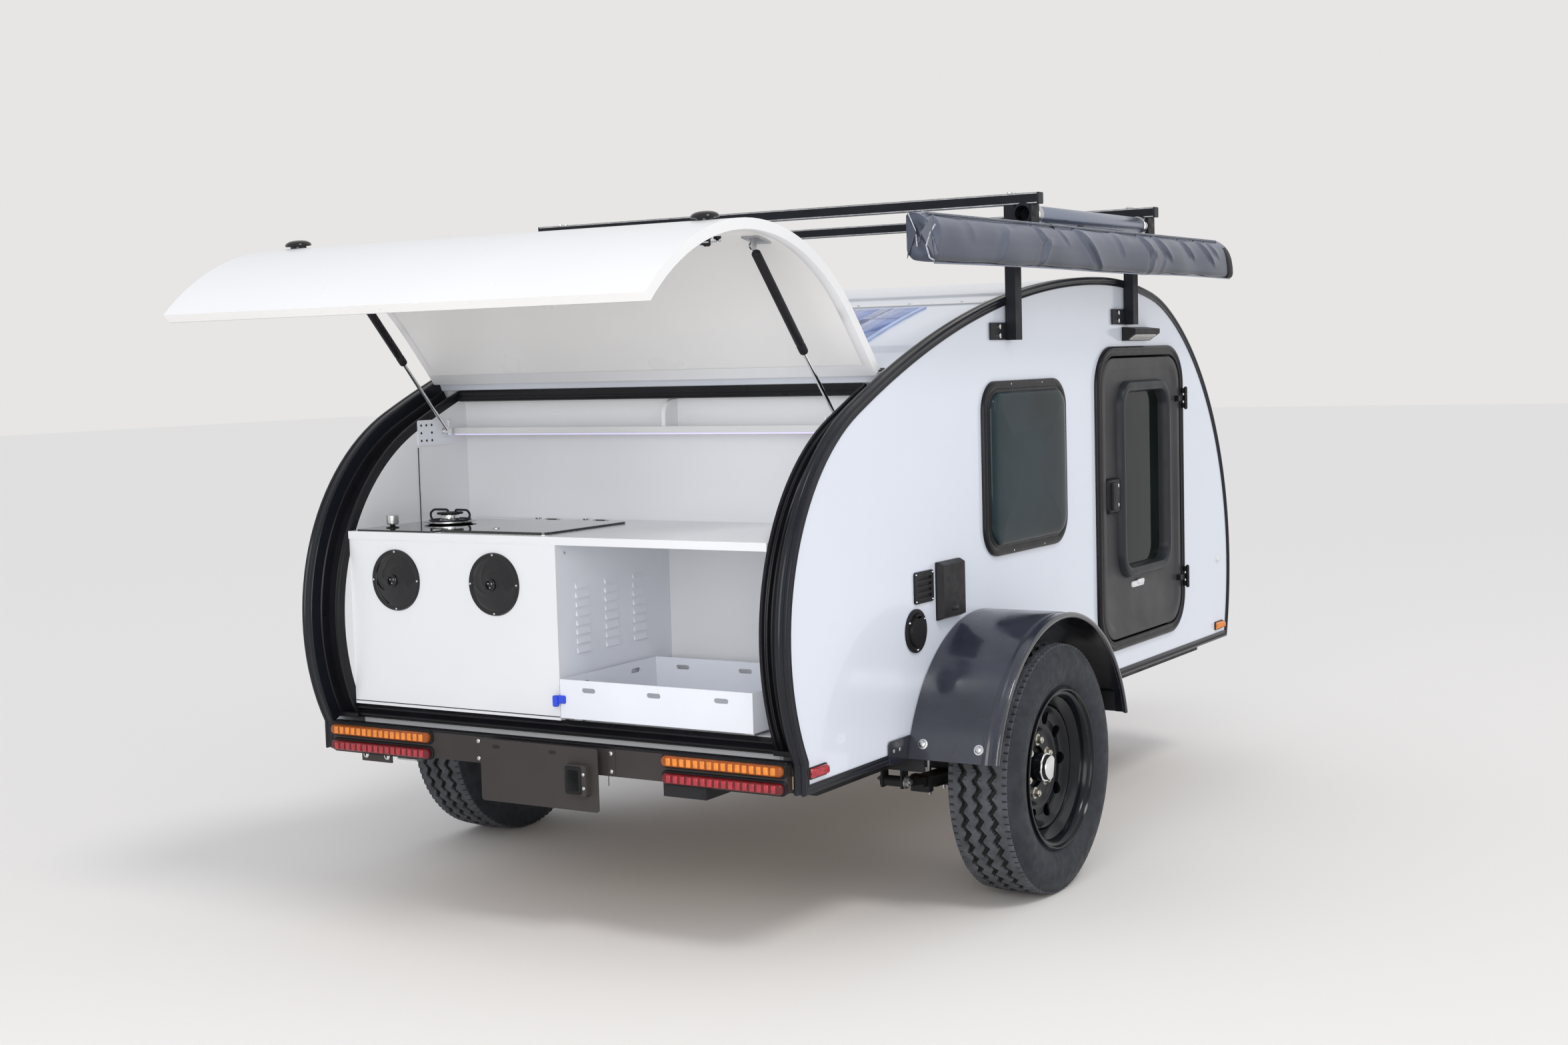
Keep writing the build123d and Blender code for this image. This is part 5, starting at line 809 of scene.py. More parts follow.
def rimShape(look):
    ring = washerRing(wheelSpot, look["lip"] + look["barrel"] + look["disc"] + look["back"], 128)
    cutters = []
    for k in range(look["holes"]):
        turn = 2 * math.pi * k / look["holes"]
        at = wheelSpot.moved(look["holeCircle"] * math.cos(turn), look["holeCircle"] * math.sin(turn))
        cutters.append(lathe(at, [(0, -6), (look["holeRadius"], -6), (look["holeRadius"], 60), (0, 60)], 28))
    return cutWith(ring, cutters)


def hubShapes(look):
    hub = lathe(wheelSpot, look["hub"], 48)
    reach, turn, out = look["valve"]
    valve = wheelSpot.moved(-reach * math.cos(turn), -reach * math.sin(turn), out)
    return [hub, lathe(valve, [(0, -6), (5, -6), (4, 4), (3.4, 22), (4.2, 23), (4.2, 30), (0, 31)], 12)]


def rimZones(out, reach, facingOut):
    # what shows through the holes, and the holes' own walls, are a plain dull black
    near, far = rimLook["darkRing"]
    return np.where((out < rimLook["darkBehind"]) | ((reach > near) & (reach < far) & (facingOut < 0.15)), 1, 0)


rimParts = [rimShape(rimLook), *hubShapes(rimLook)]
rims = bothSides("rim", rimParts, "rimBlack", wheelBodies, (("rim_right",), ("rim_left",)), 30)
for piece in rims:
    dressFaces(piece, ("rimDark",), rimZones)
bothSides("hubCap", [lathe(wheelSpot, rimLook["cap"], 40)], "chrome", wheelBodies)
nutParts = []
for k in range(rimLook["nuts"]):
    turn = math.radians(rimLook["nutTurn"]) + 2 * math.pi * k / rimLook["nuts"]
    circle = rimLook["nutCircle"]
    at = wheelSpot.moved(circle * math.cos(turn), circle * math.sin(turn), rimLook["nutOut"])
    nutParts.append(hexNut(at, *rimLook["nutSize"]))
bothSides("wheelNuts", nutParts, "brassZinc", wheelBodies)
print("rims turned")

# fenders: a rolled arch with a round bead at the outer edge, its end bolts and the plate behind
fenderLook = {
    "radius": 431, "centreHeight": 305, "endHeight": 412, "innerY": 742.6, "outerY": 990.5, "sheet": 3, "bead": 7,
    "rearBolts": ((-781, 449), (-935, 446)), "frontBolt": (-944, 451), "plate": (-517, -396, 412, 470),
    "plateScrews": ((-492, 444), (-462, 444)), "endSweep": 0.165,
}


def archRun(radius, centreHeight, endHeight, count=56):
    low = math.asin((endHeight - centreHeight) / radius)
    return [
        (radius * math.cos(t), centreHeight + radius * math.sin(t), math.cos(t), math.sin(t))
        for t in np.linspace(low, math.pi - low, count)
    ]


def fenderShape(look):
    sheet, bead, outer = look["sheet"], look["bead"], look["outerY"]
    profile = [(0, -look["innerY"]), (0, -outer + 40), (-0.6, -outer + 34), (-2.4, -outer + 30), (-2.6, -outer + 24),
               (-1.6, -outer + 16), (0, -outer + bead + 1)]
    for t in np.linspace(80, -60, 9):
        profile.append((-bead + bead * math.sin(math.radians(t)), -outer + bead - bead * math.cos(math.radians(t))))
    profile += [(-14, -outer + 3.5), (-14, -outer + 6.5), (-sheet - 5, -outer + 9), (-sheet - 3, -outer + 18),
                (-sheet - 3, -outer + 34), (-sheet, -outer + 42), (-sheet, -look["innerY"])]
    return sweepRun(archRun(look["radius"], look["centreHeight"], look["endHeight"]), profile)


def fenderEnd(look):
    # plate with rounded upper corners bolted over the rear end of the arch
    low = math.asin((look["endHeight"] - look["centreHeight"]) / look["radius"])
    rows = []
    for share in (0, 0, 0.4, 0.75, 0.85, 0.93, 0.98, 1.0, 1.0):
        turn = math.pi - low - look["endSweep"] * share
        shrink = 14 * (1 - math.sqrt(max(0, 1 - max(0, (share - 0.78) / 0.22) ** 2)))
        ys = (-look["innerY"] - 8 - shrink, -look["outerY"] + 44 + shrink)
        rows.append((turn, ys))
    loops = []
    for k, (turn, ys) in enumerate(rows):
        over = look["radius"] + (0.2 if k in (0, len(rows) - 1) else 1.4)
        under = look["radius"] - 1
        c, s = math.cos(turn), math.sin(turn)
        section = ((under, ys[0]), (over, ys[0]), (over, ys[1]), (under, ys[1]))
        loops.append([(r * c, y, look["centreHeight"] + r * s) for r, y in section])
    return loft(loops)


def fenderBolts(look):
    # two through the rear end, seen outside, and one through the front end, seen inside the arch
    bolts = []
    inside = look["radius"] - look["sheet"]
    places = [(y, height, look["radius"], -1, 9) for y, height in look["rearBolts"]]
    places.append((*look["frontBolt"], inside, 1, 8))
    for y, height, radius, side, head in places:
        low = math.asin((height - look["centreHeight"]) / radius)
        up = (-side * math.sin(low), 0, math.cos(low))
        at = Spot((side * radius * math.cos(low), y, height), (0, -1, 0), up)
        bolts += [lathe(at, [(13, 0), (13, 1.5), (9, 2)], 24), screw(at.moved(0, 0, 1.5), head, 6)]
    return bolts


x0, x1, z0, z1 = fenderLook["plate"]
plateSpot = wallSpot((x0 + x1) / 2, (z0 + z1) / 2, 2.6)
platePiece = plate(plateSpot, x1 - x0, z1 - z0, 12, [(0, 0), (0, 2.6), (0.6, 3.2)])
fenderParts = [fenderShape(fenderLook), fenderEnd(fenderLook), platePiece]
bothSides("fender", fenderParts, "fenderBlack", replaces=(("fenders",), ()))
plateScrews = [screw(wallSpot(x, z, 5.6), 5, 2.5) for x, z in fenderLook["plateScrews"]]
bothSides("fenderBolts", fenderBolts(fenderLook) + plateScrews, "steelBright")
beadArch = archRun(fenderLook["radius"] - 7, fenderLook["centreHeight"], fenderLook["endHeight"], 80)
beadRun = [(x, -fenderLook["outerY"] + fenderLook["bead"], z) for x, z, _, _ in beadArch]
bothSides("fenderBead", [tube(beadRun, 7.15, 14)], "beadBlack")
print("fenders rolled")

# edge trims: a lip on the wall, a round outer bead and a second bead on the cap
trimLook = {"lip": 22}
footStation = skinPoint(tailEnd)[0]


def sideRun():
    # the whole outline as a closed run with mitred corners
    run = skinRun(noseEnd, tailEnd, 30)
    normalFoot, normalBottom = (-1, 0), (0, -1)

    def mitre(a, b):
        whole = np.array(a) + np.array(b)
        return whole / (1 + np.dot(a, b))

    first, last = run[0], run[-1]
    run[0] = (first[0], first[1], *mitre(first[2:], normalBottom))
    run[-1] = (last[0], last[1], *mitre(last[2:], normalFoot))
    run.append((footStation, outline["bottom"], *mitre(normalFoot, normalBottom)))
    return run


def trimShape(look):
    y = -bodyHalf
    profile = [
        (-look["lip"], y), (-look["lip"] - 0.5, y - 2.2), (-look["lip"] + 1.5, y - 3.6), (-look["lip"] + 4, y - 3.2),
        (-look["lip"] + 6, y - 1.9), (-12, y - 1.9), (-10, y - 3.6), (-6.5, y - 4.8), (-2.5, y - 4.4), (0.4, y - 2.4),
        (1.6, y + 1.0), (1.4, y + 4.5), (0.2, y + 6.5), (-1.0, y + 8), (-1.0, y + 15), (0.4, y + 17), (1.2, y + 20),
        (0.8, y + 24), (-0.6, y + 27.4), (-3, y + 28), (-3, y + 14), (-3, y),
    ]
    return sweepRun(sideRun(), profile, closed=True)


bothSides("edgeTrim", [trimShape(trimLook)], "trimRubber", replaces=(("edge_trims",), ()), sharp=24)
print("edge trims swept")

# galley seals: outer bead, deep channel and a double inner bead, then the head and sill strips
sealLook = {"outer": 33, "inner": 57, "innerY": 646, "outerY": 712, "sillTop": 530, "sillBottom": 493}


def sealShapes(look):
    a, b, depth, base = look["innerY"], look["outerY"], -look["inner"], -look["outer"]
    profile = [
        (depth, -a - 0.2), (base - 9, -a - 0.4), (base - 4, -a - 1), (base - 1.2, -a - 3.5), (base - 0.3, -a - 7),
        (base - 1, -a - 10.5), (base - 4, -a - 12), (base - 8, -a - 13), (base - 9, -a - 15), (base - 7, -a - 18),
        (base - 8, -a - 21), (base - 12, -a - 22), (base - 20, -a - 23), (base - 22, -a - 26), (base - 22, -b + 12),
        (base - 14, -b + 9.5), (base - 6, -b + 8.5), (base - 1, -b + 7), (base + 1.5, -b + 4), (base + 0.5, -b + 1.2),
        (base - 4, -b + 0.2), (depth, -b + 0.2),
    ]
    side = sweepRun(skinRun(hingeTurn, tailEnd + 0.4, 22), profile)

    def strip(rows, start, turn, ring=False):
        # straight across from wall to wall, rows of (share of the turn, inset of the face)
        grid = []
        for share, inset in rows:
            station, height = skinPoint(start + turn * share, inset)
            grid.append([(station, y, height) for y in (-a, a)])
        return gridShape(np.array(grid, float), ringAlong=ring)

    sillRows = [(0, 57), (0, 44), (0.04, 40), (0.12, 38.5), (0.2, 41), (0.24, 47), (0.3, 50), (0.5, 50), (0.56, 46),
                (0.6, 39), (0.7, 36.5), (0.78, 38), (0.82, 42), (0.86, 40), (0.93, 38.5), (1.0, 41), (1.0, 57)]
    headRows = [(0, 31), (0, 60), (0.35, 62), (0.8, 60), (1.0, 56), (1.0, 50), (0.85, 46), (0.7, 47), (0.5, 49),
                (0.4, 44), (0.25, 40), (0.12, 36), (0.1, 31)]
    high, low = tailTurn(look["sillTop"] + 6, look["inner"]), tailTurn(look["sillBottom"], look["outer"])
    head = strip(headRows, hingeTurn + roofStep(1.5), roofStep(15), ring=True)
    return side, [strip(sillRows, high, low - high), head]


sealSide, sealStrips = sealShapes(sealLook)
liningProfile = [(-1.2, -712.4), (-36, -712.4), (-36, -710.6), (-3, -710.6)]  # covers the wall's own edge
lining = sweepRun(skinRun(hingeTurn, tailEnd, 22), liningProfile)
bothSides("wallLining", [lining], "trimRubber")
sealParts = [sealSide, mirrorY(sealSide), *sealStrips]
addPiece("galleySeals", sealParts, "sealRubber", replaces=("galley_seals",), sharp=26)
print("galley seals fitted")

# side windows: rubber frame with two beads, bulging smoked pane and its screws
windowLook = {
    "station": 305, "height": 1101, "width": 537, "tall": 471, "corner": 82, "flat": 200,
    "screws": ((-100, -226), (100, -226), (-100, 226), (100, 226)),
}


def windowShapes(look):
    at = wallSpot(look["station"], look["height"])
    ring = [(0, 0), (0, 5), (1.5, 9), (5, 11.5), (12, 12.5), (18, 12), (21, 10.5), (23, 9.5), (25, 10.5), (28, 12),
            (33, 12), (35, 9), (35, 0)]
    pane = [(29, 6), (29.5, 14), (31.5, 18.5), (36, 21.6), (42, 23.4), (50, 24.4), (62, 25.4), (90, 26.6),
            (140, 27.6), (look["flat"], 28)]
    back = [(look["flat"], 23), (140, 22.6), (90, 21.6), (52, 19.8), (38, 17), (33.6, 13), (33, 6)]
    return (
        [ringPlate(at, look["width"], look["tall"], look["corner"], ring, 12)],
        [ringOpen(at, look, pane + back)],
    )


def ringOpen(at, look, layers):
    # a bulging pane: the two middle loops are closed by flat faces in place of the strip between them
    loops = []
    for inset, out in layers:
        width, tall = look["width"] - 2 * inset, look["tall"] - 2 * inset
        loops.append(at.put(roundedLoop(width, tall, look["corner"] - inset * 0.9, 12), out))
    points, faces = loft(loops, ring=True)
    count = len(loops[0])
    first, second = [k for k, layer in enumerate(layers) if layer[0] == look["flat"]]
    faces = [f for f in faces if not (min(f) // count == first and max(f) // count == second)]
    faces.append(tuple(range(first * count, (first + 1) * count)))
    faces.append(tuple(range((second + 1) * count - 1, second * count - 1, -1)))
    return points, faces


windowRing, windowPane = windowShapes(windowLook)
bothSides("windowFrame", windowRing, "frameBlack")
bothSides("windowPane", windowPane, "paneSmoked", replaces=(("side_windows",), ()), sharp=50)
windowScrews = []
for aside, up in windowLook["screws"]:
    at = wallSpot(windowLook["station"] + aside, windowLook["height"] + up, 11.8)
    windowScrews.append(screw(at, 2.6, 1.2))
bothSides("windowScrews", windowScrews, "steelBright")
print("side windows set")

# doors: double-stepped frame with hinges, charcoal leaf with a raised window surround, handle and lock clip
doorLook = {
    "station": 1154, "height": 959, "width": 708, "tall": 924, "corner": 125, "face": 30, "gap": 5,
    "windowOff": (11, 54), "window": (338, 531, 48), "border": 38, "handleOff": (-246, 13), "handle": (88, 107),
    "hingeAhead": 1490, "hingeY": 766, "hingeHeights": (669, 1249), "clip": (1112, 686),
}


def doorFrameShapes(look):
    at = wallSpot(look["station"], look["height"])
    ring = [(0, 0), (0, 5), (1.5, 9.5), (5, 12.5), (10, 14), (15, 13.6), (18, 12), (20, 10.6), (22, 11.6), (25, 12.4),
            (28, 11.6), (30, 9), (30, -28), (26, -28), (26, 0)]
    parts = [ringPlate(at, look["width"], look["tall"], look["corner"], ring, 14)]
    ahead, y = look["hingeAhead"], -look["hingeY"]
    for height in look["hingeHeights"]:
        for low, high in ((-35, -12.5), (12.5, 35)):
            long = high - low
            barrel = topSpot(ahead, y, height + low)
            parts.append(lathe(barrel, [(0, 0), (5, 0), (5.6, 0.8), (5.6, long - 0.8), (5, long), (0, long)], 20))
            parts.append(box((ahead - 4, y, height + low + 3), (ahead + 4, -754, height + high - 3)))
        parts.append(lathe(topSpot(ahead, y, height - 37), [(0, 0), (3, 0), (3, 74), (0, 74)], 14))
    return parts


def doorLeafShape(look):
    # the leaf with its recessed field, and the raised surround of its window
    at = wallSpot(look["station"], look["height"])
    inset = look["face"] + look["gap"]
    width, tall, corner = look["width"] - 2 * inset, look["tall"] - 2 * inset, look["corner"] - inset
    wide, high, rounding = look["window"]
    side, up = look["windowOff"]
    border = look["border"]

    def leafLoop(back, out):
        return at.put(roundedLoop(width - 2 * back, tall - 2 * back, corner - back * 0.75, 12), out)

    def windowLoop(grow, out):
        loop = roundedLoop(wide + 2 * grow, high + 2 * grow, rounding + grow * 0.8, 12) + np.array([side, up])
        return at.put(loop, out)

    leafSteps = ((0, -20), (0, 5), (0.8, 8), (2.5, 9.6), (5, 10), (22, 10), (24, 9.6), (38, 2.8), (41, 2))
    leaf = [leafLoop(*step) for step in leafSteps]
    leaf += [windowLoop(border - 3, 2), windowLoop(border - 6, -20)]
    surroundSteps = ((border + 1, 1), (border - 1, 3), (border - 4, 16), (border - 7, 21), (border - 12, 23.6),
                     (border - 20, 24), (12, 23), (7, 20), (4, 12), (1, 0), (0, -20), (border - 5, -20))
    return loft(leaf, ring=True), loft([windowLoop(*step) for step in surroundSteps], ring=True)


def doorHinges(look):
    # the middle knuckle and its strap, which swing with the leaf
    parts = []
    ahead = look["hingeAhead"]
    for height in look["hingeHeights"]:
        barrel = topSpot(ahead, -look["hingeY"], height - 12)
        parts.append(lathe(barrel, [(0, 0), (5.6, 0), (5.6, 24), (0, 24)], 20))
        parts.append(box((ahead - 50, -761, height - 9), (ahead, -757, height + 9)))
        parts.append(box((ahead - 50, -758, height - 9), (ahead - 26, -747, height + 9)))
    return parts


def doorHandle(look):
    side, up = look["handleOff"]
    wide, tall = look["handle"]
    at = wallSpot(look["station"] + side, look["height"] + up, 2)
    body = plate(at, wide, tall, 16, [(0, 0), (0, 6), (2, 11), (5, 15), (9, 16)], 8)
    paddle = plate(at.moved(-12, 0), 44, tall - 22, 10, [(0, 14), (0.5, 20), (3, 23), (7, 24)], 8)
    return [body, paddle]


bothSides("doorFrame", doorFrameShapes(doorLook), "frameBlack", replaces=(("door_frames",), ()))
doorBodies = ("right_door", "left_door")
leafShape, surroundShape = doorLeafShape(doorLook)
bothSides("doorLeaf", leafShape, "doorCharcoal", doorBodies, (("door_right",), ("door_left",)), 26)
bothSides("doorSurround", surroundShape, "surroundBlack", doorBodies, sharp=26)
bothSides("doorStraps", doorHinges(doorLook), "frameBlack", doorBodies)
bothSides("doorHandle", doorHandle(doorLook), "plasticBlack", doorBodies)
handleSide, handleUp = doorLook["handleOff"]
handleAt = wallSpot(doorLook["station"] + handleSide + 24, doorLook["height"] + handleUp, 17)
bothSides("doorLocks", [screw(handleAt.moved(0, v), 6, 4) for v in (30, -28)], "steelBright", doorBodies)
clipAt = wallSpot(*doorLook["clip"], 2)
clip = [softPlate(clipAt, 98, 19, 9, 5), softPlate(clipAt.moved(16, 6, 4), 52, 14, 7, 5)]
clip.append(screw(clipAt.moved(-38, 0, 5), 4, 2))
bothSides("doorClip", clip, "clipWhite", doorBodies)
print("doors hung")

# rear lamps: dark surrounds and ribbed bars, amber over red; the lens under the bars is a darker copy of its colour,
# painted shade between the bars
lampLook = {
    "middle": 529.5, "length": 341, "tall": 30, "cells": 16,
    "rows": {"Amber": (471, "amberLens", "amberShade"), "Red": (430, "redLens", "redShade")},
}
panelX = nodeSpan("rear_panel")[0][0]


def lampShapes(look, height, sign):
    at = rearSpot(sign * look["middle"], height, panelX)
    surround = plate(at, look["length"] + 8, look["tall"] + 6, 15, [(0, 0), (0, 3), (1.5, 5), (4, 5.5)], 8)
    lens = plate(at, look["length"], look["tall"], 14, [(2, 4), (1.6, 10), (2.6, 14), (5, 16.4), (8, 17)], 8)
    cells = []
    pitch = (look["length"] - 30) / look["cells"]
    for k in range(look["cells"]):
        cell = at.moved((k - (look["cells"] - 1) / 2) * pitch, 0)
        cells.append(plate(cell, pitch - 6, look["tall"] - 11, 3, [(0, 16), (0.6, 18.4), (2.2, 19.6), (4, 20)], 3))
    return surround, lens, cells


for tone, (height, finish, deep) in lampLook["rows"].items():
    parts = [lampShapes(lampLook, height, s) for s in (-1, 1)]
    target = ("rear_lamps",) if tone == "Amber" else ()
    addPiece("rearLamp" + tone, [parts[0][1], parts[1][1]], deep, replaces=target)
    addPiece("lampCells" + tone, parts[0][2] + parts[1][2], finish)
    addPiece("lampSurround" + tone, [parts[0][0], parts[1][0]], "plasticBlack")
print("rear lamps lit")

# side markers: bevelled lenses on dark bases, red behind and amber ahead
markerLook = {
    "length": 80, "tall": 28, "depth": 15, "height": 462, "stations": {"amberLens": 1849.4, "redLens": -851.5},
}
for finish, station in markerLook["stations"].items():
    high = markerLook["height"]
    at = wallSpot(station, high)
    long, tall, deep = markerLook["length"], markerLook["tall"], markerLook["depth"]
    lens = plate(at, long - 5, tall - 5, 4, [(0, 2), (0, 5), (1, 6.5), (5, deep - 1), (6.5, deep)], 4)
    face = -bodyHalf - deep
    ribs = [box((x - 1, face - 0.6, high - 8), (x + 1, face + 2, high + 8)) for x in station + np.arange(-3, 4) * 8]
    target = (("marker_lamps",), ()) if finish == "amberLens" else ((), ())
    bothSides("marker" + finish[:5].capitalize(), [lens, *ribs], finish, replaces=target)
    base = plate(at, long, tall, 5, [(0, 0), (0, 3), (1, 4.2)], 4)
    ends = [screw(at.moved(s * 35, 0, 5), 3, 2) for s in (-1, 1)]
    bothSides("markerBase" + finish[:5].capitalize(), [base, *ends], "plasticBlack")

# porch lights: a pale lens in the sloping underside with a row of cells
porchLook = {"place": (1120, -768.5, 1447.6), "slope": (0, -33, 22), "lens": (172, 27), "cells": 12}
porchSpot = Spot(porchLook["place"], (1, 0, 0), porchLook["slope"])
bothSides("porchLens", [plate(porchSpot, *porchLook["lens"], 6, [(0, -1), (0, 1), (1.5, 2)], 5)], "paleLens")
porchCells = []
for k in range(porchLook["cells"]):
    at = porchSpot.moved((k - (porchLook["cells"] - 1) / 2) * 13, 0, 1.8)
    porchCells.append(lathe(at, [(4, 0), (3.4, 0.8), (0, 1)], 12))
bothSides("porchCells", porchCells, "steelBright")

# rear panel: seams, screws, the lamp over the plate and the small strip beside the hanging bracket
rearLook = {
    "screwHeights": (474, 430), "seams": (196, -196), "seamPlates": (206, -206), "bracket": (-130, 410),
    "ringMiddle": (552, 410.5), "slots": ((127, 470), (-49, 470)), "sill": (485, 491.5), "corner": (497, 509.5),
}
plateFaceX = nodeSpan("plate_holder")[0][0] + 16
bracketY, bracketZ = rearLook["bracket"]
rearScrews = []
for y in rearLook["seamPlates"]:
    rearScrews += [screw(rearSpot(y, z, panelX - 1.8), 5.5, 2.4) for z in rearLook["screwHeights"]]
rearScrews += [screw(rearSpot(bracketY - 23, bracketZ + v, plateFaceX - 15.6), 4.5, 2) for v in (16, -18)]
ringY, ringZ = rearLook["ringMiddle"]
ringProfile = [(10, 0), (9.6, 1.2), (6.4, 1.4), (6.4, 0)]
for aside in (-36, 36):
    rearScrews.append(lathe(rearSpot(ringY + aside, ringZ, panelX - 0.4), ringProfile, 20))
addPiece("rearScrews", rearScrews, "steelBright")
seams = [box((panelX - 0.5, y - 1, 394), (panelX + 0.5, y + 1, 486)) for y in rearLook["seams"]]
# the plate holder's slots are black patches of painted shade
seams += [plate(rearSpot(y, z, plateFaceX - 0.1), 22, 9, 4, [(0, 0), (0, 0.4)], 4) for y, z in rearLook["slots"]]
addPiece("rearSeams", seams, "shadeAndSeamBlack")
seamLayers = [(0, 0), (0, 1.4), (0.6, 2)]
seamPlates = [plate(rearSpot(y, 452, panelX), 24, 66, 3, seamLayers, 3) for y in rearLook["seamPlates"]]
addPiece("seamPlates", seamPlates, "panelBrown")
low, high = rearLook["sill"]
sillParts = [box((panelX - 1, -704, low), (-901, 704, high))]
low, high = rearLook["corner"]
for s in (-1, 1):
    sillParts.append(box((-891.5, min(s * 645, s * 711.6), low), (-858, max(s * 645, s * 711.6), high)))
addPiece("sillCover", sillParts, "sealRubber")
lampBox = rearSpot(bracketY, bracketZ, plateFaceX).moved(-7, 0)
lampParts = [plate(lampBox, 44, 64, 5, [(0, 14), (0, 17.4), (1.5, 18.4)], 4),
             plate(lampBox, 50, 70, 7, [(0, 14), (0, 16.4), (0.6, 16.8)], 4)]
addPiece("plateLamp", lampParts, "plasticBlack")
addPiece("plateLampLens", [plate(lampBox, 34, 50, 4, [(0, 18), (0, 18.8), (1, 19.4)], 4)], "paneDark")
addPiece("rearStrip", [box((panelX + 4, 420, 404), (panelX + 24, 486, 409))], "steelZinc")
print("rear panel dressed")

# round vents: domes with swirling ridges
ventLook = {"height": 868, "middles": (488, 163), "faceX": nodeSpan("cabinet_front")[0][0]}


def ventShape(y, look):
    at = rearSpot(y, look["height"], look["faceX"])
    radii = np.array([80, 79.5, 78, 74, 70, 68, 66, 62, 58, 54, 50, 46, 42, 38, 34, 30, 26, 22, 18, 14, 10, 6, 3])
    turns = np.linspace(0, 2 * math.pi, 120, endpoint=False)
    dome = np.interp(radii, [0, 20, 62, 66, 68, 70, 78, 80], [17, 15, 7.6, 5.2, 4.6, 5.2, 5.0, 0])
    loops = []
    for r, out in zip(radii, dome):
        ridge = 0
        if 18 < r < 64:
            swirl = 5 * (turns + 1.7 * math.log(r / 18))
            fade = math.sin(math.pi * (r - 18) / 46)
            ridge = 1.5 * fade * np.maximum(0, np.cos(swirl)) ** 3
        loop = at.put(np.stack([r * np.cos(turns), r * np.sin(turns)], axis=1), out)
        loops.append(loop + np.outer(ridge * np.ones(len(turns)), at.out))
    ring = washerRing(at, [(17, 15), (17, 19), (15, 21), (11, 21), (10, 18), (10, 14)], 36)
    return [loft(loops, capFirst=False), ring]


def ventScrews(y, look):
    at = rearSpot(y, look["height"], look["faceX"])
    rim = [screw(at.moved(74 * math.cos(t), 74 * math.sin(t), 5), 3, 1.8) for t in np.arange(4) * math.pi / 2]
    core = [screw(at.moved(7 * math.cos(t), 7 * math.sin(t), 16.5), 2.6, 2) for t in (0.5, 2.6, 4.7)]
    return rim + core


vents = [shape for y in ventLook["middles"] for shape in ventShape(y, ventLook)]
addPiece("vents", vents, "ventBlack", replaces=("round_vents",), sharp=40)
addPiece("ventScrews", [s for y in ventLook["middles"] for s in ventScrews(y, ventLook)], "steelBright")

# hob: glass plate with a ground edge, burner, wire supports and the knob
hobLook = {
    "middle": (-697, 502), "size": (370, 262), "corner": 14, "top": 996, "burner": (-657, 502), "teeth": 24,
    "knob": (-817, 562),
}
hobSpot = topSpot(*hobLook["middle"], 992)
wide, deep = hobLook["size"]
hobGlass = plate(hobSpot, wide, deep, hobLook["corner"], [(0.8, 0), (0, 0.6), (0, 3.4), (0.6, 4)], 8)
addPiece("hobGlass", [hobGlass], "glassBlack", replaces=("hob",))
edgeLayers = [(0, 0.8), (0, 3.1), (0.5, 3.4), (0.5, 0.6)]
addPiece("hobEdge", [ringPlate(hobSpot, wide + 1, deep + 1, hobLook["corner"] + 0.5, edgeLayers, 8)], "glassEdge")
burner = topSpot(*hobLook["burner"], hobLook["top"])
panProfile = [(0, 0.2), (50, 0.2), (58, 1.4), (64, 4.4), (66, 6), (68, 6), (68, 4.4), (69.5, 4.4), (69.5, 7.6),
              (65, 8), (56, 5.2), (40, 4.6), (30, 5), (0, 5)]
addPiece("burnerPan", [lathe(burner, panProfile, 64)], "steelBright")
addPiece("burnerRing", [washerRing(burner, [(52, 7), (56, 8), (56, 11), (53, 12), (49, 11), (49, 8)], 48)], "rackBlack")
addPiece("burnerCap", [lathe(burner, [(0, 5), (30, 5), (30, 9), (25, 11), (25, 23), (22, 25), (0, 25)], 48)], "chrome")
teeth = []
for k in range(hobLook["teeth"]):
    t = 2 * math.pi * k / hobLook["teeth"]
    c, s = math.cos(t), math.sin(t)
    tooth = Spot(burner.put([(31 * c, 31 * s)], 25)[0], (c, s, 0), (-s, c, 0))
    teeth.append(plate(tooth, 8, 4.4, 0.8, [(0, 0), (0, 4), (0.6, 4.8)], 2))
crown = lathe(burner, [(0, 24.6), (29, 24.6), (30, 26), (30, 29), (27, 30.5), (0, 31)], 48)
addPiece("burnerCrown", [crown, *teeth], "rackBlack")


def supportWire(sign, low=9, top=36, reach=68):
    # one bent wire: in along the foot, up round the end and back along the top
    points = [(-6, sign * 26, low), (-4, sign * (reach - 8), low), (0, sign * reach, low + 9),
              (0, sign * reach, top - 9), (2, sign * (reach - 10), top), (6, sign * 16, top), (8, sign * 12, top - 5)]
    return tube(bentPath([burner.origin + np.array(p, float) for p in points], 10), 3, 10)


addPiece("potSupports", [supportWire(1), supportWire(-1)], "rackBlack")
knob = topSpot(*hobLook["knob"], hobLook["top"])
knobProfile = [(0, 9), (13.5, 9), (15.5, 10.5), (16, 13), (16, 32), (14.6, 34), (0, 34.4)]
addPiece("hobKnob", [lathe(knob, knobProfile, 40)], "steelBright")
baseProfile = [(0, 0), (17, 0), (17, 2), (8, 3.4), (6.5, 5), (6.5, 10), (0, 10)]
addPiece("knobBase", [lathe(knob, baseProfile, 40)], "plasticBlack")

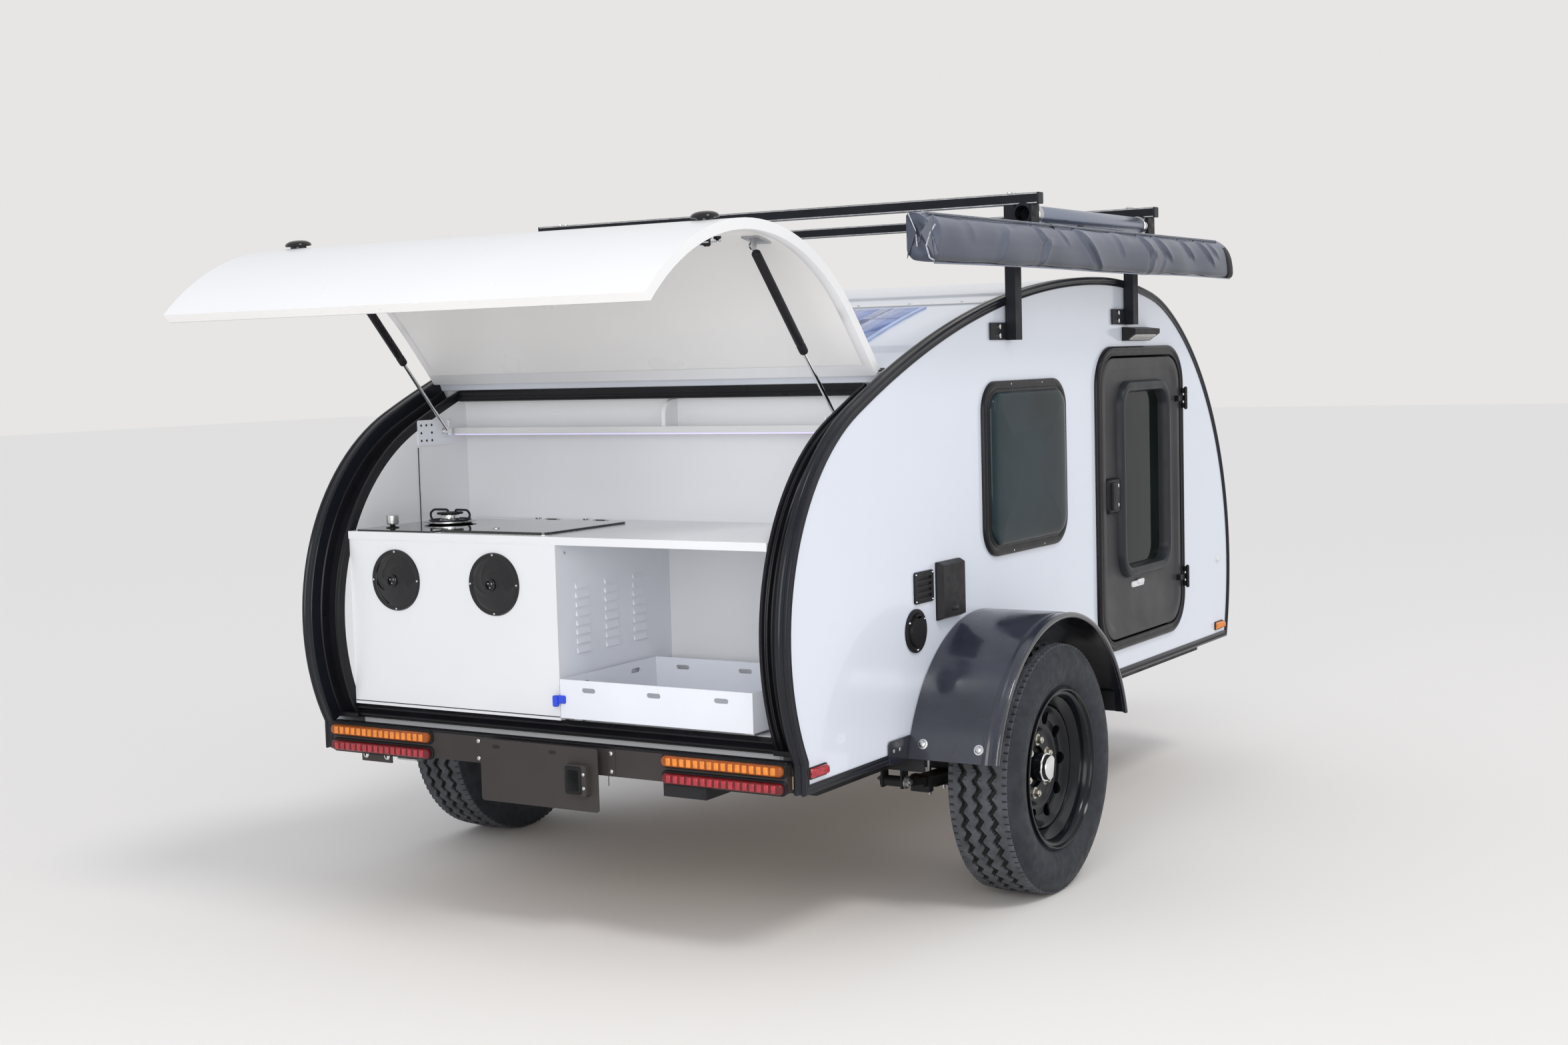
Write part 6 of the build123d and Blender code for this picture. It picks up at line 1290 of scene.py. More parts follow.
# sink lid: ground edge held clear of the hinge ears, a pad on the glass and two stops ahead of the hinge
lidLook = {
    "middle": (-708, 178, 994.5), "edge": (338.8, 350.8, 26), "pad": (-807, 220, 1000.5),
    "stops": ((-508, 160, 992), (-508, 320, 992)),
}
edgeLayers = [(0, 1.2), (0, 4.8), (0.5, 5.2), (0.5, 0.9)]
addPiece("lidEdge", [ringPlate(topSpot(*lidLook["middle"]), *lidLook["edge"], edgeLayers, 10)], "glassEdge", "lid")
padProfile = [(0, 0), (9, 0), (9, 1.6), (7.4, 2.4), (0, 2.4)]
addPiece("lidPads", [lathe(topSpot(*lidLook["pad"]), padProfile, 24)], "steelBright", "lid")
stopProfile = [(0, 0), (9, 0), (9, 10.1), (7.4, 10.9), (0, 10.9)]
addPiece("lidStops", [lathe(topSpot(*place), stopProfile, 24) for place in lidLook["stops"]], "steelBright")

# galley trim lines, screws, the lamp strip under the shelf and the shelf's edge
galleyLook = {
    "footLine": ((-893.6, -31, 544.2), (-893, 645, 546.6)), "postLine": (-613, -611.6, 643.4, 645.8, 994, 1196),
    "louvreScrews": ((-862, -424), (566, 950)), "lamp": ((-465, -640, 1223.5), (-457, 640, 1228.2)),
    "shelfEdge": ((-468, -645, 1228.5), (-466.2, 645, 1244.5)),
}
x0, x1, y0, y1, z0, z1 = galleyLook["postLine"]
galleyLines = [box(*galleyLook["footLine"]), box((x0, y0, z0), (x1, y1, z1)), box((x0, -y1, z0), (x1, -y0, z1))]
addPiece("galleyLines", galleyLines, "sealRubber")
xs, zs = galleyLook["louvreScrews"]
louvreScrews = [screw(Spot((x, -37, z), (1, 0, 0), (0, 0, 1)), 3.4, 1.8) for x in xs for z in zs]
addPiece("louvreScrews", louvreScrews, "steelZinc")
addPiece("lampStrip", [box(*galleyLook["lamp"])], "ledGlow")
addPiece("shelfEdge", [box(*galleyLook["shelfEdge"])], "boardEdge")

# tray: latch, slide ends and rivets
trayLook = {"boltHeights": (562, 620), "rivets": (-640, -560)}
latchParts = [
    plate(Spot((-896, -44, 592), (0, -1, 0), (0, 0, 1)), 26, 20, 4, [(0, 0), (0, 10), (2, 13)], 5),
    plate(Spot((-904, -30, 588), (0, -1, 0), (0, 0, 1)), 14, 28, 4, [(0, 0), (0, 8), (2, 10)], 5),
]
addPiece("trayLatch", latchParts, "latchBlue", "galley_tray")
slideParts = [box((-886, -38, 550), (-880, -22, 604)), box((-900, -39.6, 556), (-880, -36.6, 626))]
addPiece("slideEnd", slideParts, "steelZinc", "galley_tray")
slideBolts = [screw(Spot((-893, -39.8, z), (1, 0, 0), (0, 0, 1)), 4, 3) for z in trayLook["boltHeights"]]
addPiece("slideBolts", slideBolts, "plasticBlack", "galley_tray")
trayRivets = [screw(Spot((x, -43.2, 572), (1, 0, 0), (0, 0, 1)), 3.4, 1.6) for x in trayLook["rivets"]]
addPiece("trayRivets", trayRivets, "steelZinc", "galley_tray")
print("galley dressed")

# strut brackets on the side linings: rows of holes drawn as black discs of painted shade, and a bright pin fitting
bracketLook = {
    "holes": {1256: (-599, -578, -556), 1235: (-599, -556), 1214: (-599, -578, -556)}, "pin": (-505, -643, 1235),
}
bracketHoles = [
    lathe(facing((x, -642.9, z), (0, 1, 0), (0, 0, 1)), [(3.6, 0), (3.6, 0.3), (0, 0.3)], 12)
    for z, xs in bracketLook["holes"].items() for x in xs
]
bothSides("bracketHoles", bracketHoles, "shadeAndSeamBlack")
pinSpot = facing(bracketLook["pin"], (0, 1, 0), (0, 0, 1))
fitting = [lathe(pinSpot, [(12, 0), (12, 2), (9, 3), (7, 9), (0, 9)], 24),
           plate(pinSpot.moved(-18, 20), 9, 26, 3, [(0, 0), (0, 3), (1, 4)], 4)]
bothSides("pinFitting", fitting, "chrome")

# gas struts: painted tubes with a rolled neck and an eye, and bright rod ends
strutLook = {"eye": (-891.1, -628, 1669.3), "base": (-505, -628, 1235)}
strutEye, strutBase = np.array(strutLook["eye"]), np.array(strutLook["base"])
strutSpot = facing(strutEye, unit(strutBase - strutEye), (0, 1, 0))
tubeProfile = [(0, 14), (5, 14), (7.5, 17), (9.5, 18.5), (11, 22), (11, 296), (10.1, 298), (10.1, 301), (11, 303),
               (11, 322), (10.2, 326), (8.6, 328), (6, 328), (5.6, 326), (5.6, 34), (0, 34)]
eyeSpot = facing(strutEye + (0, -4, 0), (0, 1, 0), (0, 0, 1))
socket = washerRing(eyeSpot, [(4.6, 0), (8.4, 0), (9, 0.6), (9, 7.4), (8.4, 8), (4.6, 8)], 28)
neck = lathe(strutSpot, [(3.5, 7), (4.4, 9), (4.4, 15), (0, 15)], 16)
tubeBodies = ("right_strut_tube", "left_strut_tube")
tubeNodes = (("strut_tube_right",), ("strut_tube_left",))
bothSides("strutTube", [lathe(strutSpot, tubeProfile, 32), socket, neck], "plasticBlack", tubeBodies, tubeNodes)
rodEnd = facing(strutBase + (0, -5, 0), (0, 1, 0), (0, 0, 1))
rodParts = [lathe(rodEnd, [(0, -0.4), (8.6, 0), (9.4, 1), (9.4, 9), (8.6, 9.6), (0, 9.7)], 28)]
bothSides("rodEnd", rodParts, "chrome", ("right_strut_rod", "left_strut_rod"))

# hatch: a pale band round its inside edge, knobs outside and catches inside
hatchLook = {
    "inner": 27, "half": 706, "edge": 680, "band": 26, "hingeBand": 34, "hingeGap": 8, "foot": 493,
    "knobTurn": 76.5, "knobY": 614,
}
hatchStart = hingeTurn + roofStep(hatchLook["hingeGap"])
hatchEnd = tailTurn(hatchLook["foot"])


def hatchSpot(turn, inset, y, outward=True):
    station, height = opened(*skinPoint(turn, inset))
    nx, nz = skinNormal(turn)
    c, s = math.cos(hatchOpen), math.sin(hatchOpen)
    normal = np.array([nx * c + nz * s, 0, -nx * s + nz * c])
    return facing((station, y, height), normal if outward else -normal, (0, 1, 0))


def hatchStrip(start, end, inset, lowY, highY, step=30):
    # a thin band that follows the hatch's inside
    section = ((lowY, inset), (lowY + 1, inset + 0.9), (highY - 1, inset + 0.9), (highY, inset))
    rows = []
    for station, height, nx, nz in skinRun(start, end, step):
        rows.append([(station - nx * d, y, height - nz * d) for y, d in section])
    grid = np.array(rows, float)
    flat = grid.reshape(-1, 3)
    moved = np.array([opened(p[0], p[2]) for p in flat])
    grid = np.stack([moved[:, 0], flat[:, 1], moved[:, 1]], axis=1).reshape(grid.shape)
    return gridShape(grid, ringAcross=True)


inner, edge, half = hatchLook["inner"], hatchLook["edge"], hatchLook["half"]
footBand = hatchEnd - math.degrees(hatchLook["band"] / tailRadius)
hingeBand = hatchStart + roofStep(hatchLook["hingeBand"])
strips = [hatchStrip(hatchStart, hatchEnd, inner, low, high) for low, high in ((-half, -edge), (edge, half))]
strips.append(hatchStrip(footBand, hatchEnd, inner + 0.2, -half, half, 6))
strips.append(hatchStrip(hatchStart, hingeBand, inner + 0.3, -half, half, 10))
addPiece("hatchBands", strips, "boardWhite", "hatch_panel", sharp=50)
knobProfile = [(0, -1), (20, -1), (20, 3.5), (31, 4.5), (33, 7), (32, 10.5), (28, 14.5), (21, 17.8), (11, 19.6),
               (0, 20)]
knobPlaces = (-hatchLook["knobY"], hatchLook["knobY"])
knobs = [lathe(hatchSpot(hatchLook["knobTurn"], 2, y), knobProfile, 44) for y in knobPlaces]
addPiece("hatchKnobs", knobs, "ventBlack", "hatch_panel", replaces=("hatch_latches",))
smallKnob = [(0, 12), (8, 12), (9, 14), (8.4, 18), (3.4, 20), (3.4, 22), (0, 22)]
catches, catchPins, catchKnobs = [], [], []
for y in knobPlaces:
    at = hatchSpot(hatchLook["knobTurn"], inner + 0.2, y, outward=False)
    catches.append(plate(at, 44, 34, 5, [(0, -0.4), (0, 2.4), (1, 3.2)], 5))
    catches.append(plate(at.moved(-19, 0, 22), 66, 16, 6, [(0, 0), (0, 2.4), (0.6, 3)], 5))
    catches.append(plate(at.moved(2, 11, 3), 20, 3, 1, [(0, 0), (0, 26), (0.8, 27)], 3))
    catchKnobs.append(lathe(at, [(0, 2), (12, 2), (13, 6), (12.5, 14), (9, 18), (9, 30), (6, 33), (0, 33)], 28))
    catchKnobs.append(lathe(at.moved(-44, 0), smallKnob, 22))
    catchPins.append(lathe(at.moved(-44, 0), [(0, 24), (3, 24), (3, 26.5), (2, 27.4), (0, 27.4)], 14))
    catchPins += [screw(at.moved(a, b, 2.6), 3, 1.8) for a in (-15, 15) for b in (-11, 11)]
addPiece("hatchCatches", catches, "steelZinc", "hatch_panel")
addPiece("catchKnobs", catchKnobs, "plasticBlack", "hatch_panel")
addPiece("hatchCatchPins", catchPins, "chrome", "hatch_panel")
print("hatch dressed")

# wall fittings: screws, the round socket's rings and lock, the square cover and a clip
wallLook = {"cap": (-311, 830), "socket": (-357, 724), "cover": (-175, 810), "clip": (1844, 694)}
capAt, socketAt = wallSpot(*wallLook["cap"], 0), wallSpot(*wallLook["socket"], 8)
wallScrews = [screw(capAt.moved(a, b), 3.2, 7.6) for a in (-44, 44) for b in (-34, 34)]
for t in (0.6, 2.6, 4.7):
    wallScrews.append(screw(socketAt.moved(47 * math.cos(t), 47 * math.sin(t), -4), 3.4, 6))
addPiece("fittingScrews", wallScrews, "steelBright")
socketParts = [
    washerRing(socketAt, [(54, -7), (54, -4), (51, -1.5), (47, -1), (43, -2), (42, -6)], 56),
    washerRing(socketAt, [(36, -2), (36, 2), (33, 4), (30, 4), (29, 2), (29, -2)], 48),
    plate(socketAt.moved(0, 37), 26, 12, 4, [(0, -2), (0, 4), (1.5, 5)], 5),
]
addPiece("socketRings", socketParts, "plasticBlack")
addPiece("socketLock", [lathe(socketAt.moved(0, -6), [(0, 0), (9, 0), (9, 3), (7, 4), (0, 4)], 24)], "steelBright")
# the keyhole is a black slot of painted shade
addPiece("socketKeyhole", [plate(socketAt.moved(0, -6), 2.4, 9, 1, [(0, 3.9), (0, 4.3)], 3)], "shadeAndSeamBlack")
coverAt = wallSpot(*wallLook["cover"], 12)
coverParts = [plate(coverAt, 104, 116, 12, [(0, 0), (0, 5), (1.5, 6.5), (5, 7)], 6),
              plate(coverAt.moved(0, -48), 40, 12, 4, [(0, 5), (0, 9), (2, 10)], 5)]
addPiece("coverPanel", coverParts, "plasticBlack")
clipAt = wallSpot(*wallLook["clip"])
addPiece("wallClip", [softPlate(clipAt, 34, 22, 5, 7), screw(clipAt.moved(-8, 0, 7), 3.4, 1.5)], "clipWhite")
print("wall fittings dressed")

# roof rack: end caps, slot lines, bolts, and the carrying tube with its collars and clamps
rackLook = {
    "bars": (216, 1055), "middle": 1821, "half": 840, "postY": 757.5, "feet": ((148, 1469), (979, 1510)),
    "tube": (-797.8, 1780.7), "tubeRun": (196, 878), "collars": (262, 1022),
}
middle, half = rackLook["middle"], rackLook["half"]
caps, lines, rackBolts = [], [], []
for station in rackLook["bars"]:
    at = Spot((station, -half, middle), (1, 0, 0), (0, 0, 1))
    caps.append(plate(at, 31, 31, 3, [(0, -2), (0, 2.6), (1.2, 3.6)], 4))
    for z in (middle - 12.6, middle + 12.6):
        lines.append(box((station - 15.5, 2 - half, z - 1.5), (station - 14.8, 0, z + 1.5)))
        lines.append(box((station + 14.8, 2 - half, z - 1.5), (station + 15.5, 0, z + 1.5)))
boltProfile = [(0, 0), (9, 0), (9, 1.6), (7, 2), (7, 6), (4, 7.4), (0, 7.4)]
for foot in rackLook["feet"]:
    rackBolts += [lathe(wallSpot(*foot, 4).moved(0, v), boltProfile, 16) for v in (-12, 12)]
for station in rackLook["bars"]:
    for side in (-1, 1):
        at = Spot((station + side * 14, -rackLook["postY"], middle + 15), (1, 0, 0), (0, 1, 0))
        rackBolts.append(lathe(at, [(0, 0), (6.5, 0), (6.5, 4), (5, 5), (0, 5)], 6))
bothSides("rackCaps", caps, "surroundBlack")
bothSides("rackLines", lines, "steelZinc")
bothSides("rackBolts", rackBolts, "steelBright")


def alongTube(station):
    return Spot((station, *rackLook["tube"]), (0, 1, 0), (0, 0, 1))


start, long = rackLook["tubeRun"]
collarProfile = [(25.2, -14), (27.5, -13), (27.5, 13), (25.2, 14), (24.6, 0)]
clampProfile = [(25.2, -22), (29, -21), (30, -18), (30, 18), (29, 21), (25.2, 22), (24.6, 0)]
endProfile = [(21.6, -3), (26, -3), (27.4, -1), (27.4, 44), (26, 46), (24, 46), (21.6, 40)]
tubeWall = [(22, 0), (24.6, 0), (25, 1), (25, long), (24.6, long + 1), (22, long + 1)]
addPiece("rackTube", [washerRing(alongTube(start), tubeWall, 48)], "tubeGrey", replaces=("rack_tube",))
collars = [washerRing(alongTube(station), collarProfile, 40) for station in rackLook["collars"]]
addPiece("rackCollars", collars, "steelBright")
clamps = [washerRing(alongTube(station), clampProfile, 40) for station in rackLook["bars"]]
clamps.append(washerRing(alongTube(start), endProfile, 48))
for station in rackLook["bars"]:
    for v in (-29, 29):
        at = facing((station, -770, rackLook["tube"][1] + v), (0, -1, 0), (0, 0, 1))
        clamps.append(lathe(at, [(0, -12), (5, -12), (5, 3), (0, 3)], 8))
addPiece("rackClamps", clamps, "rackBlack")
print("rack dressed")

# awning bag: a lofted sleeve that sags between its clamps, with creases, zip, rail and folded end
bagLook = {
    "rear": -525, "front": 1541, "innerY": -827.2, "bottom": 1631, "top": 1753, "depth": 83, "middle": (-868, 1690),
    "stations": 420, "around": 96, "seed": 11,
    # folds of the cloth: station at the top and at the foot, height, width, and where it fades in and out
    "folds": (
        (-470, -540, 6, 15, 0.0, 1.0), (-70, -190, 6, 22, 0.05, 0.8), (90, 170, 7, 12, 0.45, 1.0),
        (190, 70, 8, 12, 0.0, 0.55), (235, 300, 4, 12, 0.5, 1.0), (360, 470, 10, 15, 0.0, 1.0),
        (815, 905, 8, 13, 0.35, 1.0), (915, 820, 7, 12, 0.0, 0.5), (935, 1045, 9, 15, 0.3, 1.0),
        (1055, 915, 5, 13, 0.0, 0.35), (1150, 1250, 8, 13, 0.35, 1.0), (1290, 1400, 8, 13, 0.25, 1.0),
        (1380, 1460, 6, 11, 0.45, 1.0), (620, 660, 3, 20, 0.3, 1.0), (-300, -330, 3, 24, 0.4, 1.0),
    ),
}


def bagSection(look):
    # corners of the sleeve's section, rounded by averaging
    y, low, high, deep = look["innerY"], look["bottom"], look["top"], look["depth"]
    corners = np.array([
        (y, high - 4), (y, low + 24), (y - 16, low + 5), (y - deep + 26, low - 1), (y - deep + 3, low),
        (y - deep - 1, low + 9), (y - deep - 0.5, low + 34), (y - deep + 4, low + 62), (y - deep + 12, low + 84),
        (y - deep + 25, high - 20), (y - deep + 42, high - 7), (y - 24, high), (y - 12, high),
    ])
    legs = np.linalg.norm(np.roll(corners, -1, 0) - corners, axis=1)
    walk = np.concatenate([[0], np.cumsum(legs)])
    spots = np.linspace(0, walk[-1], look["around"], endpoint=False)
    closed = np.vstack([corners, corners[:1]])
    loop = np.stack([np.interp(spots, walk, closed[:, k]) for k in (0, 1)], axis=1)
    for _ in range(6):
        loop = 0.5 * loop + 0.25 * (np.roll(loop, 1, 0) + np.roll(loop, -1, 0))
    return loop


def clampSag(x):
    # how far the cloth hangs between the rack's two clamps
    rear, front = rackLook["bars"]
    return -2.5 * math.sin(math.pi * np.clip((x - rear) / (front - rear), 0, 1))


def bagSag(x, look=bagLook):
    # with the droop of both free ends
    clamp = rackLook["bars"][1]
    behind, ahead = max(0, x / look["rear"]), max(0, (x - clamp) / (look["front"] - clamp))
    return clampSag(x) - 3.0 * behind ** 2 - 2 * ahead ** 2


def bagShape(look):
    dice = np.random.default_rng(look["seed"])
    base = bagSection(look)
    middle = base.mean(0)
    lift = (base[:, 1] - look["bottom"]) / (look["top"] - look["bottom"])
    outer = np.clip((middle[0] + 10 - base[:, 0]) / 40, 0, 1)
    out = (base - middle) / np.linalg.norm(base - middle, axis=1)[:, None]
    waves = []
    for _ in range(14):
        rate, phase = dice.uniform(0.004, 0.03), dice.uniform(0, 6.3)
        waves.append((rate, phase, dice.uniform(-0.03, 0.03), dice.uniform(0.2, 0.7)))
    loops = []
    for x in np.linspace(look["rear"], look["front"], look["stations"]):
        push = np.zeros(len(base))
        for top, foot, size, width, fadeIn, fadeOut in look["folds"]:
            along = x - top * lift - foot * (1 - lift)
            fade = np.clip((lift - fadeIn) / 0.2 + 0.2, 0, 1) * np.clip((fadeOut - lift) / 0.2 + 0.6, 0, 1)
            # a crest that falls steeply to the rear and runs out slowly to the front
            rise = np.where(along < 0, np.exp(along / (0.55 * width)), np.exp(-along / (2.4 * width)))
            push += size * (0.8 * rise - 0.35 * np.exp(-((along + 1.5 * width) / width) ** 2)) * outer * fade
        for rate, phase, tilt, size in waves:
            push += size * np.sin(rate * x + phase + tilt * base[:, 1]) * (0.4 + outer)
        loop = base + out * (push - 1.2)[:, None]
        nearEnd = min(1, (x - look["rear"]) / 46, (look["front"] - x) / 16)
        loop = middle + (loop - middle) * (0.965 + 0.035 * nearEnd ** 0.5)
        loop[:, 0] = np.minimum(loop[:, 0], look["innerY"])
        heights = loop[:, 1] + bagSag(x) * (0.3 + 0.7 * (1 - lift))
        loops.append(np.stack([np.full(len(base), x), loop[:, 0], heights], axis=1))
    # rear end: cloth folded in towards an upright seam
    first = loops[0]
    centre = first.mean(0)
    turn = np.arctan2(first[:, 2] - centre[2], first[:, 1] - centre[1])
    folded = []
    for share, depth in ((0.93, -7), (0.8, -10), (0.62, -9), (0.42, -5), (0.22, -7), (0.06, -4)):
        spot = centre + (first - centre) * share
        crease = 5 * np.maximum(0, np.cos(2 * turn + 0.6)) ** 2 * math.sin(math.pi * share)
        crease = crease + 2.4 * np.abs(np.sin(3 * turn + share * 3))
        folded.append(np.stack([look["rear"] + depth + 8 - crease * 0.8, spot[:, 1], spot[:, 2]], axis=1))
    last = loops[-1]
    centre = last.mean(0)
    tail = []
    for share, ahead in ((0.96, 1.5), (0.85, 2.4), (0.4, 3), (0.05, 3)):
        spot = centre + (last - centre) * share
        tail.append(np.stack([np.full(len(last), look["front"] + ahead), spot[:, 1], spot[:, 2]], axis=1))
    return loft(folded[::-1] + loops + tail)


addPiece("awningBag", bagShape(bagLook), "bagVinyl", replaces=("awning_bag",), sharp=60)


def bagTopRun(offset, height, step=40):
    y, top = bagLook["innerY"] - offset, bagLook["top"] + height
    return np.array([(x, y, top + clampSag(x) * 0.3) for x in np.arange(-500, 1520, step)])


piping = [tube(bagTopRun(offset, drop), 2, 8) for offset, drop in ((12, -0.6), (44, -7.5))]
addPiece("bagPiping", piping, "bagVinyl")
zipRun = bagTopRun(34, -3.4, step=8)
teeth = [box((x - 2.6, y - 2.6, z - 0.5), (x + 2.6, y + 2.6, z + 1.8)) for x, y, z in zipRun]
addPiece("bagZip", teeth, "zipGrey")
puller = [tube(bentPath([(236, -846, 1754), (232, -858, 1752), (228, -872, 1744), (226, -876, 1732)], 6), 2.6, 8),
          plate(facing((470, -846, 1753), (0, 0, 1), (1, 0, 0)), 12, 26, 3, [(0, 0), (0, 3), (1, 4)], 4)]
addPiece("bagPull", puller, "plasticBlack")
railRun = [(x, -900, bagLook["bottom"] - 0.5 + bagSag(x)) for x in np.linspace(-520, 1536, 60)]
addPiece("bagRail", [tube(railRun, 2.4, 8)], "tubeGrey")
bandLoops = []
for x, grow in ((1496, 0.99), (1498, 1.015), (1536, 1.015), (1543, 0.98)):
    y, z = ((bagSection(bagLook) - bagLook["middle"]) * grow + bagLook["middle"]).T
    bandLoops.append(np.stack([np.full(len(y), x), np.minimum(y, bagLook["innerY"] + 0.6), z - 1.5], axis=1))
addPiece("bagBand", [loft(bandLoops)], "plasticBlack", sharp=50)
fold = ((-527, 37, 1742), (-536, 6, 1700), (-527, 36, 1640), (-529.5, 30, 1692))
flapFaces = [(0, 1, 2, 3), (7, 6, 5, 4), (0, 4, 5, 1), (1, 5, 6, 2), (2, 6, 7, 3), (3, 7, 4, 0)]
flaps = []
for sign in (-1, 1):
    low = np.array([(x, bagLook["middle"][0] + sign * aside, z) for x, aside, z in fold])
    flaps.append((np.vstack([low, low - (2, 0, 0)]), flapFaces))
addPiece("bagFlaps", flaps, "bagVinyl")
binding = [(-523, -905, 1718), (-530, -896, 1700), (-534, -886, 1668), (-531, -893, 1640), (-524, -902, 1633)]
inside = [(-526, -836, 1746), (-534, -858, 1706), (-534, -862, 1668)]
addPiece("bagBinding", [tube(binding, 2.2, 8), tube(inside, 1.6, 8)], "zipGrey")
print("awning bag packed")

# solar panel: a curved sheet with rows of cells, thin lines between them
solarLook = {
    "front": 83, "low": -542, "rows": 4, "columns": 9, "pitch": (121, 121.4), "cell": 117, "proud": 1.4,
    "lines": (29, 58, 87), "lineWidth": 1.4, "lineEnd": -400, "seam": (150, 130), "screws": 9,
}


def roofPatch(front, rear, lowY, highY, proud, thick=0.6):
    rows = []
    for t in np.linspace(roofTurn(front), roofTurn(rear), max(2, int((front - rear) / 30))):
        x0, z0 = skinPoint(t, -proud)
        x1, z1 = skinPoint(t, -proud - thick)
        rows.append([(x0, lowY, z0), (x1, lowY + 0.6, z1), (x1, highY - 0.6, z1), (x0, highY, z0)])
    points, faces = gridShape(np.array(rows, float), ringAcross=True)
    count = len(rows)
    faces += [(0, 1, 2, 3), (4 * count - 1, 4 * count - 2, 4 * count - 3, 4 * count - 4)]
    return points, faces


cells, busbars = [], []
cell, proud = solarLook["cell"], solarLook["proud"]
for row in range(solarLook["rows"]):
    front = solarLook["front"] - row * solarLook["pitch"][0]
    for column in range(solarLook["columns"]):
        low = solarLook["low"] + column * solarLook["pitch"][1]
        cells.append(roofPatch(front, front - cell, low, low + cell, proud, 0.5))
for column in range(solarLook["columns"]):
    for across in solarLook["lines"]:
        low = solarLook["low"] + column * solarLook["pitch"][1] + across
        high = low + solarLook["lineWidth"]
        busbars.append(roofPatch(solarLook["front"], solarLook["lineEnd"], low, high, proud + 0.5, 0.3))
addPiece("solarCells", cells, "solarCell", sharp=40)
addPiece("solarLines", busbars, "tubeGrey", sharp=40)
ahead, behind = solarLook["seam"]
# the roof seam in the warm painted-sunlight copy of the white paint
addPiece("roofSeam", [roofPatch(ahead, behind, -711, 711, -0.4, 1.6)], "warmLitWhite")
seamTurn = roofTurn((ahead + behind) / 2)
x, z = skinPoint(seamTurn, -1.2)
nx, nz = skinNormal(seamTurn)
places = np.linspace(-640, 640, solarLook["screws"])
seamScrews = [screw(facing((x, y, z), (nx, 0, nz), (0, 1, 0)), 4, 1.6) for y in places]
addPiece("seamScrews", seamScrews, "steelZinc")
print("roof dressed")

# running gear: spring leaves and clips, U-bolts with their nuts, and the eye bolts
springLook = {
    "leaves": ((250, 7), (190, 14), (120, 21)), "top": 298.5, "half": 300, "rise": 26, "clips": (-150, 150),
    "bolts": (-42, 42), "across": (-674, -606), "eyeHeight": 324.5,
}


def springRise(x):
    return springLook["rise"] * (x / springLook["half"]) ** 2


leafShapes = []
for half, drop in springLook["leaves"]:
    run = [(x, springLook["top"] - drop + springRise(x), 0, 1) for x in np.linspace(-half, half, 20)]
    leafShapes.append(sweepRun(run, [(0, -665.6), (0, -614.4), (-6, -614.4), (-6, -665.6)]))
for x in springLook["clips"]:
    z = 284 + springRise(x)
    leafShapes.append(box((x - 12, -668, z - 22), (x + 12, -612, z + 22)))
bothSides("springLeaves", leafShapes, "underPaint")
uBolts = []
outerY, innerY = springLook["across"]
boltProfile = [(0, 0), (13, 0), (13, 3), (10, 3), (10, 13), (9, 14), (0, 14)]
for x in springLook["bolts"]:
    path = [(x, outerY, 236), (x, outerY, 348), (x, innerY, 348), (x, innerY, 236)]
    uBolts.append(tube(bentPath(path, 14), 5.5, 12))
    uBolts += [lathe(Spot((x, y, 268), (1, 0, 0), (0, -1, 0)), boltProfile, 6) for y in (outerY, innerY)]
bothSides("springBolts", uBolts, "steelZinc")
eyeBolts = []
for x in (-springLook["half"], springLook["half"]):
    for y, out in ((outerY, -1), (innerY, 1)):
        eyeBolts.append(hexNut(facing((x, y, springLook["eyeHeight"]), (0, out, 0), (0, 0, 1)), 12, 10, 6))
bothSides("springEyeBolts", eyeBolts, "steelZinc")
print("running gear dressed")

# safety chain: welded round links in place of the plain ones
chainLook = {"station": 2610, "eye": 313, "radius": 75.2, "pitch": 30, "wire": 4, "links": 15, "long": 40, "wide": 20}


def chainPlace(run, look):
    # straight down, half a turn under the drawbar, straight up
    radius, eye = look["radius"], look["eye"]
    drop = (look["links"] * look["pitch"] - math.pi * radius) / 2
    if run < drop:
        return -radius, eye - run, 90
    if run > drop + math.pi * radius:
        return radius, eye - drop + run - drop - math.pi * radius, 90
    turn = (run - drop) / radius
    return -radius * math.cos(turn), eye - drop - radius * math.sin(turn), 90 - math.degrees(turn)


def chainLinks(look):
    links = []
    for number in range(look["links"]):
        y, z, slope = chainPlace((number + 0.5) * look["pitch"], look)
        along = np.array([0, math.cos(math.radians(slope)), -math.sin(math.radians(slope))])
        flat = np.cross((1, 0, 0), along) if number % 2 else np.array([1.0, 0, 0])
        middle = np.array([look["station"], y, z])
        half, bend = (look["long"] - look["wide"]) / 2, look["wide"] / 2
        path = []
        for t in np.linspace(0, 2 * math.pi, 24, endpoint=False):
            reach = half if math.cos(t) >= 0 else -half
            path.append(middle + along * (reach + bend * math.cos(t)) + flat * bend * math.sin(t))
        links.append(tube(path, look["wire"], 10, closed=True))
    return links


addPiece("safetyChain", chainLinks(chainLook), "steelZinc", replaces=("safety_chain",))

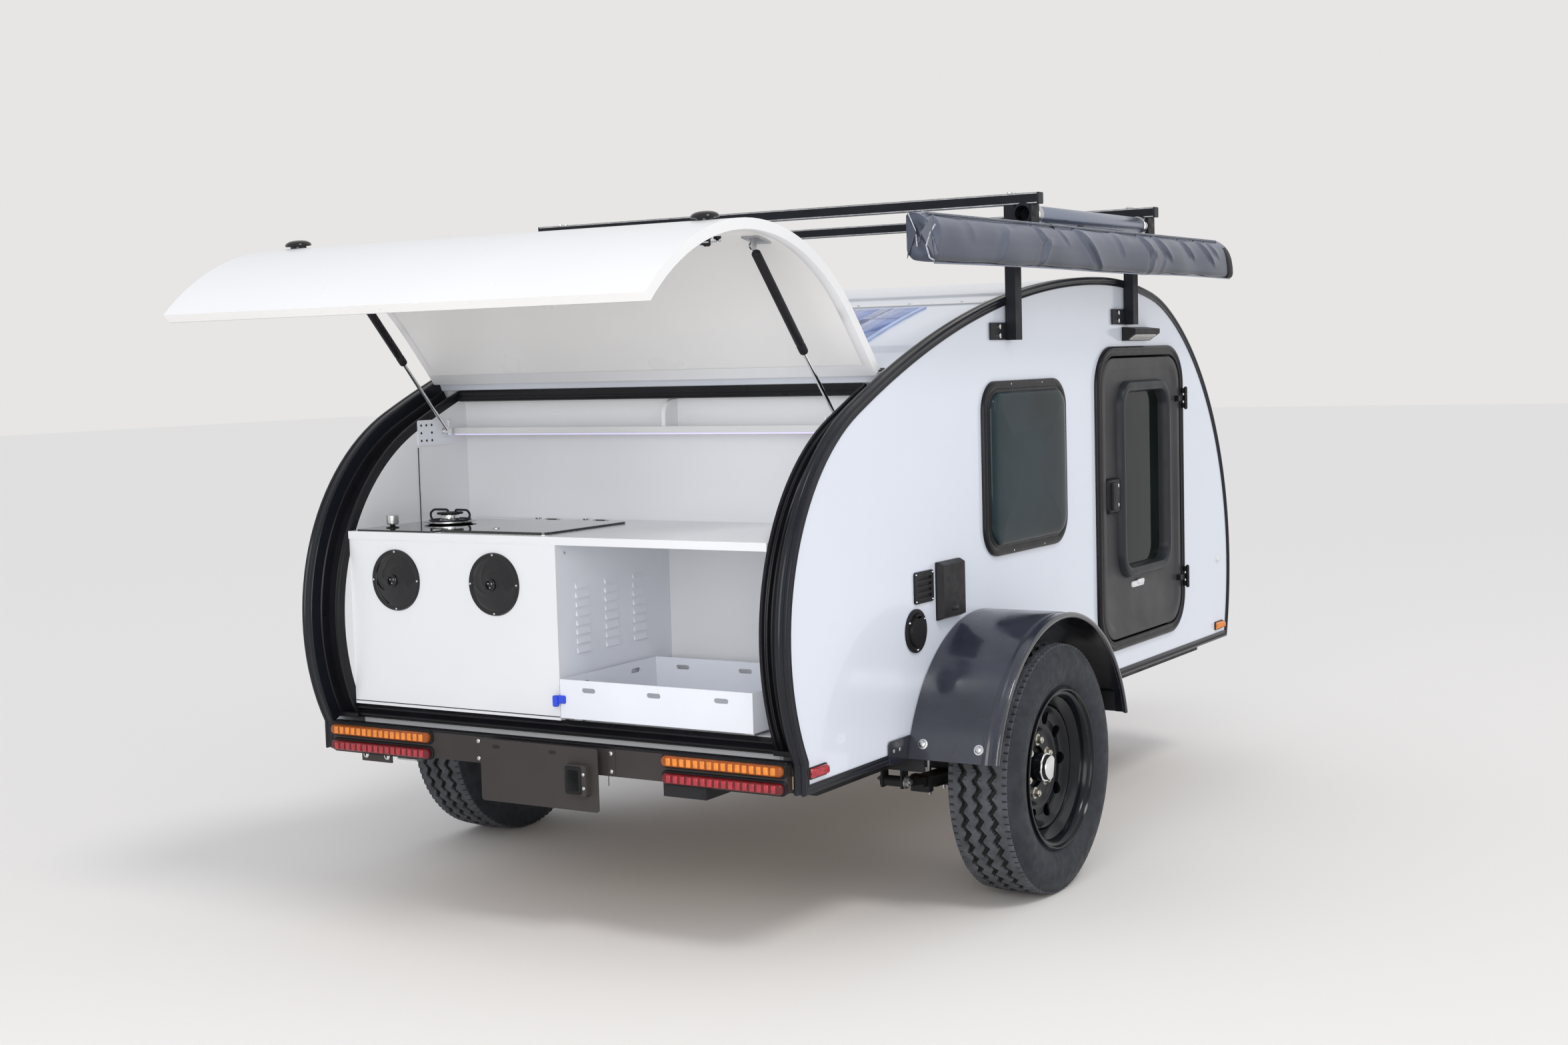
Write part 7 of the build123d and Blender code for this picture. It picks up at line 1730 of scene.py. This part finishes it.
# hitch: bolts through the tail plate, latch pin, the cup's rim and a soft grip
hitchLook = {"bolts": (2596, 2750), "pin": (2742, 415), "cup": (2790, 0, 353), "grip": (2652, 0, 449)}
hitch = [hexNut(topSpot(x, y, 383), 11, 10, 5) for x in hitchLook["bolts"] for y in (-33, 33)]
x, z = hitchLook["pin"]
hitch.append(tube([(x, -24, z), (x, 24, z)], 6, 14))
for s in (-1, 1):
    hitch.append(lathe(facing((x, s * 20, z), (0, s, 0), (0, 0, 1)), [(0, 0), (9, 0), (9, 3), (0, 4)], 16))
hitch.append(washerRing(topSpot(*hitchLook["cup"]), [(52.4, 0), (54, 1), (54, 7), (52.4, 8)], 48))
addPiece("hitchBolts", hitch, "steelZinc")
grip = [plate(facing(hitchLook["grip"], (0, 0, 1), (1, 0, 0)), 26, 50, 9, [(0, -8), (0, 5), (3, 8)], 6)]
addPiece("hitchGrip", grip, "plasticBlack")

# jack: clamp band, crank grip, and the small wheel with a metal centre
jackLook = {"place": (2460, 240), "clamp": 393, "grip": (138, 656), "wheel": (2418, 240, 100), "width": 58}
jx, jy = jackLook["place"]
clampZ = jackLook["clamp"]
clampParts = []
for z in (clampZ - 11, clampZ + 11):
    clampParts.append(washerRing(topSpot(jx, jy, z), [(30.2, -7), (33, -6), (33, 6), (30.2, 7)], 40))
clampParts += [hexNut(facing((jx + s * 20, jy - 62, clampZ), (0, -1, 0), (0, 0, 1)), 8, 7, 4) for s in (-1, 1)]
addPiece("jackClamp", clampParts, "steelZinc")
gripAt = topSpot(jx + jackLook["grip"][0], jy, jackLook["grip"][1])
gripProfile = [(0, 0), (12.6, 0), (14, 4), (13, 12), (14.4, 22), (13, 32), (14.4, 42), (13, 52), (12, 57), (0, 58)]
addPiece("crankGrip", [lathe(gripAt, gripProfile, 28)], "plasticBlack")
wx, wy, wz = jackLook["wheel"]
wheelAt = facing((wx, wy, wz), (0, -1, 0), (0, 0, 1))
half = jackLook["width"] / 2


def bothFaces(profile):
    # one half of a wheel's section, from its outer face inwards, and the same again behind
    return profile + [(r, -out) for r, out in reversed(profile)]


jockeyTyre = bothFaces([(74, -half + 7), (78, -half + 2), (86, -half), (94, -half + 3), (99, -half + 12),
                        (100, -half + 20), (98.6, -6), (98.6, -3), (100, -2)])
addPiece("jockeyTyre", [washerRing(wheelAt, jockeyTyre, 64)], "tyreRubber", "caster_wheel", replaces=("jockey_wheel",))
jockeyRim = bothFaces([(8.6, -half + 4), (20, -half + 4), (22, -half + 12), (60, -half + 14), (66, -half + 6),
                       (75, -half + 5)])
addPiece("jockeyRim", [washerRing(wheelAt, jockeyRim, 48)], "steelZinc", "caster_wheel")
wheelNuts = [hexNut(facing((wx, wy + s * 41, wz), (0, s, 0), (0, 0, 1)), 11, 8, 4) for s in (-1, 1)]
addPiece("jockeyNuts", wheelNuts, "steelZinc", "caster_fork")
print("hitch and jack dressed")

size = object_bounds()
